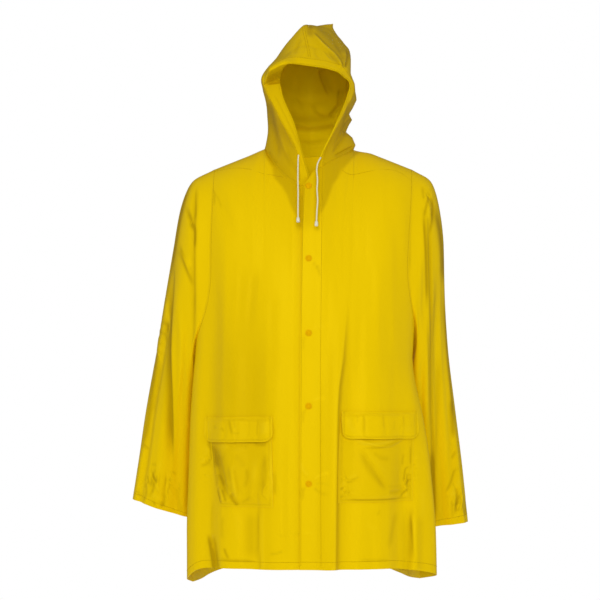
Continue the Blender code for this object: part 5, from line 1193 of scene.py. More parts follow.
def nape_columns(side):
    """`across` of the back's columns from the centre to the neck point."""
    return neck_across(side, collar_lines(side)[COLLAR_STEPS:])[::-1]


def throat_columns(side):
    """`across` of the columns from the free edge to the shoulder seam's start."""
    free = front_free_across(side, 2.0) * side
    joined = neck_across(side, np.linspace(0, 1, CHANNEL_STEPS + 1))
    past = np.linspace(free, joined[0], PAST_STEPS + 1)
    return np.concatenate((past[:-1], joined))


# ---------------------------------------------------------------- creases

def way_along(path, places):
    """Signed distance from a bent path and share of its length, for each place."""
    path = np.asarray(path, float)
    steps = np.linalg.norm(np.diff(path, axis=0), axis=1)
    run = np.concatenate(([0.0], np.cumsum(steps)))
    best = np.full(places.shape[:-1], np.inf)
    signed = np.zeros_like(best)
    share = np.zeros_like(best)
    for a, b, start, size in zip(path[:-1], path[1:], run[:-1], steps):
        d = (b - a) / size
        off = places - a
        t = np.clip(off @ d, 0, size)
        away = np.linalg.norm(off - t[..., None] * d, axis=-1)
        turn = off[..., 0] * d[1] - off[..., 1] * d[0]
        near = away < best
        best = np.where(near, away, best)
        signed = np.where(near, np.where(turn < 0, -away, away), signed)
        share = np.where(near, (start + t) / run[-1], share)
    return signed, share


def bent(points, count=13):
    """Points of a smooth bend through three or more places."""
    points = np.asarray(points, float)
    run = np.concatenate(([0.0], np.cumsum(np.linalg.norm(np.diff(points, axis=0), axis=1))))
    at = np.linspace(0, run[-1], count)
    return np.stack([smooth(run, points[:, k], at) for k in range(points.shape[1])], -1)


def crease_height(creases, places):
    """Height of the creases over a grid of places, and their shade.

    A crease is (points, width on its left, width on its right, height, fade in,
    fade out). Painted shade runs from -1 in the depth of a fold to 1, a painted highlight, on a
    sharp ridge."""
    height = np.zeros(places.shape[:-1])
    shade = np.zeros_like(height)
    for points, left, right, raised, fade_in, fade_out in creases:
        off, share = way_along(bent(points), places)
        width = np.where(off > 0, left, right)
        profile = np.exp(-(off / width) ** 2)
        fade = ease(0, max(fade_in, 1e-6), share) * ease(0, max(fade_out, 1e-6), 1 - share)
        height = height + raised * profile * fade
        slope = abs(raised) * 2 * np.abs(off) / width ** 2 * profile
        steep = abs(raised) / min(left, right)
        sharp = min(1.0, steep / SHARP_AT)
        core = np.exp(-(off / (0.35 * np.minimum(left, right) + 0.0008)) ** 2) * sharp
        crisp = min(1.0, steep / CRISP_AT) ** 1.5
        shade = shade + crisp * fade * (0.45 * core * np.sign(raised)
                                        - np.minimum(0.8 * slope, 1.0))
    return height, np.clip(shade, -1, 1)


def lattice_noise(seed, a, b):
    """Smooth noise of about -1 to 1 over two numbers, one bump to each unit."""
    table = np.random.default_rng(seed).uniform(-1, 1, (NOISE_CELLS, NOISE_CELLS))
    i, j = np.floor(a).astype(int), np.floor(b).astype(int)
    u, v = a - i, b - j
    u, v = u * u * (3 - 2 * u), v * v * (3 - 2 * v)

    def pick(p, q):
        return table[p % NOISE_CELLS, q % NOISE_CELLS]

    return ((pick(i, j) * (1 - u) + pick(i + 1, j) * u) * (1 - v)
            + (pick(i, j + 1) * (1 - u) + pick(i + 1, j + 1) * u) * v)


def crumpled(zones, places):
    """Small crossing ridges where the film is pinched, with a painted highlight on the ridges and
    painted shade beside them.
    """
    height = np.zeros(places.shape[:-1])
    shade = np.zeros_like(height)
    for number, (x, z, wide, tall, raised, cell) in enumerate(zones):
        a, b = places[..., 0] - x, places[..., 1] - z
        near = np.exp(-(a / wide) ** 2 - (b / tall) ** 2)
        wave = np.abs(lattice_noise(PINCH_SEED + number, (a + 0.5 * b) / cell,
                                    (b - 0.3 * a) / (1.7 * cell)))
        height = height + raised * near * (1 - 2.2 * np.minimum(wave, 0.5))
        shade = shade + near * (0.8 * np.exp(-(wave / 0.09) ** 2)
                                - 0.26 * np.exp(-((wave - 0.24) / 0.10) ** 2))
    return height, shade


def strokes(table, places):
    """Hollows and ridges drawn one by one: their height, and painted shade in the hollows and
    painted highlight on the ridges.
    """
    height = np.zeros(places.shape[:-1])
    shade = np.zeros_like(height)
    for tone, left, right, stops in table:
        off, share = way_along(bent(stops), places)
        width = np.where(off > 0, left, right)
        fade = ease(0, STROKE_FADE, share) * ease(0, STROKE_FADE, 1 - share)
        profile = tone * np.exp(-(off / width) ** 2) * fade
        shade = shade + profile
        height = height + profile * min(left, right) * STROKE_RELIEF
    return height, shade


def ripple(seed, x, z, wide, long, height):
    """Soft uneven waves of the film, long along z."""
    return height * (lattice_noise(seed, x / wide, z / long)
                     + 0.5 * lattice_noise(seed + 1, 2.1 * x / wide, 1.7 * z / long))


# ---------------------------------------------------------------- thin film pieces

class Film:
    """A sheet of film gathered place by place, then closed into a thin shell."""

    def __init__(self):
        self.place = {}
        self.outer = []
        self.inner = []
        self.marks = []
        self.faces = []

    def point(self, key, outer, inner, mark=(0.0, 0.0)):
        self.place[key] = len(self.outer)
        self.outer.append(tuple(outer))
        self.inner.append(tuple(inner))
        self.marks.append(tuple(mark))

    def grid(self, outer, inner, key, marks):
        rows, columns = outer.shape[:2]
        for i in range(rows):
            for j in range(columns):
                name = key(i, j)
                if name not in self.place:
                    self.point(name, outer[i, j], inner[i, j], marks[i, j])
        for i in range(rows - 1):
            for j in range(columns - 1):
                self.faces.append(tuple(self.place[key(*n)] for n in
                                        ((i, j), (i, j + 1), (i + 1, j + 1), (i + 1, j))))

    def shell(self, name, look, node):
        """The finished piece, standing for the frame's node and riding on the coat."""
        count = len(self.outer)
        vertices = np.array(self.outer + self.inner)
        edges = {}
        for face in self.faces:
            for a, b in zip(face, face[1:] + face[:1]):
                edge = (min(a, b), max(a, b))
                edges[edge] = edges.get(edge, 0) + 1
        rim = [edge for edge, uses in edges.items() if uses == 1]
        faces = self.faces + [tuple(count + n for n in reversed(f)) for f in self.faces]
        directed = {(a, b) for f in self.faces for a, b in zip(f, f[1:] + f[:1])}
        for a, b in rim:
            a, b = (a, b) if (a, b) in directed else (b, a)
            faces.append((b, a, count + a, count + b))
        mesh = bpy.data.meshes.new(name)
        mesh.from_pydata(vertices, [], faces)
        corners = np.array(self.faces[0])
        first = vertices[corners]
        facing = np.cross(first[1] - first[0], first[2] - first[0])
        if np.dot(facing, vertices[corners[0]] - vertices[count + corners[0]]) < 0:
            mesh.flip_normals()
        crease, backing_light = np.array(self.marks).T
        inside = np.concatenate((np.zeros(count), np.ones(count)))
        for title, values in (("crease", np.tile(crease, 2)), ("backing_light", np.tile(backing_light, 2)),
                              ("inside", inside)):
            layer = mesh.attributes.new(title, "FLOAT", "POINT")
            layer.data.foreach_set("value", values.astype(np.float32))
        ends = np.zeros(len(mesh.edges) * 2, np.int32)
        mesh.edges.foreach_get("vertices", ends)
        lone = set(rim) | {(a + count, b + count) for a, b in rim}
        sharp = mesh.attributes.new("sharp_edge", "BOOLEAN", "EDGE")
        sharp.data.foreach_set("value", np.array(
            [(min(a, b), max(a, b)) in lone for a, b in ends.reshape(-1, 2).tolist()], bool))
        mesh.shade_smooth()
        item = place_piece(name, mesh, look, node)
        return item


def place_piece(name, data, look, node=None, stands_for=True):
    """Links a piece with its material and lets it ride on the coat."""
    data.materials.clear()
    data.materials.append(look)
    item = bpy.data.objects.new(name, data)
    bpy.context.scene.collection.objects.link(item)
    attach(item, "root")
    if node:
        if stands_for:
            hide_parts(node)
    return item


# ---------------------------------------------------------------- torso pieces

def torso_marks(half, point):
    """Painted crease shade and highlight, and backing light, of torso places."""
    x, z = point[..., 0], point[..., 2]
    creases = FRONT_CREASES if half == "front" else BACK_CREASES
    places = np.stack([x, z], -1)
    _, mark = crease_height(creases, places)
    if half == "front":
        mark = mark + crumpled(FRONT_PINCHES, places)[1] + strokes(FRONT_STROKES, places)[1]
    backing_light = backing_light_mask(x, z) if half == "front" else np.ones_like(x)
    return np.stack([mark, backing_light], -1)


def backing_light_mask(x, z):
    """Backing light: 1 where the film lies on the wearer's chest, 0 in the open throat between,
    which takes the painted shade colour, and less in the painted shade patch.
    """
    limit = np.interp(z, *THROAT_EDGE[0]), np.interp(z, *THROAT_EDGE[1])
    soft = THROAT_SOFT
    inside = (ease(-soft, soft, x - limit[0]) * (1 - ease(-soft, soft, x - limit[1]))
              * ease(THROAT_BOTTOM - 0.03, THROAT_BOTTOM + 0.01, z))
    inside = inside * (1 - DOUBLED_SHARE * ease(-0.002, 0.002, x - DOUBLED_FROM)
                       * ease(-0.002, 0.002, DOUBLED_TO - x))
    # painted shade patch where the front turns away from the light
    shade_patch = np.exp(-((x - SHADE_PATCH_PLACE[0]) / SHADE_PATCH_SIZE[0]) ** 2
                   - ((z - SHADE_PATCH_PLACE[1]) / SHADE_PATCH_SIZE[1]) ** 2)
    return (1 - inside) * (1 - SHADE_PATCH_SHARE * shade_patch)


def front_grid(side):
    """Places of one front, from its free edge to side seam and armhole."""
    underarm = UNDERARM_LEVEL[side]
    between = neck_across(side, np.linspace(1, line_at(side, SEAM_STARTS_AT[side]), 14))
    top_across = np.concatenate((throat_columns(side), between[1:-1], collar_columns(side),
                                 shoulder_columns(side)[1:]))
    shares = (top_across - top_across[0]) / (top_across[-1] - top_across[0])
    top_across = top_across * side
    top_level = seam_level(side, np.where(top_across * side > 0, top_across, side * 0.001))
    seam_at_tip = top_level[-1]
    rows = []
    for share in low_shares():
        level = np.full(shares.shape, share * underarm)
        free = front_free_across(side, level)
        rows.append((free + (side - free) * shares, level))
    lowest = rows[-1][0]
    for f in np.linspace(0, 1, FRONT_ARM_ROWS + 1)[1:] ** ARM_ROW_POWER:
        edge = side * float(armhole_across(side, underarm + (seam_at_tip - underarm) * f))
        across = lowest + (top_across - lowest) * f
        across = across + (edge - across[-1]) * shares ** EDGE_PULL
        rows.append((across, underarm + (top_level - underarm) * f))
    return np.array([r[0] for r in rows]), np.array([r[1] for r in rows])


def low_shares():
    """Shares of the side seam's length, with rows at the hem's fold line."""
    hem = HEM_DEPTH / SIDE_SEAM_LENGTH
    return np.concatenate((np.linspace(0, hem, 8), np.linspace(hem, 1.0, LOW_ROWS)[1:]))


def film_wall(level):
    """Thickness of the film as shown: double where the hem is turned up."""
    return np.where(level * SIDE_SEAM_LENGTH < HEM_DEPTH, FOLDED_THICK, FILM_THICK)


def front_free_across(side, level):
    """`across` of the front's free edge past the centre."""
    reach = from_table(((0.0, OVERLAP_HALF), (1.0, OVERLAP_HALF), (1.5, OVERLAP_HALF * 0.85),
                        (2.0, abs(OVERLAP_TOP_X))), ("level", "x"), "x", "level", level)
    base = torso_value("half_right" if side > 0 else "half_left", CHEST_LINE_Z)
    return -side * across_of(reach / base)


def front_panel(side, look):
    """One front, from its free edge to the side seam."""
    name = "left" if side > 0 else "right"
    across, level = front_grid(side)
    outer, normal = torso_surface(side, "front", across, level)
    wall = film_wall(level)
    inner = outer - normal * wall[..., None]
    marks = torso_marks("front", outer)
    film = Film()
    film.grid(outer, inner, lambda i, j: (i, j), marks)
    return film.shell("film_front_" + name, look, "front_panel_" + name)


def back_columns():
    """`across` of the back's columns at the ridge, with both neck points."""
    values = []
    for side in (-1, 1):
        half = np.concatenate((nape_columns(side)[:-1], shoulder_columns(side))) * side
        values.append(half[::-1] if side < 0 else half[1:])
    return np.concatenate(values)


def widened(side, size, edge):
    """Spreads the columns outside the neck point so that the last one is at edge."""
    neck = NECK_AT[side]
    share = np.clip((size - neck) / (TIP_AT[side] - neck), 0, None)
    return np.where(size > neck, neck + (edge - neck) * share, size)


def back_grid():
    """Places of the back below the shoulder ridge, and its columns."""
    columns = back_columns()
    sides = np.where(columns < 0, -1, 1)
    underarm = np.array([UNDERARM_LEVEL[s] for s in sides])
    tips = np.array([TIP_AT[s] for s in sides])
    necks = np.array([NECK_AT[s] for s in sides])
    lowest = sides * np.where(np.abs(columns) > necks, necks + (1 - necks)
                              * np.clip((np.abs(columns) - necks) / (tips - necks), 0, None),
                              np.abs(columns))
    rows = [(lowest, share * underarm) for share in low_shares()]
    pull = np.clip((np.abs(columns) - necks) / (tips - necks), 0, 1) ** EDGE_PULL
    for f in np.linspace(0, 1, BACK_ARM_ROWS + 1)[1:] ** ARM_ROW_POWER:
        level = underarm + (2 - underarm) * f
        edge = np.where(sides < 0, armhole_across(-1, level), armhole_across(1, level))
        across = lowest + (columns - lowest) * f
        rows.append((across + sides * (edge - (1 + (tips - 1) * f)) * pull, level))
    return np.array([r[0] for r in rows]), np.array([r[1] for r in rows]), columns


def back_panel(look):
    """The back, with the strips that go over the shoulders to the front."""
    across, level, columns = back_grid()
    outer, normal = torso_surface(1, "back", across, level)
    inner = outer - normal * film_wall(level)[..., None]
    marks = torso_marks("back", outer)
    neck = np.abs(across) < np.where(across < 0, NECK_AT[-1], NECK_AT[1]) - 0.01
    # painted shade along the back's neckline seam
    marks[..., 0] -= neck * ease(1.975, 1.995, level)
    film = Film()
    film.grid(outer, inner, lambda i, j: ("back", i, j), marks)
    for side in (-1, 1):
        shoulder_strip(film, side, columns * side, len(across) - 1)
    return film.shell("film_back", look, "back_panel")


def shoulder_strip(film, side, back_sizes, top_row):
    """The part of the back in front of the shoulder ridge."""
    picks = [j for j in range(len(back_sizes)) if back_sizes[j] >= NECK_AT[side] - 1e-6]
    picks.sort(key=lambda j: back_sizes[j])
    collar = collar_columns(side)[1:-1]
    size = np.concatenate((collar, shoulder_columns(side)))
    seam = seam_level(side, side * size)
    across_rows = []
    level_rows = []
    for f in np.linspace(0, 1, YOKE_ROWS + 1):
        level = 2 + (seam - 2) * f
        edge = float(armhole_across(side, level[-1]))
        across_rows.append(side * widened(side, size, edge))
        level_rows.append(level)
    across, level = np.array(across_rows), np.array(level_rows)
    outer, normal = torso_surface(side, "front", across, level)
    inner = outer - normal * FILM_THICK
    free = len(collar)

    def key(i, j):
        if i == 0 and j >= free:
            return ("back", top_row, picks[j - free])
        return ("strip", side, i, j)
    marks = torso_marks("front", outer)
    film.grid(outer, inner, key, marks)
    start = (side * collar_columns(side)[:1], np.array([2.0]))
    corner, facing = torso_surface(side, "front", *start)
    film.point(("start", side), corner[0], corner[0] - facing[0] * FILM_THICK)
    for i in range(YOKE_ROWS):
        film.faces.append(tuple(film.place[k] for k in
                                (("start", side), key(i, 0), key(i + 1, 0))))


# ---------------------------------------------------------------- sleeves

def armhole_loop(side):
    """Points round the armhole from the shoulder tip by the front."""
    underarm = UNDERARM_LEVEL[side]
    seam_tip = float(seam_level(side, np.array([side * TIP_AT[side]]))[0])
    climb, back_climb = (np.linspace(0, 1, rows + 1) ** ARM_ROW_POWER
                         for rows in (FRONT_ARM_ROWS, BACK_ARM_ROWS))
    front_arm = underarm + (seam_tip - underarm) * climb
    yoke = 2 + (seam_tip - 2) * np.linspace(0, 1, YOKE_ROWS + 1)
    front_levels = np.concatenate((yoke, front_arm[::-1][1:]))
    back_levels = underarm + (2 - underarm) * back_climb
    front, back = (torso_surface(side, half, side * armhole_across(side, levels), levels)[0]
                   for half, levels in (("front", front_levels), ("back", back_levels)))
    return np.concatenate((front, back[1:-1]))


def loop_turns(loop):
    """Share of a turn of each armhole point: 0 at the tip, one half at the underarm."""
    half = YOKE_ROWS + FRONT_ARM_ROWS
    steps = np.linalg.norm(np.diff(np.vstack((loop, loop[:1])), axis=0), axis=1)
    run = np.concatenate(([0.0], np.cumsum(steps)))
    front = run[:half + 1] / run[half] * 0.5
    back = 0.5 + (run[half:-1] - run[half]) / (run[-1] - run[half]) * 0.5
    return np.concatenate((front, back[1:]))


def sleeve_tube(side, turn, t):
    """Sleeve point away from the armhole, before folds."""
    table = SLEEVE_LEFT if side > 0 else SLEEVE_RIGHT

    def value(name):
        return from_table(table, SLEEVE_COLUMNS, name, "t", t)

    outer_x, outer_z = value("outer_x"), value("outer_z")
    inner_x, inner_z = value("inner_x"), value("inner_z")
    angle = 2 * math.pi * turn
    swing = np.sign(np.cos(angle)) * np.abs(np.cos(angle)) ** (2 / SLEEVE_POWER)
    fore = np.sign(np.sin(angle)) * np.abs(np.sin(angle)) ** (2 / SLEEVE_POWER)
    x = (outer_x + inner_x) / 2 + (outer_x - inner_x) / 2 * swing
    z = (outer_z + inner_z) / 2 + (outer_z - inner_z) / 2 * swing
    y = value("mid_y") - value("half_depth") * fore
    return np.stack([x, y, z], -1)


def sleeve_shares():
    """Shares of the sleeve's length, with rows at the cuff's fold line."""
    hem = HEM_DEPTH / SLEEVE_LENGTH
    return np.concatenate((np.linspace(0, 1 - hem, SLEEVE_ROWS - 8),
                           np.linspace(1 - hem, 1.0, 9)[1:]))


def sleeve_surface(side):
    """Outer points and normals of a sleeve's grid, its shares of the length and shade."""
    loop = armhole_loop(side)
    turns = loop_turns(loop)
    shares = sleeve_shares()
    folds = SLEEVE_FOLDS_LEFT if side > 0 else SLEEVE_FOLDS_RIGHT
    creases = SLEEVE_CREASES_LEFT if side > 0 else SLEEVE_CREASES_RIGHT
    turn_grid, t_grid = np.meshgrid(turns, shares)
    settled = ease(0.0, SLEEVE_SETTLES_AT, t_grid)[..., None]
    tube = sleeve_tube(side, turn_grid, t_grid)
    drift = tube - sleeve_tube(side, turn_grid, np.zeros_like(t_grid))
    point = (loop[None] + drift) * (1 - settled) + tube * settled
    around = np.roll(point, -1, axis=1) - np.roll(point, 1, axis=1)
    along = np.gradient(point, axis=0)
    normal = np.cross(around, along)
    normal /= np.linalg.norm(normal, axis=-1, keepdims=True)
    centre = point.mean(axis=1, keepdims=True)
    normal *= np.sign(np.sum(normal * (point - centre), axis=-1).mean())
    places = np.stack([point[..., 0], point[..., 2]], -1)
    front = (turn_grid < 0.5)
    seen, mark = crease_height(creases, places)
    pinched, pinch_mark = crumpled(SLEEVE_PINCHES, places)
    drawn, drawn_mark = strokes(SLEEVE_STROKES, places)
    seen, mark = seen + pinched + drawn, mark + pinch_mark + drawn_mark
    hidden, back_mark = crease_height(SLEEVE_BACK_CREASES, np.stack(
        [turn_grid * SLEEVE_GIRTH, t_grid * SLEEVE_LENGTH], -1))
    grown = ease(0.0, 0.05, t_grid)
    lift = (fold_height(folds, turn_grid, t_grid)
            + (np.where(front, seen, hidden)
               + ripple(31 + side, turn_grid * 8.0, t_grid * 6.0, 1.0, 1.0, SLEEVE_RIPPLE)) * grown)
    inward = np.clip(-side * normal[..., 0], 0, 1) * (1 - ease(0.45, 0.62, turn_grid))
    lift = lift + SLEEVE_LEANS * inward * ease(*SLEEVE_LEANS_BELOW, -point[..., 2])
    centre, spread, nearer = SLEEVE_NEARS
    lift = lift + (nearer * np.exp(-((t_grid - centre) / spread) ** 2) * grown
                   * np.clip(-np.cos(2 * math.pi * turn_grid), 0, 1) ** 2)
    shade = np.where(front, mark, back_mark)
    return point + normal * lift[..., None], normal, t_grid, shade


def sleeve(side, look):
    """One sleeve; returns the path of its cuff's stitches and their directions."""
    name = "left" if side > 0 else "right"
    outer, normal, t_grid, mark = sleeve_surface(side)
    wall = np.where(t_grid * SLEEVE_LENGTH > SLEEVE_LENGTH - HEM_DEPTH, FOLDED_THICK, FILM_THICK)
    inner = outer - normal * wall[..., None]
    count = outer.shape[1]
    marks = np.stack([mark, np.ones_like(mark)], -1)
    closed = [np.concatenate((g, g[:, :1]), axis=1) for g in (outer, inner, marks)]
    film = Film()
    film.grid(closed[0], closed[1], lambda i, j: (i, j % count), closed[2])
    film.shell("film_sleeve_" + name, look, "sleeve_" + name)
    row = SLEEVE_ROWS - 7
    return closed[0][row], np.concatenate((normal[row], normal[row, :1]))


# ---------------------------------------------------------------- hood

def brim_corner(x, z, line):
    """Depth added where the brim folds over the channel at its right corner, with painted shade on
    the ledge under the fold and a painted shadow on the band below it.
    """
    fold, band = np.interp(x, *BRIM_FOLD), np.interp(x, *BRIM_BAND_TOP)
    share = np.clip((z - band) / np.maximum(fold - band, 1e-4), 0, 1)
    forward = np.where(z > fold, np.exp(-((z - fold) / 0.020) ** 2), share ** 1.6)
    recess = np.sin(math.pi * np.clip(share * 1.4, 0, 1)) * (z < fold)
    reach = ease(-0.0965, -0.082, x) * (1 - ease(-0.060, -0.022, x)) * (1 - ease(1.2, 2.0, line))
    # painted shadow of the brim on the band below it
    lower = 0.5 * np.exp(-np.clip(band - z, 0, None) / 0.016) * (share < 0.5)
    under = reach * (z < fold) * np.maximum(np.sin(math.pi * share) ** 0.4, lower)
    return reach * (BRIM_RECESS * recess - BRIM_FORWARD * forward), under


def hood_shell(line_grid, row_grid, wall, raised=0.0):
    """Outer and inner points of a stretch of the hood, and its creases."""
    outer = hood_surface(line_grid, row_grid)
    inside_line = np.clip(line_grid, 0.01, CENTRE_BACK)
    inside_row = np.clip(row_grid, 0.01, LAST_ROW - 0.01)
    inwards = surface_normal(hood_surface, inside_line, inside_row, 5e-3, 5e-3)
    places = outer[..., [0, 2]]
    front, mark = crease_height(HOOD_FRONT_CREASES, places)
    back, back_mark = crease_height(HOOD_BACK_CREASES, places)
    behind = ease(2.7, 3.3, line_grid)
    neck = ease(0, 0.35, np.minimum(row_grid, LAST_ROW - row_grid))
    height = front * (1 - behind) + back * behind
    height = height + ripple(51, 9 * line_grid, 7 * row_grid, 6.0, 9.0, HOOD_RIPPLE)
    outer = outer - inwards * (height * neck * ease(-0.3, 0.5, line_grid)
                               + raised * neck)[..., None]
    left = outer[..., 0] > 0
    x, z = outer[..., 0], outer[..., 2]
    crumple = np.interp(z, *CRUMPLES) * ease(1.3, 1.9, line_grid) * (1 - ease(2.9, 3.8, line_grid))
    outer[..., 0] += np.where(left & (row_grid > TOP_ROW), crumple * neck, 0.0)
    tuck = np.interp(z, *HOOD_TUCK) * ease(0.050, 0.085, x) * (1 - ease(2.2, 3.0, line_grid))
    outer[..., 0] += tuck
    forward, under = brim_corner(x, z, line_grid)
    outer[..., 1] += np.where(left, 0.0, forward)
    # painted shade on the brim's ledge and painted shadow under it
    mark = np.where(behind > 0.5, back_mark, mark) * neck - np.where(left, 0.0, under)
    return outer, outer + inwards * wall, mark


def hood_rows(start, end):
    """Fractional rows of the hood's net from start to end."""
    steps = int(round(abs(end - start) * HOOD_ROWS_PER_STEP))
    return np.linspace(start, end, steps + 1)


def hood_panel(side, look):
    """One side of the hood, from the channel's seam to the centre seam."""
    name = "left" if side > 0 else "right"
    rows = hood_rows(0 if side < 0 else LAST_ROW, TOP_ROW)
    low = np.concatenate((np.linspace(1.0, collar_lines(side)[0], 7)[:-1], collar_lines(side)))
    high = np.linspace(1.0, CENTRE_BACK, len(low))
    finer = np.linspace(0, len(low) - 1, HOOD_FINER * (len(low) - 1) + 1)
    low, high = (np.interp(finer, np.arange(len(v)), v) for v in (low, high))
    share = ease(0, HOOD_EVEN_AT, np.abs(rows - rows[0]))[:, None]
    line_grid = low + (high - low) * share
    row_grid = np.broadcast_to(rows[:, None], line_grid.shape)
    outer, inner, mark = hood_shell(line_grid, row_grid, FILM_THICK)
    # Painted shade: the hood takes the painted shade colour, only half of it near the top of the
    # face edge.
    facing = 0.5 * ease(0.13, 0.17, outer[..., 2]) * (1 - ease(1.8, 2.4, line_grid))
    marks = np.stack([mark, facing], -1)
    film = Film()
    film.grid(outer, inner, lambda i, j: (i, j), marks)
    return film.shell("film_hood_" + name, look, "hood_panel_" + name)


def hood_channel(look):
    """The drawstring channel round the face opening."""
    lines = np.linspace(0, 1, CHANNEL_ACROSS + 1)
    rows = hood_rows(0, LAST_ROW)
    line_grid, row_grid = np.meshgrid(lines, rows)
    outer, inner, mark = hood_shell(line_grid, row_grid, CHANNEL_WALL, CHANNEL_RAISE)
    # the channel is painted partly in the painted shade colour, as the hood is
    marks = np.stack([mark, np.full_like(mark, CHANNEL_BACKING_LIGHT)], -1)
    film = Film()
    film.grid(outer, inner, lambda i, j: (i, j), marks)
    return film.shell("film_channel", look, "hood_channel")


# ---------------------------------------------------------------- pockets

def piece_tree(item):
    """A piece's shell as a tree that answers where a line meets it."""
    shape = bmesh.new()
    shape.from_mesh(item.data)
    tree = BVHTree.FromBMesh(shape)
    shape.free()
    return tree


def on_film(trees, x, z, out, from_inside=False):
    """Points over the nearest film at x and z, moved off by `out`, and directions."""
    points = np.zeros(x.shape + (3,))
    normals = np.zeros(x.shape + (3,))
    start_y, way = (0.0, -1) if from_inside else (-1.0, 1)
    for place in np.ndindex(x.shape):
        hits = []
        for dx, dz in ((0, 0), (PROBE, 0), (-PROBE, 0), (0, PROBE), (0, -PROBE)):
            start = Vector((x[place] + dx, start_y, z[place] + dz))
            found = [tree.ray_cast(start, Vector((0, way, 0)))[0] for tree in trees]
            found = [f for f in found if f is not None]
            hits.append(min(found, key=lambda f: f.y * way))
        facing = (hits[1] - hits[2]).cross(hits[3] - hits[4]).normalized()
        points[place] = hits[0] + facing * float(out[place])
        normals[place] = facing
    return points, normals


def smoothed(grid, rounds):
    """A grid of vectors with small jumps between neighbours evened out."""
    for _ in range(rounds):
        padded = np.pad(grid, ((1, 1), (1, 1), (0, 0)), mode="edge")
        grid = (padded[1:-1, 1:-1] * 2 + padded[:-2, 1:-1] + padded[2:, 1:-1]
                + padded[1:-1, :-2] + padded[1:-1, 2:]) / 6
    return grid


def rim_highlight_and_shade(edge, bright, dark):
    """A painted highlight on the rim and a painted shade line inside it, by the distance from the
    edge.
    """
    return (bright * np.exp(-(edge / RIM_WIDTH) ** 2)
            - dark * np.exp(-((edge - RIM_LINE_IN) / RIM_LINE_WIDTH) ** 2))


def stand_off(side, x, z):
    """How far the bag's film stands off the front at x and z, and its shade."""
    table = POCKET_BAG_LEFT if side > 0 else POCKET_BAG_RIGHT
    sags = POCKET_SAG_LEFT if side > 0 else POCKET_SAG_RIGHT
    creases = BAG_CREASES_LEFT if side > 0 else BAG_CREASES_RIGHT
    z_all = column(table, POCKET_COLUMNS, "z")
    down = (z_all[0] - z) / (z_all[0] - z_all[-1])
    x_inner = from_table(table, POCKET_COLUMNS, "x_inner", "z", z)
    x_outer = from_table(table, POCKET_COLUMNS, "x_outer", "z", z)
    across = (x - x_inner) / (x_outer - x_inner)
    rim = (np.minimum(np.minimum(across, 1 - across), 1 - down) / 0.10).clip(0, 1)
    stand = BAG_STAND * np.ones_like(x)
    for row in sags:
        sag = dict(zip(POCKET_SAG_COLUMNS, row))
        off = np.hypot(across - sag["across"], down - sag["down"]) / sag["half_width"]
        stand = stand + sag["raise"] * np.exp(-off ** 2)
    places = np.stack([x, z], -1)
    height, mark = crease_height(creases, places)
    pinched, pinch_mark = crumpled(BAG_PINCHES, places)
    drawn, drawn_mark = strokes(BAG_STROKES, places)
    height = height + pinched + drawn
    mark = BAG_CREASE_TONE * mark + pinch_mark + BAG_STROKE_TONE * drawn_mark
    edge = np.minimum(np.abs(x - x_inner), np.abs(x_outer - x))
    edge = np.minimum(edge, np.abs(z - z_all[-1]))
    mark = 0.45 * mark + rim_highlight_and_shade(edge, 0.7, 0.2)
    inner_edge = ease(0, 1, rim)
    return LAYER_GAP + np.clip(stand * inner_edge + height * (0.25 + 0.75 * inner_edge),
                               0, None), mark


def pocket_bag(side, front, look):
    """Patch pocket, welded down at its sides and bottom."""
    name = "left" if side > 0 else "right"
    table = POCKET_BAG_LEFT if side > 0 else POCKET_BAG_RIGHT
    z_all = column(table, POCKET_COLUMNS, "z")
    across, down = np.meshgrid(np.linspace(0, 1, POCKET_ACROSS + 1),
                               np.linspace(0, 1, POCKET_DOWN + 1))
    z = z_all[0] + (z_all[-1] - z_all[0]) * down
    x = (from_table(table, POCKET_COLUMNS, "x_inner", "z", z) * (1 - across)
         + from_table(table, POCKET_COLUMNS, "x_outer", "z", z) * across)
    stand, mark = stand_off(side, x, z)
    inner, normal = on_film([front], x, z, np.zeros_like(x))
    normal = smoothed(normal, 4)
    inner = inner + normal * stand[..., None]
    film = Film()
    # the bag is a little darker overall, and takes the painted shade patch
    marks = np.stack([mark, BAG_LIGHTNESS * backing_light_mask(x, z)], -1)
    film.grid(inner + normal * FOLDED_THICK, inner, lambda i, j: (i, j), marks)
    item = film.shell("film_pocket_" + name, look, "pocket_bag_" + name)
    return item, inner + normal * FOLDED_THICK, normal


def flap_height(flap, across):
    """Length of a flap down from its seam, with rounded lower corners."""
    width = abs(flap["top_outer"][0] - flap["top_inner"][0])
    near = np.clip(1 - np.minimum(across, 1 - across) * width / flap["corner"], 0, 1)
    return flap["height"] - flap["corner"] * (1 - np.sqrt(1 - near ** 2 * 0.98))


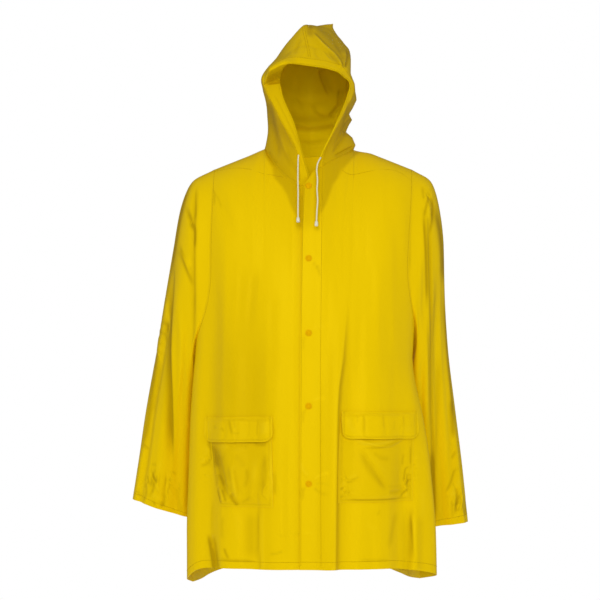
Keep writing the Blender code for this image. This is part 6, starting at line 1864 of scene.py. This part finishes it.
def pocket_flap(side, trees, look):
    """Flap with rounded lower corners, over the pocket's mouth."""
    name = "left" if side > 0 else "right"
    flap = FLAP_LEFT if side > 0 else FLAP_RIGHT
    creases = FLAP_CREASES_LEFT if side > 0 else FLAP_CREASES_RIGHT
    spread = np.linspace(-1, 1, POCKET_ACROSS + 17)
    spread = (np.sign(spread) * (1 - (1 - np.abs(spread)) ** 1.35) + 1) / 2
    across, down = np.meshgrid(spread, np.linspace(0, 1, FLAP_DOWN + 1))
    x = flap["top_inner"][0] + (flap["top_outer"][0] - flap["top_inner"][0]) * across
    z = flap["top_inner"][1] + (flap["top_outer"][1] - flap["top_inner"][1]) * across
    z = z - flap_height(flap, across) * down
    point, normal = on_film(trees, x, z, np.zeros_like(x))
    point, normal = smoothed(point, 3), smoothed(normal, 6)
    places = np.stack([x, z], -1)
    height, mark = crease_height(creases, places)
    drawn, drawn_mark = strokes(FLAP_STROKES, places)
    height, mark = height + drawn, mark + FLAP_STROKE_TONE * drawn_mark
    rim = np.minimum(np.minimum(across, 1 - across) * abs(x[0, -1] - x[0, 0]),
                     (1 - down) * flap["height"])
    mark = 0.5 * mark + rim_highlight_and_shade(rim, 0.8, 0.3)
    lift = LAYER_GAP + 0.0006 + FLAP_LIFT * ease(0, 1, down) ** 1.5 * (
        1 + 0.5 * lattice_noise(41 + side, across * 5, down))
    inner = point + normal * (lift + height * ease(0, 0.3, down))[..., None]
    film = Film()
    # a flap takes part of the painted shade of the open throat and the painted shade patch
    marks = np.stack([mark, 1 - FLAP_SHADE_SHARE * (1 - backing_light_mask(x, z))], -1)
    film.grid(inner + normal * FOLDED_THICK, inner, lambda i, j: (i, j), marks)
    item = film.shell("film_flap_" + name, look, "pocket_flap_" + name)
    return item, inner + normal * FOLDED_THICK, normal


# ---------------------------------------------------------------- stitching

def stitch_row(points, normals, pitch=0.0034, length=0.0026, width=0.00042):
    """Vertices and faces of a row of short stitches along a path on the film."""
    points, normals = np.asarray(points, float), np.asarray(normals, float)
    run = np.concatenate(([0.0], np.cumsum(np.linalg.norm(np.diff(points, axis=0), axis=1))))
    count = max(1, int(run[-1] / pitch))
    at = (np.arange(count) + 0.5) * run[-1] / count

    def along(values, where):
        return np.stack([np.interp(where, run, values[:, k]) for k in range(3)], -1)
    start, end = along(points, at - length / 2), along(points, at + length / 2)
    up = along(normals, at)
    up /= np.linalg.norm(up, axis=1, keepdims=True)
    forth = end - start
    side = np.cross(forth, up)
    side /= np.maximum(np.linalg.norm(side, axis=1, keepdims=True), 1e-9)
    lengthwise = (0.0, 0.22, 0.78, 1.0)
    rings = []
    for share, size in zip(lengthwise, (0.35, 1.0, 1.0, 0.35)):
        centre = start + forth * share
        for a, b in ((1, 0), (0.5, 0.75), (-0.5, 0.75), (-1, 0)):
            rings.append(centre + side * (a * width * size) + up * (b * width * size))
    vertices = np.stack(rings, 1).reshape(-1, 3)
    faces = []
    for n in range(count):
        base = n * 16
        for i in range(3):
            for j in range(3):
                a = base + i * 4 + j
                faces.append((a, a + 1, a + 5, a + 4))
        faces.append((base, base + 3, base + 2, base + 1))
        faces.append((base + 12, base + 13, base + 14, base + 15))
        for i in range(3):
            faces.append((base + i * 4, base + i * 4 + 4, base + i * 4 + 7, base + i * 4 + 3))
    return vertices, faces


def stitching(name, rows, look, node):
    """A piece made of rows of stitches, each row a path and its directions."""
    vertices, faces = [], []
    for points, normals in rows:
        made, ring = stitch_row(points, normals)
        base = sum(len(v) for v in vertices)
        vertices.append(made)
        faces += [tuple(base + n for n in face) for face in ring]
    mesh = bpy.data.meshes.new(name)
    mesh.from_pydata(np.concatenate(vertices), [], faces)
    mesh.shade_smooth()
    place_piece(name, mesh, look, node, stands_for=False)


def torso_path(side, half, across, level):
    """Path just over the torso with its outward directions."""
    across, level = np.broadcast_arrays(np.asarray(across, float), np.asarray(level, float))
    return torso_surface(side, half, across, level, STITCH_STAND)


# ---------------------------------------------------------------- snaps and cords

def seat(tree, x, z, out, from_inside=False):
    """Where a small hard piece sits on a front: point and outward direction."""
    spot = np.array([[x]]), np.array([[z]]), np.array([[out]])
    point, normal = on_film([tree], *spot, from_inside=from_inside)
    return Vector(point[0, 0]), Vector(normal[0, 0])


def turned(name, profile, place, facing, look, node):
    """A turned piece whose profile is radius and height along `facing`."""
    shape = bmesh.new()
    angles = [2 * math.pi * n / TURNED_SEGMENTS for n in range(TURNED_SEGMENTS)]
    rings = []
    for radius, height in profile:
        ring = angles if radius else angles[:1]
        rings.append([shape.verts.new((radius * math.cos(a), radius * math.sin(a), height))
                      for a in ring])
    for low, high in zip(rings, rings[1:]):
        for n in range(TURNED_SEGMENTS):
            after = (n + 1) % TURNED_SEGMENTS
            if len(low) == 1:
                shape.faces.new((low[0], high[after], high[n]))
            elif len(high) == 1:
                shape.faces.new((low[n], low[after], high[0]))
            else:
                shape.faces.new((low[n], low[after], high[after], high[n]))
    bmesh.ops.recalc_face_normals(shape, faces=shape.faces)
    turn = Vector((0, 0, 1)).rotation_difference(facing).to_matrix().to_4x4()
    bmesh.ops.transform(shape, matrix=Matrix.Translation(place) @ turn, verts=shape.verts)
    mesh = bpy.data.meshes.new(name)
    shape.to_mesh(mesh)
    shape.free()
    mesh.shade_smooth()
    return place_piece(name, mesh, look, node)


def snaps(over, under, look):
    """Caps on the left front and stud backs inside the right front."""
    r, h = SNAP_RADIUS, SNAP_THICK
    cap = ((0.0, -0.0002), (r * 0.9, -0.0002), (r * 0.97, h * 0.1), (r, h * 0.28),
           (r * 0.985, h * 0.5), (r * 0.93, h * 0.68), (r * 0.84, h * 0.78),
           (r * 0.74, h * 0.76), (r * 0.66, h * 0.66), (r * 0.60, h * 0.66),
           (r * 0.52, h * 0.80), (r * 0.36, h * 0.93), (r * 0.18, h * 0.99), (0.0, h))
    b, k = SNAP_BACK_RADIUS, SNAP_THICK * 0.6
    back = ((0.0, 0.0), (b * 0.95, 0.0), (b, k * 0.3), (b * 0.95, k * 0.75), (b * 0.8, k),
            (b * 0.45, k), (b * 0.38, k * 0.6), (b * 0.2, k * 0.55), (0.0, k * 0.6))
    for number, z in enumerate(SNAP_HEIGHTS, 1):
        place, facing = seat(over, SNAP_X, z, SNAP_GAP)
        turned(f"snap_{number}_cap", cap, place, facing, look, f"snap_cap_{number}")
        place, facing = seat(under, SNAP_X, min(z, SNAP_BACK_TOP), -SNAP_GAP, True)
        turned(f"snap_{number}_back", back, place, -facing, look, f"snap_back_{number}")


def cord_path(points, step):
    """Points of a smooth cord through its stops, one at each step."""
    stops = np.array(points)
    run = np.concatenate(([0.0], np.cumsum(np.linalg.norm(np.diff(stops, axis=0), axis=1))))
    at = np.linspace(0, run[-1], int(run[-1] / step) + 1)
    return np.stack([smooth(run, stops[:, k], at) for k in range(3)], -1)


def braided(name, path, look, node):
    """A round braided cord: strands cross in small diamonds round the path."""
    tangent = np.gradient(path, axis=0)
    tangent /= np.linalg.norm(tangent, axis=1, keepdims=True)
    side = np.cross(tangent, (0.0, 1.0, 0.0))
    side /= np.linalg.norm(side, axis=1, keepdims=True)
    front = np.cross(side, tangent)
    run = np.concatenate(([0.0], np.cumsum(np.linalg.norm(np.diff(path, axis=0), axis=1))))
    around = np.linspace(0, 2 * math.pi, CORD_SIDES, endpoint=False)
    twist = run[:, None] / BRAID_PITCH * 2 * math.pi
    strands = np.abs(np.sin(around * 2 + twist)) * np.abs(np.sin(around * 2 - twist))
    radius = CORD_DIAMETER / 2 * (0.90 + 0.13 * strands ** 0.6)
    ring = (path[:, None] + side[:, None] * (np.cos(around) * radius)[..., None]
            + front[:, None] * (np.sin(around) * radius)[..., None])
    count = len(around)
    faces = [(i * count + j, i * count + (j + 1) % count,
              (i + 1) * count + (j + 1) % count, (i + 1) * count + j)
             for i in range(len(path) - 1) for j in range(count)]
    last = (len(path) - 1) * count
    faces += [tuple(range(count))[::-1], tuple(range(last, last + count))]
    mesh = bpy.data.meshes.new(name)
    mesh.from_pydata(ring.reshape(-1, 3), [], faces)
    mesh.validate()
    mesh.shade_smooth()
    layer = mesh.attributes.new("braid", "FLOAT", "POINT")
    layer.data.foreach_set("value", strands.reshape(-1).astype(np.float32))
    return place_piece(name, mesh, look, node)


def drawstrings(braid, plastic):
    """The two free ends of the drawstring, each with its moulded end."""
    r, l = CORD_END_RADIUS, CORD_END_LENGTH
    profile = ((0.0, 0.0), (r * 0.52, 0.0), (r * 0.62, 0.0004), (r * 0.74, 0.0014),
               (r * 0.80, l * 0.22), (r * 0.92, l * 0.45), (r * 0.99, l * 0.68),
               (r, l * 0.80), (r * 0.97, l * 0.92), (r * 0.88, l), (r * 0.60, l),
               (r * 0.52, l * 0.93), (0.0, l * 0.92))
    for side, points in CORD_ROUTES.items():
        path = cord_path(points, CORD_STEP)
        cord = braided("drawstring_braid_" + side, path, braid, "drawstring_" + side)
        facing = Vector(path[-1] - path[-2]).normalized()
        end = turned("drawstring_end_" + side, profile, Vector(path[-1]) - facing * CORD_STEP,
                     facing, plastic, "cord_end_" + side)


# ---------------------------------------------------------------- shader groups

def shader_group(name, inputs, outputs):
    """An empty node group with named sockets: (title, kind, default)."""
    group = bpy.data.node_groups.new(name, "ShaderNodeTree")
    for title, kind, value in inputs:
        socket = group.interface.new_socket(title, in_out="INPUT", socket_type=kind)
        socket.default_value = value
    for title, kind in outputs:
        group.interface.new_socket(title, in_out="OUTPUT", socket_type=kind)
    return group, group.nodes.new("NodeGroupInput"), group.nodes.new("NodeGroupOutput")


def node(tree, kind, settings=(), **values):
    """A node with its settings, its sockets by name, linked where given a socket."""
    made = tree.nodes.new(kind)
    for key, value in dict(settings).items():
        setattr(made, key, value)
    for key, value in values.items():
        title = key.replace("_", " ")
        socket = made.inputs[int(key[1:])] if key[1:].isdigit() else made.inputs[title]
        if isinstance(value, bpy.types.NodeSocket):
            tree.links.new(value, socket)
        else:
            socket.default_value = value
    return made


def math_node(tree, operation, a, b=0.0, clamp=False):
    return node(tree, "ShaderNodeMath", {"operation": operation, "use_clamp": clamp},
                _0=a, _1=b).outputs[0]


def blend_colour(tree, share, a, b):
    made = tree.nodes.new("ShaderNodeMix")
    made.data_type = "RGBA"
    for socket, value in ((made.inputs[0], share), (made.inputs[6], a), (made.inputs[7], b)):
        if isinstance(value, bpy.types.NodeSocket):
            tree.links.new(value, socket)
        else:
            socket.default_value = value
    return made.outputs[2]


def film_surface_group():
    """Fine grain, soft crinkles and cloudy thickness of a pressed plastic film, with
    painted light from the mesh's marks: the painted shade colour where the backing
    light is low, lighter painted insides, painted shade in folds and a painted highlight on ridges.
    """
    colour, number = "NodeSocketColor", "NodeSocketFloat"
    group, into, out = shader_group(
        "film_surface",
        (("Film", colour, (0.8, 0.5, 0.0, 1)), ("Painted shade", colour, (0.6, 0.35, 0.0, 1)),
         ("Inside", colour, (0.8, 0.5, 0.0, 1)), ("Fold", colour, (0.5, 0.3, 0.0, 1)),
         ("Grain", number, 0.25), ("Crinkle", number, 0.4), ("Clouds", number, 0.12)),
        (("Color", colour), ("Roughness", number), ("Height", number)))
    place = node(group, "ShaderNodeTexCoord").outputs["Object"]
    clouds = node(group, "ShaderNodeTexNoise", Vector=place, Scale=9.0, Detail=3.0,
                  Roughness=0.55).outputs["Fac"]
    stretched = node(group, "ShaderNodeMapping", Vector=place, Scale=(1.0, 1.0, 0.35))
    crinkle = node(group, "ShaderNodeTexNoise", Vector=stretched.outputs[0], Scale=46.0,
                   Detail=4.0, Roughness=0.5, Distortion=0.6).outputs["Fac"]
    grain = node(group, "ShaderNodeTexNoise", Vector=place, Scale=1400.0, Detail=1.0,
                 Roughness=0.5).outputs["Fac"]
    crease = node(group, "ShaderNodeAttribute", {"attribute_name": "crease"}).outputs["Fac"]
    backing_light = node(group, "ShaderNodeAttribute", {"attribute_name": "backing_light"}).outputs["Fac"]
    uneven = math_node(group, "MULTIPLY", math_node(group, "SUBTRACT", clouds, 0.5),
                       into.outputs["Clouds"])
    # painted shade colour where the backing light is low
    lightness = math_node(group, "ADD", backing_light, uneven, clamp=True)
    colour_out = blend_colour(group, lightness, into.outputs["Painted shade"], into.outputs["Film"])
    # the inner faces take the Inside colour, a painted light on the hood and back
    inside = node(group, "ShaderNodeAttribute", {"attribute_name": "inside"}).outputs["Fac"]
    colour_out = blend_colour(group, inside, colour_out, into.outputs["Inside"])
    # painted shade in folds, creases and strokes
    fold_shade_share = math_node(group, "MULTIPLY", crease, -0.9, clamp=True)
    colour_out = blend_colour(group, fold_shade_share, colour_out, into.outputs["Fold"])
    # painted highlight on sharp ridges
    ridge = math_node(group, "MULTIPLY", crease, 0.30, clamp=True)
    ridge_highlight = blend_colour(group, ridge, colour_out, (0.95, 0.70, 0.02, 1))
    group.links.new(ridge_highlight, out.inputs["Color"])
    rough = math_node(group, "ADD", math_node(group, "MULTIPLY", clouds, 0.12),
                      math_node(group, "MULTIPLY", grain, 0.08))
    group.links.new(math_node(group, "ADD", rough, 0.28), out.inputs["Roughness"])
    height = math_node(group, "ADD", math_node(group, "MULTIPLY", crinkle, into.outputs["Crinkle"]),
                       math_node(group, "MULTIPLY", grain, into.outputs["Grain"]))
    group.links.new(height, out.inputs["Height"])
    return group


FILM_GROUP = film_surface_group()


def new_look(name):
    """An empty look: the material, its tree and its shader."""
    look = bpy.data.materials.new(name)
    look.use_nodes = True
    return look, look.node_tree, look.node_tree.nodes["Principled BSDF"]


def film_look(name, film=FILM_YELLOW, painted_shade=FILM_PAINTED_SHADE, inside=FILM_YELLOW, fold=FOLD_SHADE_YELLOW,
              crinkle=0.35, grain=0.05):
    """Thin pressed film with a soft sheen, a material of its own for each piece."""
    look, tree, shader = new_look(name)
    group = tree.nodes.new("ShaderNodeGroup")
    group.node_tree = FILM_GROUP
    # Inside is the inner faces' colour, a painted light on the hood and back; Painted shade and
    # Fold are painted shade colours.
    for title, value in (("Film", film), ("Painted shade", painted_shade), ("Inside", inside), ("Fold", fold),
                         ("Crinkle", crinkle), ("Grain", grain)):
        group.inputs[title].default_value = value
    tree.links.new(group.outputs["Color"], shader.inputs["Base Color"])
    tree.links.new(group.outputs["Roughness"], shader.inputs["Roughness"])
    bump = node(tree, "ShaderNodeBump", Strength=0.35, Distance=0.0012,
                Height=group.outputs["Height"])
    tree.links.new(bump.outputs[0], shader.inputs["Normal"])
    shader.inputs["Specular IOR Level"].default_value = 0.26
    shader.inputs["Specular Tint"].default_value = SHEEN_TINT
    return look


def plastic_look(name, colour, rough, speckle=0.06):
    """Moulded plastic with a faint flow pattern."""
    look, tree, shader = new_look(name)
    place = node(tree, "ShaderNodeTexCoord").outputs["Object"]
    flow = node(tree, "ShaderNodeTexNoise", Vector=place, Scale=420.0, Detail=2.0).outputs["Fac"]
    darker = tuple(c * (1 - 2.5 * speckle) for c in colour[:3]) + (1.0,)
    tree.links.new(blend_colour(tree, flow, darker, colour), shader.inputs["Base Color"])
    tree.links.new(math_node(tree, "ADD", math_node(tree, "MULTIPLY", flow, 0.15), rough - 0.07),
                   shader.inputs["Roughness"])
    shader.inputs["Specular IOR Level"].default_value = 0.3
    shader.inputs["Specular Tint"].default_value = tuple(colour)
    bump = node(tree, "ShaderNodeBump", Strength=0.12, Distance=0.0002, Height=flow)
    tree.links.new(bump.outputs[0], shader.inputs["Normal"])
    return look


def thread_look(name, colour):
    """Sewing thread with its fine twist."""
    look, tree, shader = new_look(name)
    place = node(tree, "ShaderNodeTexCoord").outputs["Object"]
    twist = node(tree, "ShaderNodeTexNoise", Vector=place, Scale=2500.0, Detail=1.0).outputs["Fac"]
    darker = tuple(c * 0.8 for c in colour[:3]) + (1.0,)
    tree.links.new(blend_colour(tree, twist, darker, colour), shader.inputs["Base Color"])
    shader.inputs["Roughness"].default_value = 0.6
    shader.inputs["Specular IOR Level"].default_value = 0.2
    shader.inputs["Specular Tint"].default_value = colour
    return look


def braid_look(name):
    """Cream braided cord with painted shade between its strands, and fine fibres."""
    look, tree, shader = new_look(name)
    strand = node(tree, "ShaderNodeAttribute", {"attribute_name": "braid"}).outputs["Fac"]
    place = node(tree, "ShaderNodeTexCoord").outputs["Object"]
    fibre = node(tree, "ShaderNodeTexNoise", Vector=place, Scale=3200.0, Detail=2.0).outputs["Fac"]
    raised = math_node(tree, "POWER", strand, 0.4)
    colour = blend_colour(tree, raised, CORD_GROOVE_SHADE, CORD_CREAM)
    colour = blend_colour(tree, math_node(tree, "MULTIPLY", fibre, 0.35), colour,
                          tuple(c * 0.86 for c in CORD_CREAM[:3]) + (1.0,))
    tree.links.new(colour, shader.inputs["Base Color"])
    shader.inputs["Roughness"].default_value = 0.75
    bump = node(tree, "ShaderNodeBump", Strength=0.4, Distance=0.0002, Height=fibre)
    tree.links.new(bump.outputs[0], shader.inputs["Normal"])
    return look


# ---------------------------------------------------------------- studio

def studio():
    """White surroundings, a pale floor at the wearer's feet and soft lamps."""
    scene = bpy.context.scene
    scene.view_settings.view_transform = "Standard"
    world = bpy.data.worlds.new("white_studio")
    scene.world = world
    world.use_nodes = True
    tree = world.node_tree
    background = tree.nodes["Background"]
    seen = tree.nodes.new("ShaderNodeBackground")
    seen.inputs["Color"].default_value = (1, 1, 1, 1)
    background.inputs["Color"].default_value = AMBIENT
    background.inputs["Strength"].default_value = AMBIENT_STRENGTH
    dim = tree.nodes.new("ShaderNodeBackground")
    dim.inputs["Color"].default_value = AMBIENT
    dim.inputs["Strength"].default_value = SHEEN_STRENGTH
    ray = tree.nodes.new("ShaderNodeLightPath")
    soft = tree.nodes.new("ShaderNodeMixShader")
    tree.links.new(ray.outputs["Is Glossy Ray"], soft.inputs[0])
    tree.links.new(background.outputs[0], soft.inputs[1])
    tree.links.new(dim.outputs[0], soft.inputs[2])
    mix = tree.nodes.new("ShaderNodeMixShader")
    tree.links.new(ray.outputs["Is Camera Ray"], mix.inputs[0])
    tree.links.new(soft.outputs[0], mix.inputs[1])
    tree.links.new(seen.outputs[0], mix.inputs[2])
    tree.links.new(mix.outputs[0], tree.nodes["World Output"].inputs["Surface"])
    for name, place, target, size, power, in_sheen in LAMPS:
        lamp = bpy.data.lights.new(name, "AREA")
        lamp.shape = "RECTANGLE"
        lamp.size, lamp.size_y = size
        lamp.energy = power
        item = bpy.data.objects.new(name, lamp)
        item.visible_glossy = in_sheen
        item.visible_camera = False
        item.location = place
        item.rotation_euler = (Vector(target) - Vector(place)).to_track_quat("-Z", "Y").to_euler()
        scene.collection.objects.link(item)
    mesh = bpy.data.meshes.new("floor")
    shape = bmesh.new()
    bmesh.ops.create_circle(shape, cap_ends=True, segments=96, radius=2.6)
    shape.to_mesh(mesh)
    shape.free()
    look, _, shader = new_look("floor_white")
    shader.inputs["Base Color"].default_value = (0.94, 0.94, 0.94, 1)
    shader.inputs["Roughness"].default_value = 0.85
    mesh.materials.append(look)
    floor = bpy.data.objects.new("floor", mesh)
    floor.location = (0.0, 0.0, FLOOR_Z)
    scene.collection.objects.link(floor)


# ---------------------------------------------------------------- the coat

def coat_stitching(look):
    """Rows of stitches along the hems and the front edge."""
    hem_level = (HEM_DEPTH - HEM_STITCH_IN) / SIDE_SEAM_LENGTH
    rows = []
    for side in (-1, 1):
        run = np.linspace(0, 1, 160)
        free = float(front_free_across(side, 0.0))
        line = free + (side - free) * run
        rows.append(torso_path(side, "front", line, hem_level * UNDERARM_LEVEL[side]))
    stitching("stitches_front_hem", rows, look, "front_panel_left")
    line = np.linspace(-1, 1, 300)
    level = np.where(line < 0, UNDERARM_LEVEL[-1], UNDERARM_LEVEL[1]) * hem_level
    stitching("stitches_back_hem", [torso_path(1, "back", line, level)], look, "back_panel")
    level = np.linspace(0.02, 1.93, 400)
    placket = across_of(PLACKET_STITCH / torso_value("half_left", CHEST_LINE_Z))
    rows = [torso_path(1, "front", np.full_like(level, float(placket)), level),
            torso_path(1, "front", front_free_across(1, level) + 0.006, level)]
    stitching("stitches_placket", rows, look, "front_panel_left")


def evened(path, rounds=90):
    """A row of vectors with its small bends evened out between its ends."""
    for _ in range(rounds):
        path = np.concatenate((path[:1], (path[:-2] + 2 * path[1:-1] + path[2:]) / 4, path[-1:]))
    return path


def armhole_stitching(side, look):
    """Two rows by an armhole and the row along the shoulder seam, on one side."""
    name = "left" if side > 0 else "right"
    rows = []
    start = UNDERARM_LEVEL[side] + 0.006
    for half in ("front", "back"):
        level = np.linspace(start, 1.995, 260)
        across = side * (armhole_across(side, level) - ARM_STITCH)
        rows.append(torso_path(side, half, across, level))
    across = np.linspace(float(collar_columns(side)[0]) + 0.04, TIP_AT[side] - 0.01, 120)
    level = np.minimum(seam_level(side, side * across, 0.004), 1.995)
    rows.append([evened(v) for v in torso_path(side, "front", side * across, level)])
    stitching("stitches_armhole_" + name, rows, look, "back_panel")


def hood_path(line, row):
    """Path on the hood's outside with its outward directions."""
    line, row = np.broadcast_arrays(np.asarray(line, float), np.asarray(row, float))
    raised = np.where(line < 1, CHANNEL_RAISE, 0.0)
    outer, inner, _ = hood_shell(line[None], row[None], FILM_THICK, raised)
    out = (outer - inner)[0]
    out /= np.linalg.norm(out, axis=-1, keepdims=True)
    return outer[0] + out * STITCH_STAND, out


def hood_stitching(look):
    """Rows along the channel, the top and back seam and the neck."""
    climb = np.linspace(0.12, LAST_ROW - 0.12, 700)
    rows = [hood_path(0.90, climb), hood_path(0.12, climb)]
    over = np.linspace(1.04, CENTRE_BACK - 0.06, 200)
    for side_row, down in ((TOP_ROW - 0.05, np.linspace(TOP_ROW - 0.1, 0.2, 160)),
                           (TOP_ROW + 0.05, np.linspace(TOP_ROW + 0.1, LAST_ROW - 0.2, 160))):
        rows += [hood_path(over, side_row), hood_path(CENTRE_BACK - 0.04, down)]
    round_neck = np.linspace(1.05, CENTRE_BACK - 0.05, 200)
    rows += [hood_path(round_neck, 0.10), hood_path(round_neck, LAST_ROW - 0.10)]
    stitching("stitches_hood", rows, look, "hood_channel")


def pocket_stitching(name, bag, bag_normal, flap, flap_normal, look):
    """Stitches round a bag and a flap, from their grids."""
    inset = 4
    b = [(bag[i, inset], bag_normal[i, inset]) for i in range(4, POCKET_DOWN - inset + 1)]
    b += [(bag[POCKET_DOWN - inset, j], bag_normal[POCKET_DOWN - inset, j])
          for j in range(inset, POCKET_ACROSS - inset + 1)]
    b += [(bag[i, POCKET_ACROSS - inset], bag_normal[i, POCKET_ACROSS - inset])
          for i in range(POCKET_DOWN - inset, 3, -1)]
    last = flap.shape[1] - 1
    f = [(flap[i, 5], flap_normal[i, 5]) for i in range(2, FLAP_DOWN - 1)]
    f += [(flap[FLAP_DOWN - 2, j], flap_normal[FLAP_DOWN - 2, j]) for j in range(5, last - 4)]
    f += [(flap[i, last - 5], flap_normal[i, last - 5]) for i in range(FLAP_DOWN - 2, 1, -1)]
    top = [(flap[2, j], flap_normal[2, j]) for j in range(2, last - 1)]
    rows = [tuple(np.array([p[k] for p in path]) for k in (0, 1)) for path in (b, f, top)]
    stitching("stitches_pocket_" + name, rows, look, "pocket_bag_" + name)


def side_pieces(side, thread, pocket_thread):
    """All the pieces of one side. Returns its front as a tree."""
    name = "left" if side > 0 else "right"
    front = piece_tree(front_panel(side, film_look("film_front_" + name)))
    cuff, cuff_out = sleeve(side, film_look("film_sleeve_" + name, crinkle=0.5))
    stitching("stitches_cuff_" + name, [(cuff + STITCH_STAND * cuff_out, cuff_out)], thread,
              "sleeve_" + name)
    armhole_stitching(side, thread)
    hood_panel(side, film_look("film_hood_" + name, inside=HOOD_INSIDE_PAINTED_LIGHT))
    bag, *bag_grid = pocket_bag(side, front, film_look("film_pocket_" + name))
    _, *flap_grid = pocket_flap(side, [front, piece_tree(bag)], film_look("film_flap_" + name))
    pocket_stitching(name, *bag_grid, *flap_grid, pocket_thread)
    return front


def coat():
    """Every piece of the coat, in order."""
    drawstrings(braid_look("cord_braid"), plastic_look("cord_end_plastic", END_CREAM, 0.4))
    thread = thread_look("yellow_thread", THREAD_SEAM_SHADE_YELLOW)
    pocket_thread = thread_look("pocket_thread", POCKET_THREAD)
    back_panel(film_look("film_back", inside=BACK_INSIDE_PAINTED_LIGHT))
    under, over = (side_pieces(side, thread, pocket_thread) for side in (-1, 1))
    hood_channel(film_look("film_channel", inside=HOOD_INSIDE_PAINTED_LIGHT, crinkle=0.6))
    snaps(over, under, plastic_look("snap_plastic", SNAP_ORANGE, 0.3))
    coat_stitching(thread)
    hood_stitching(thread)


studio()
coat()
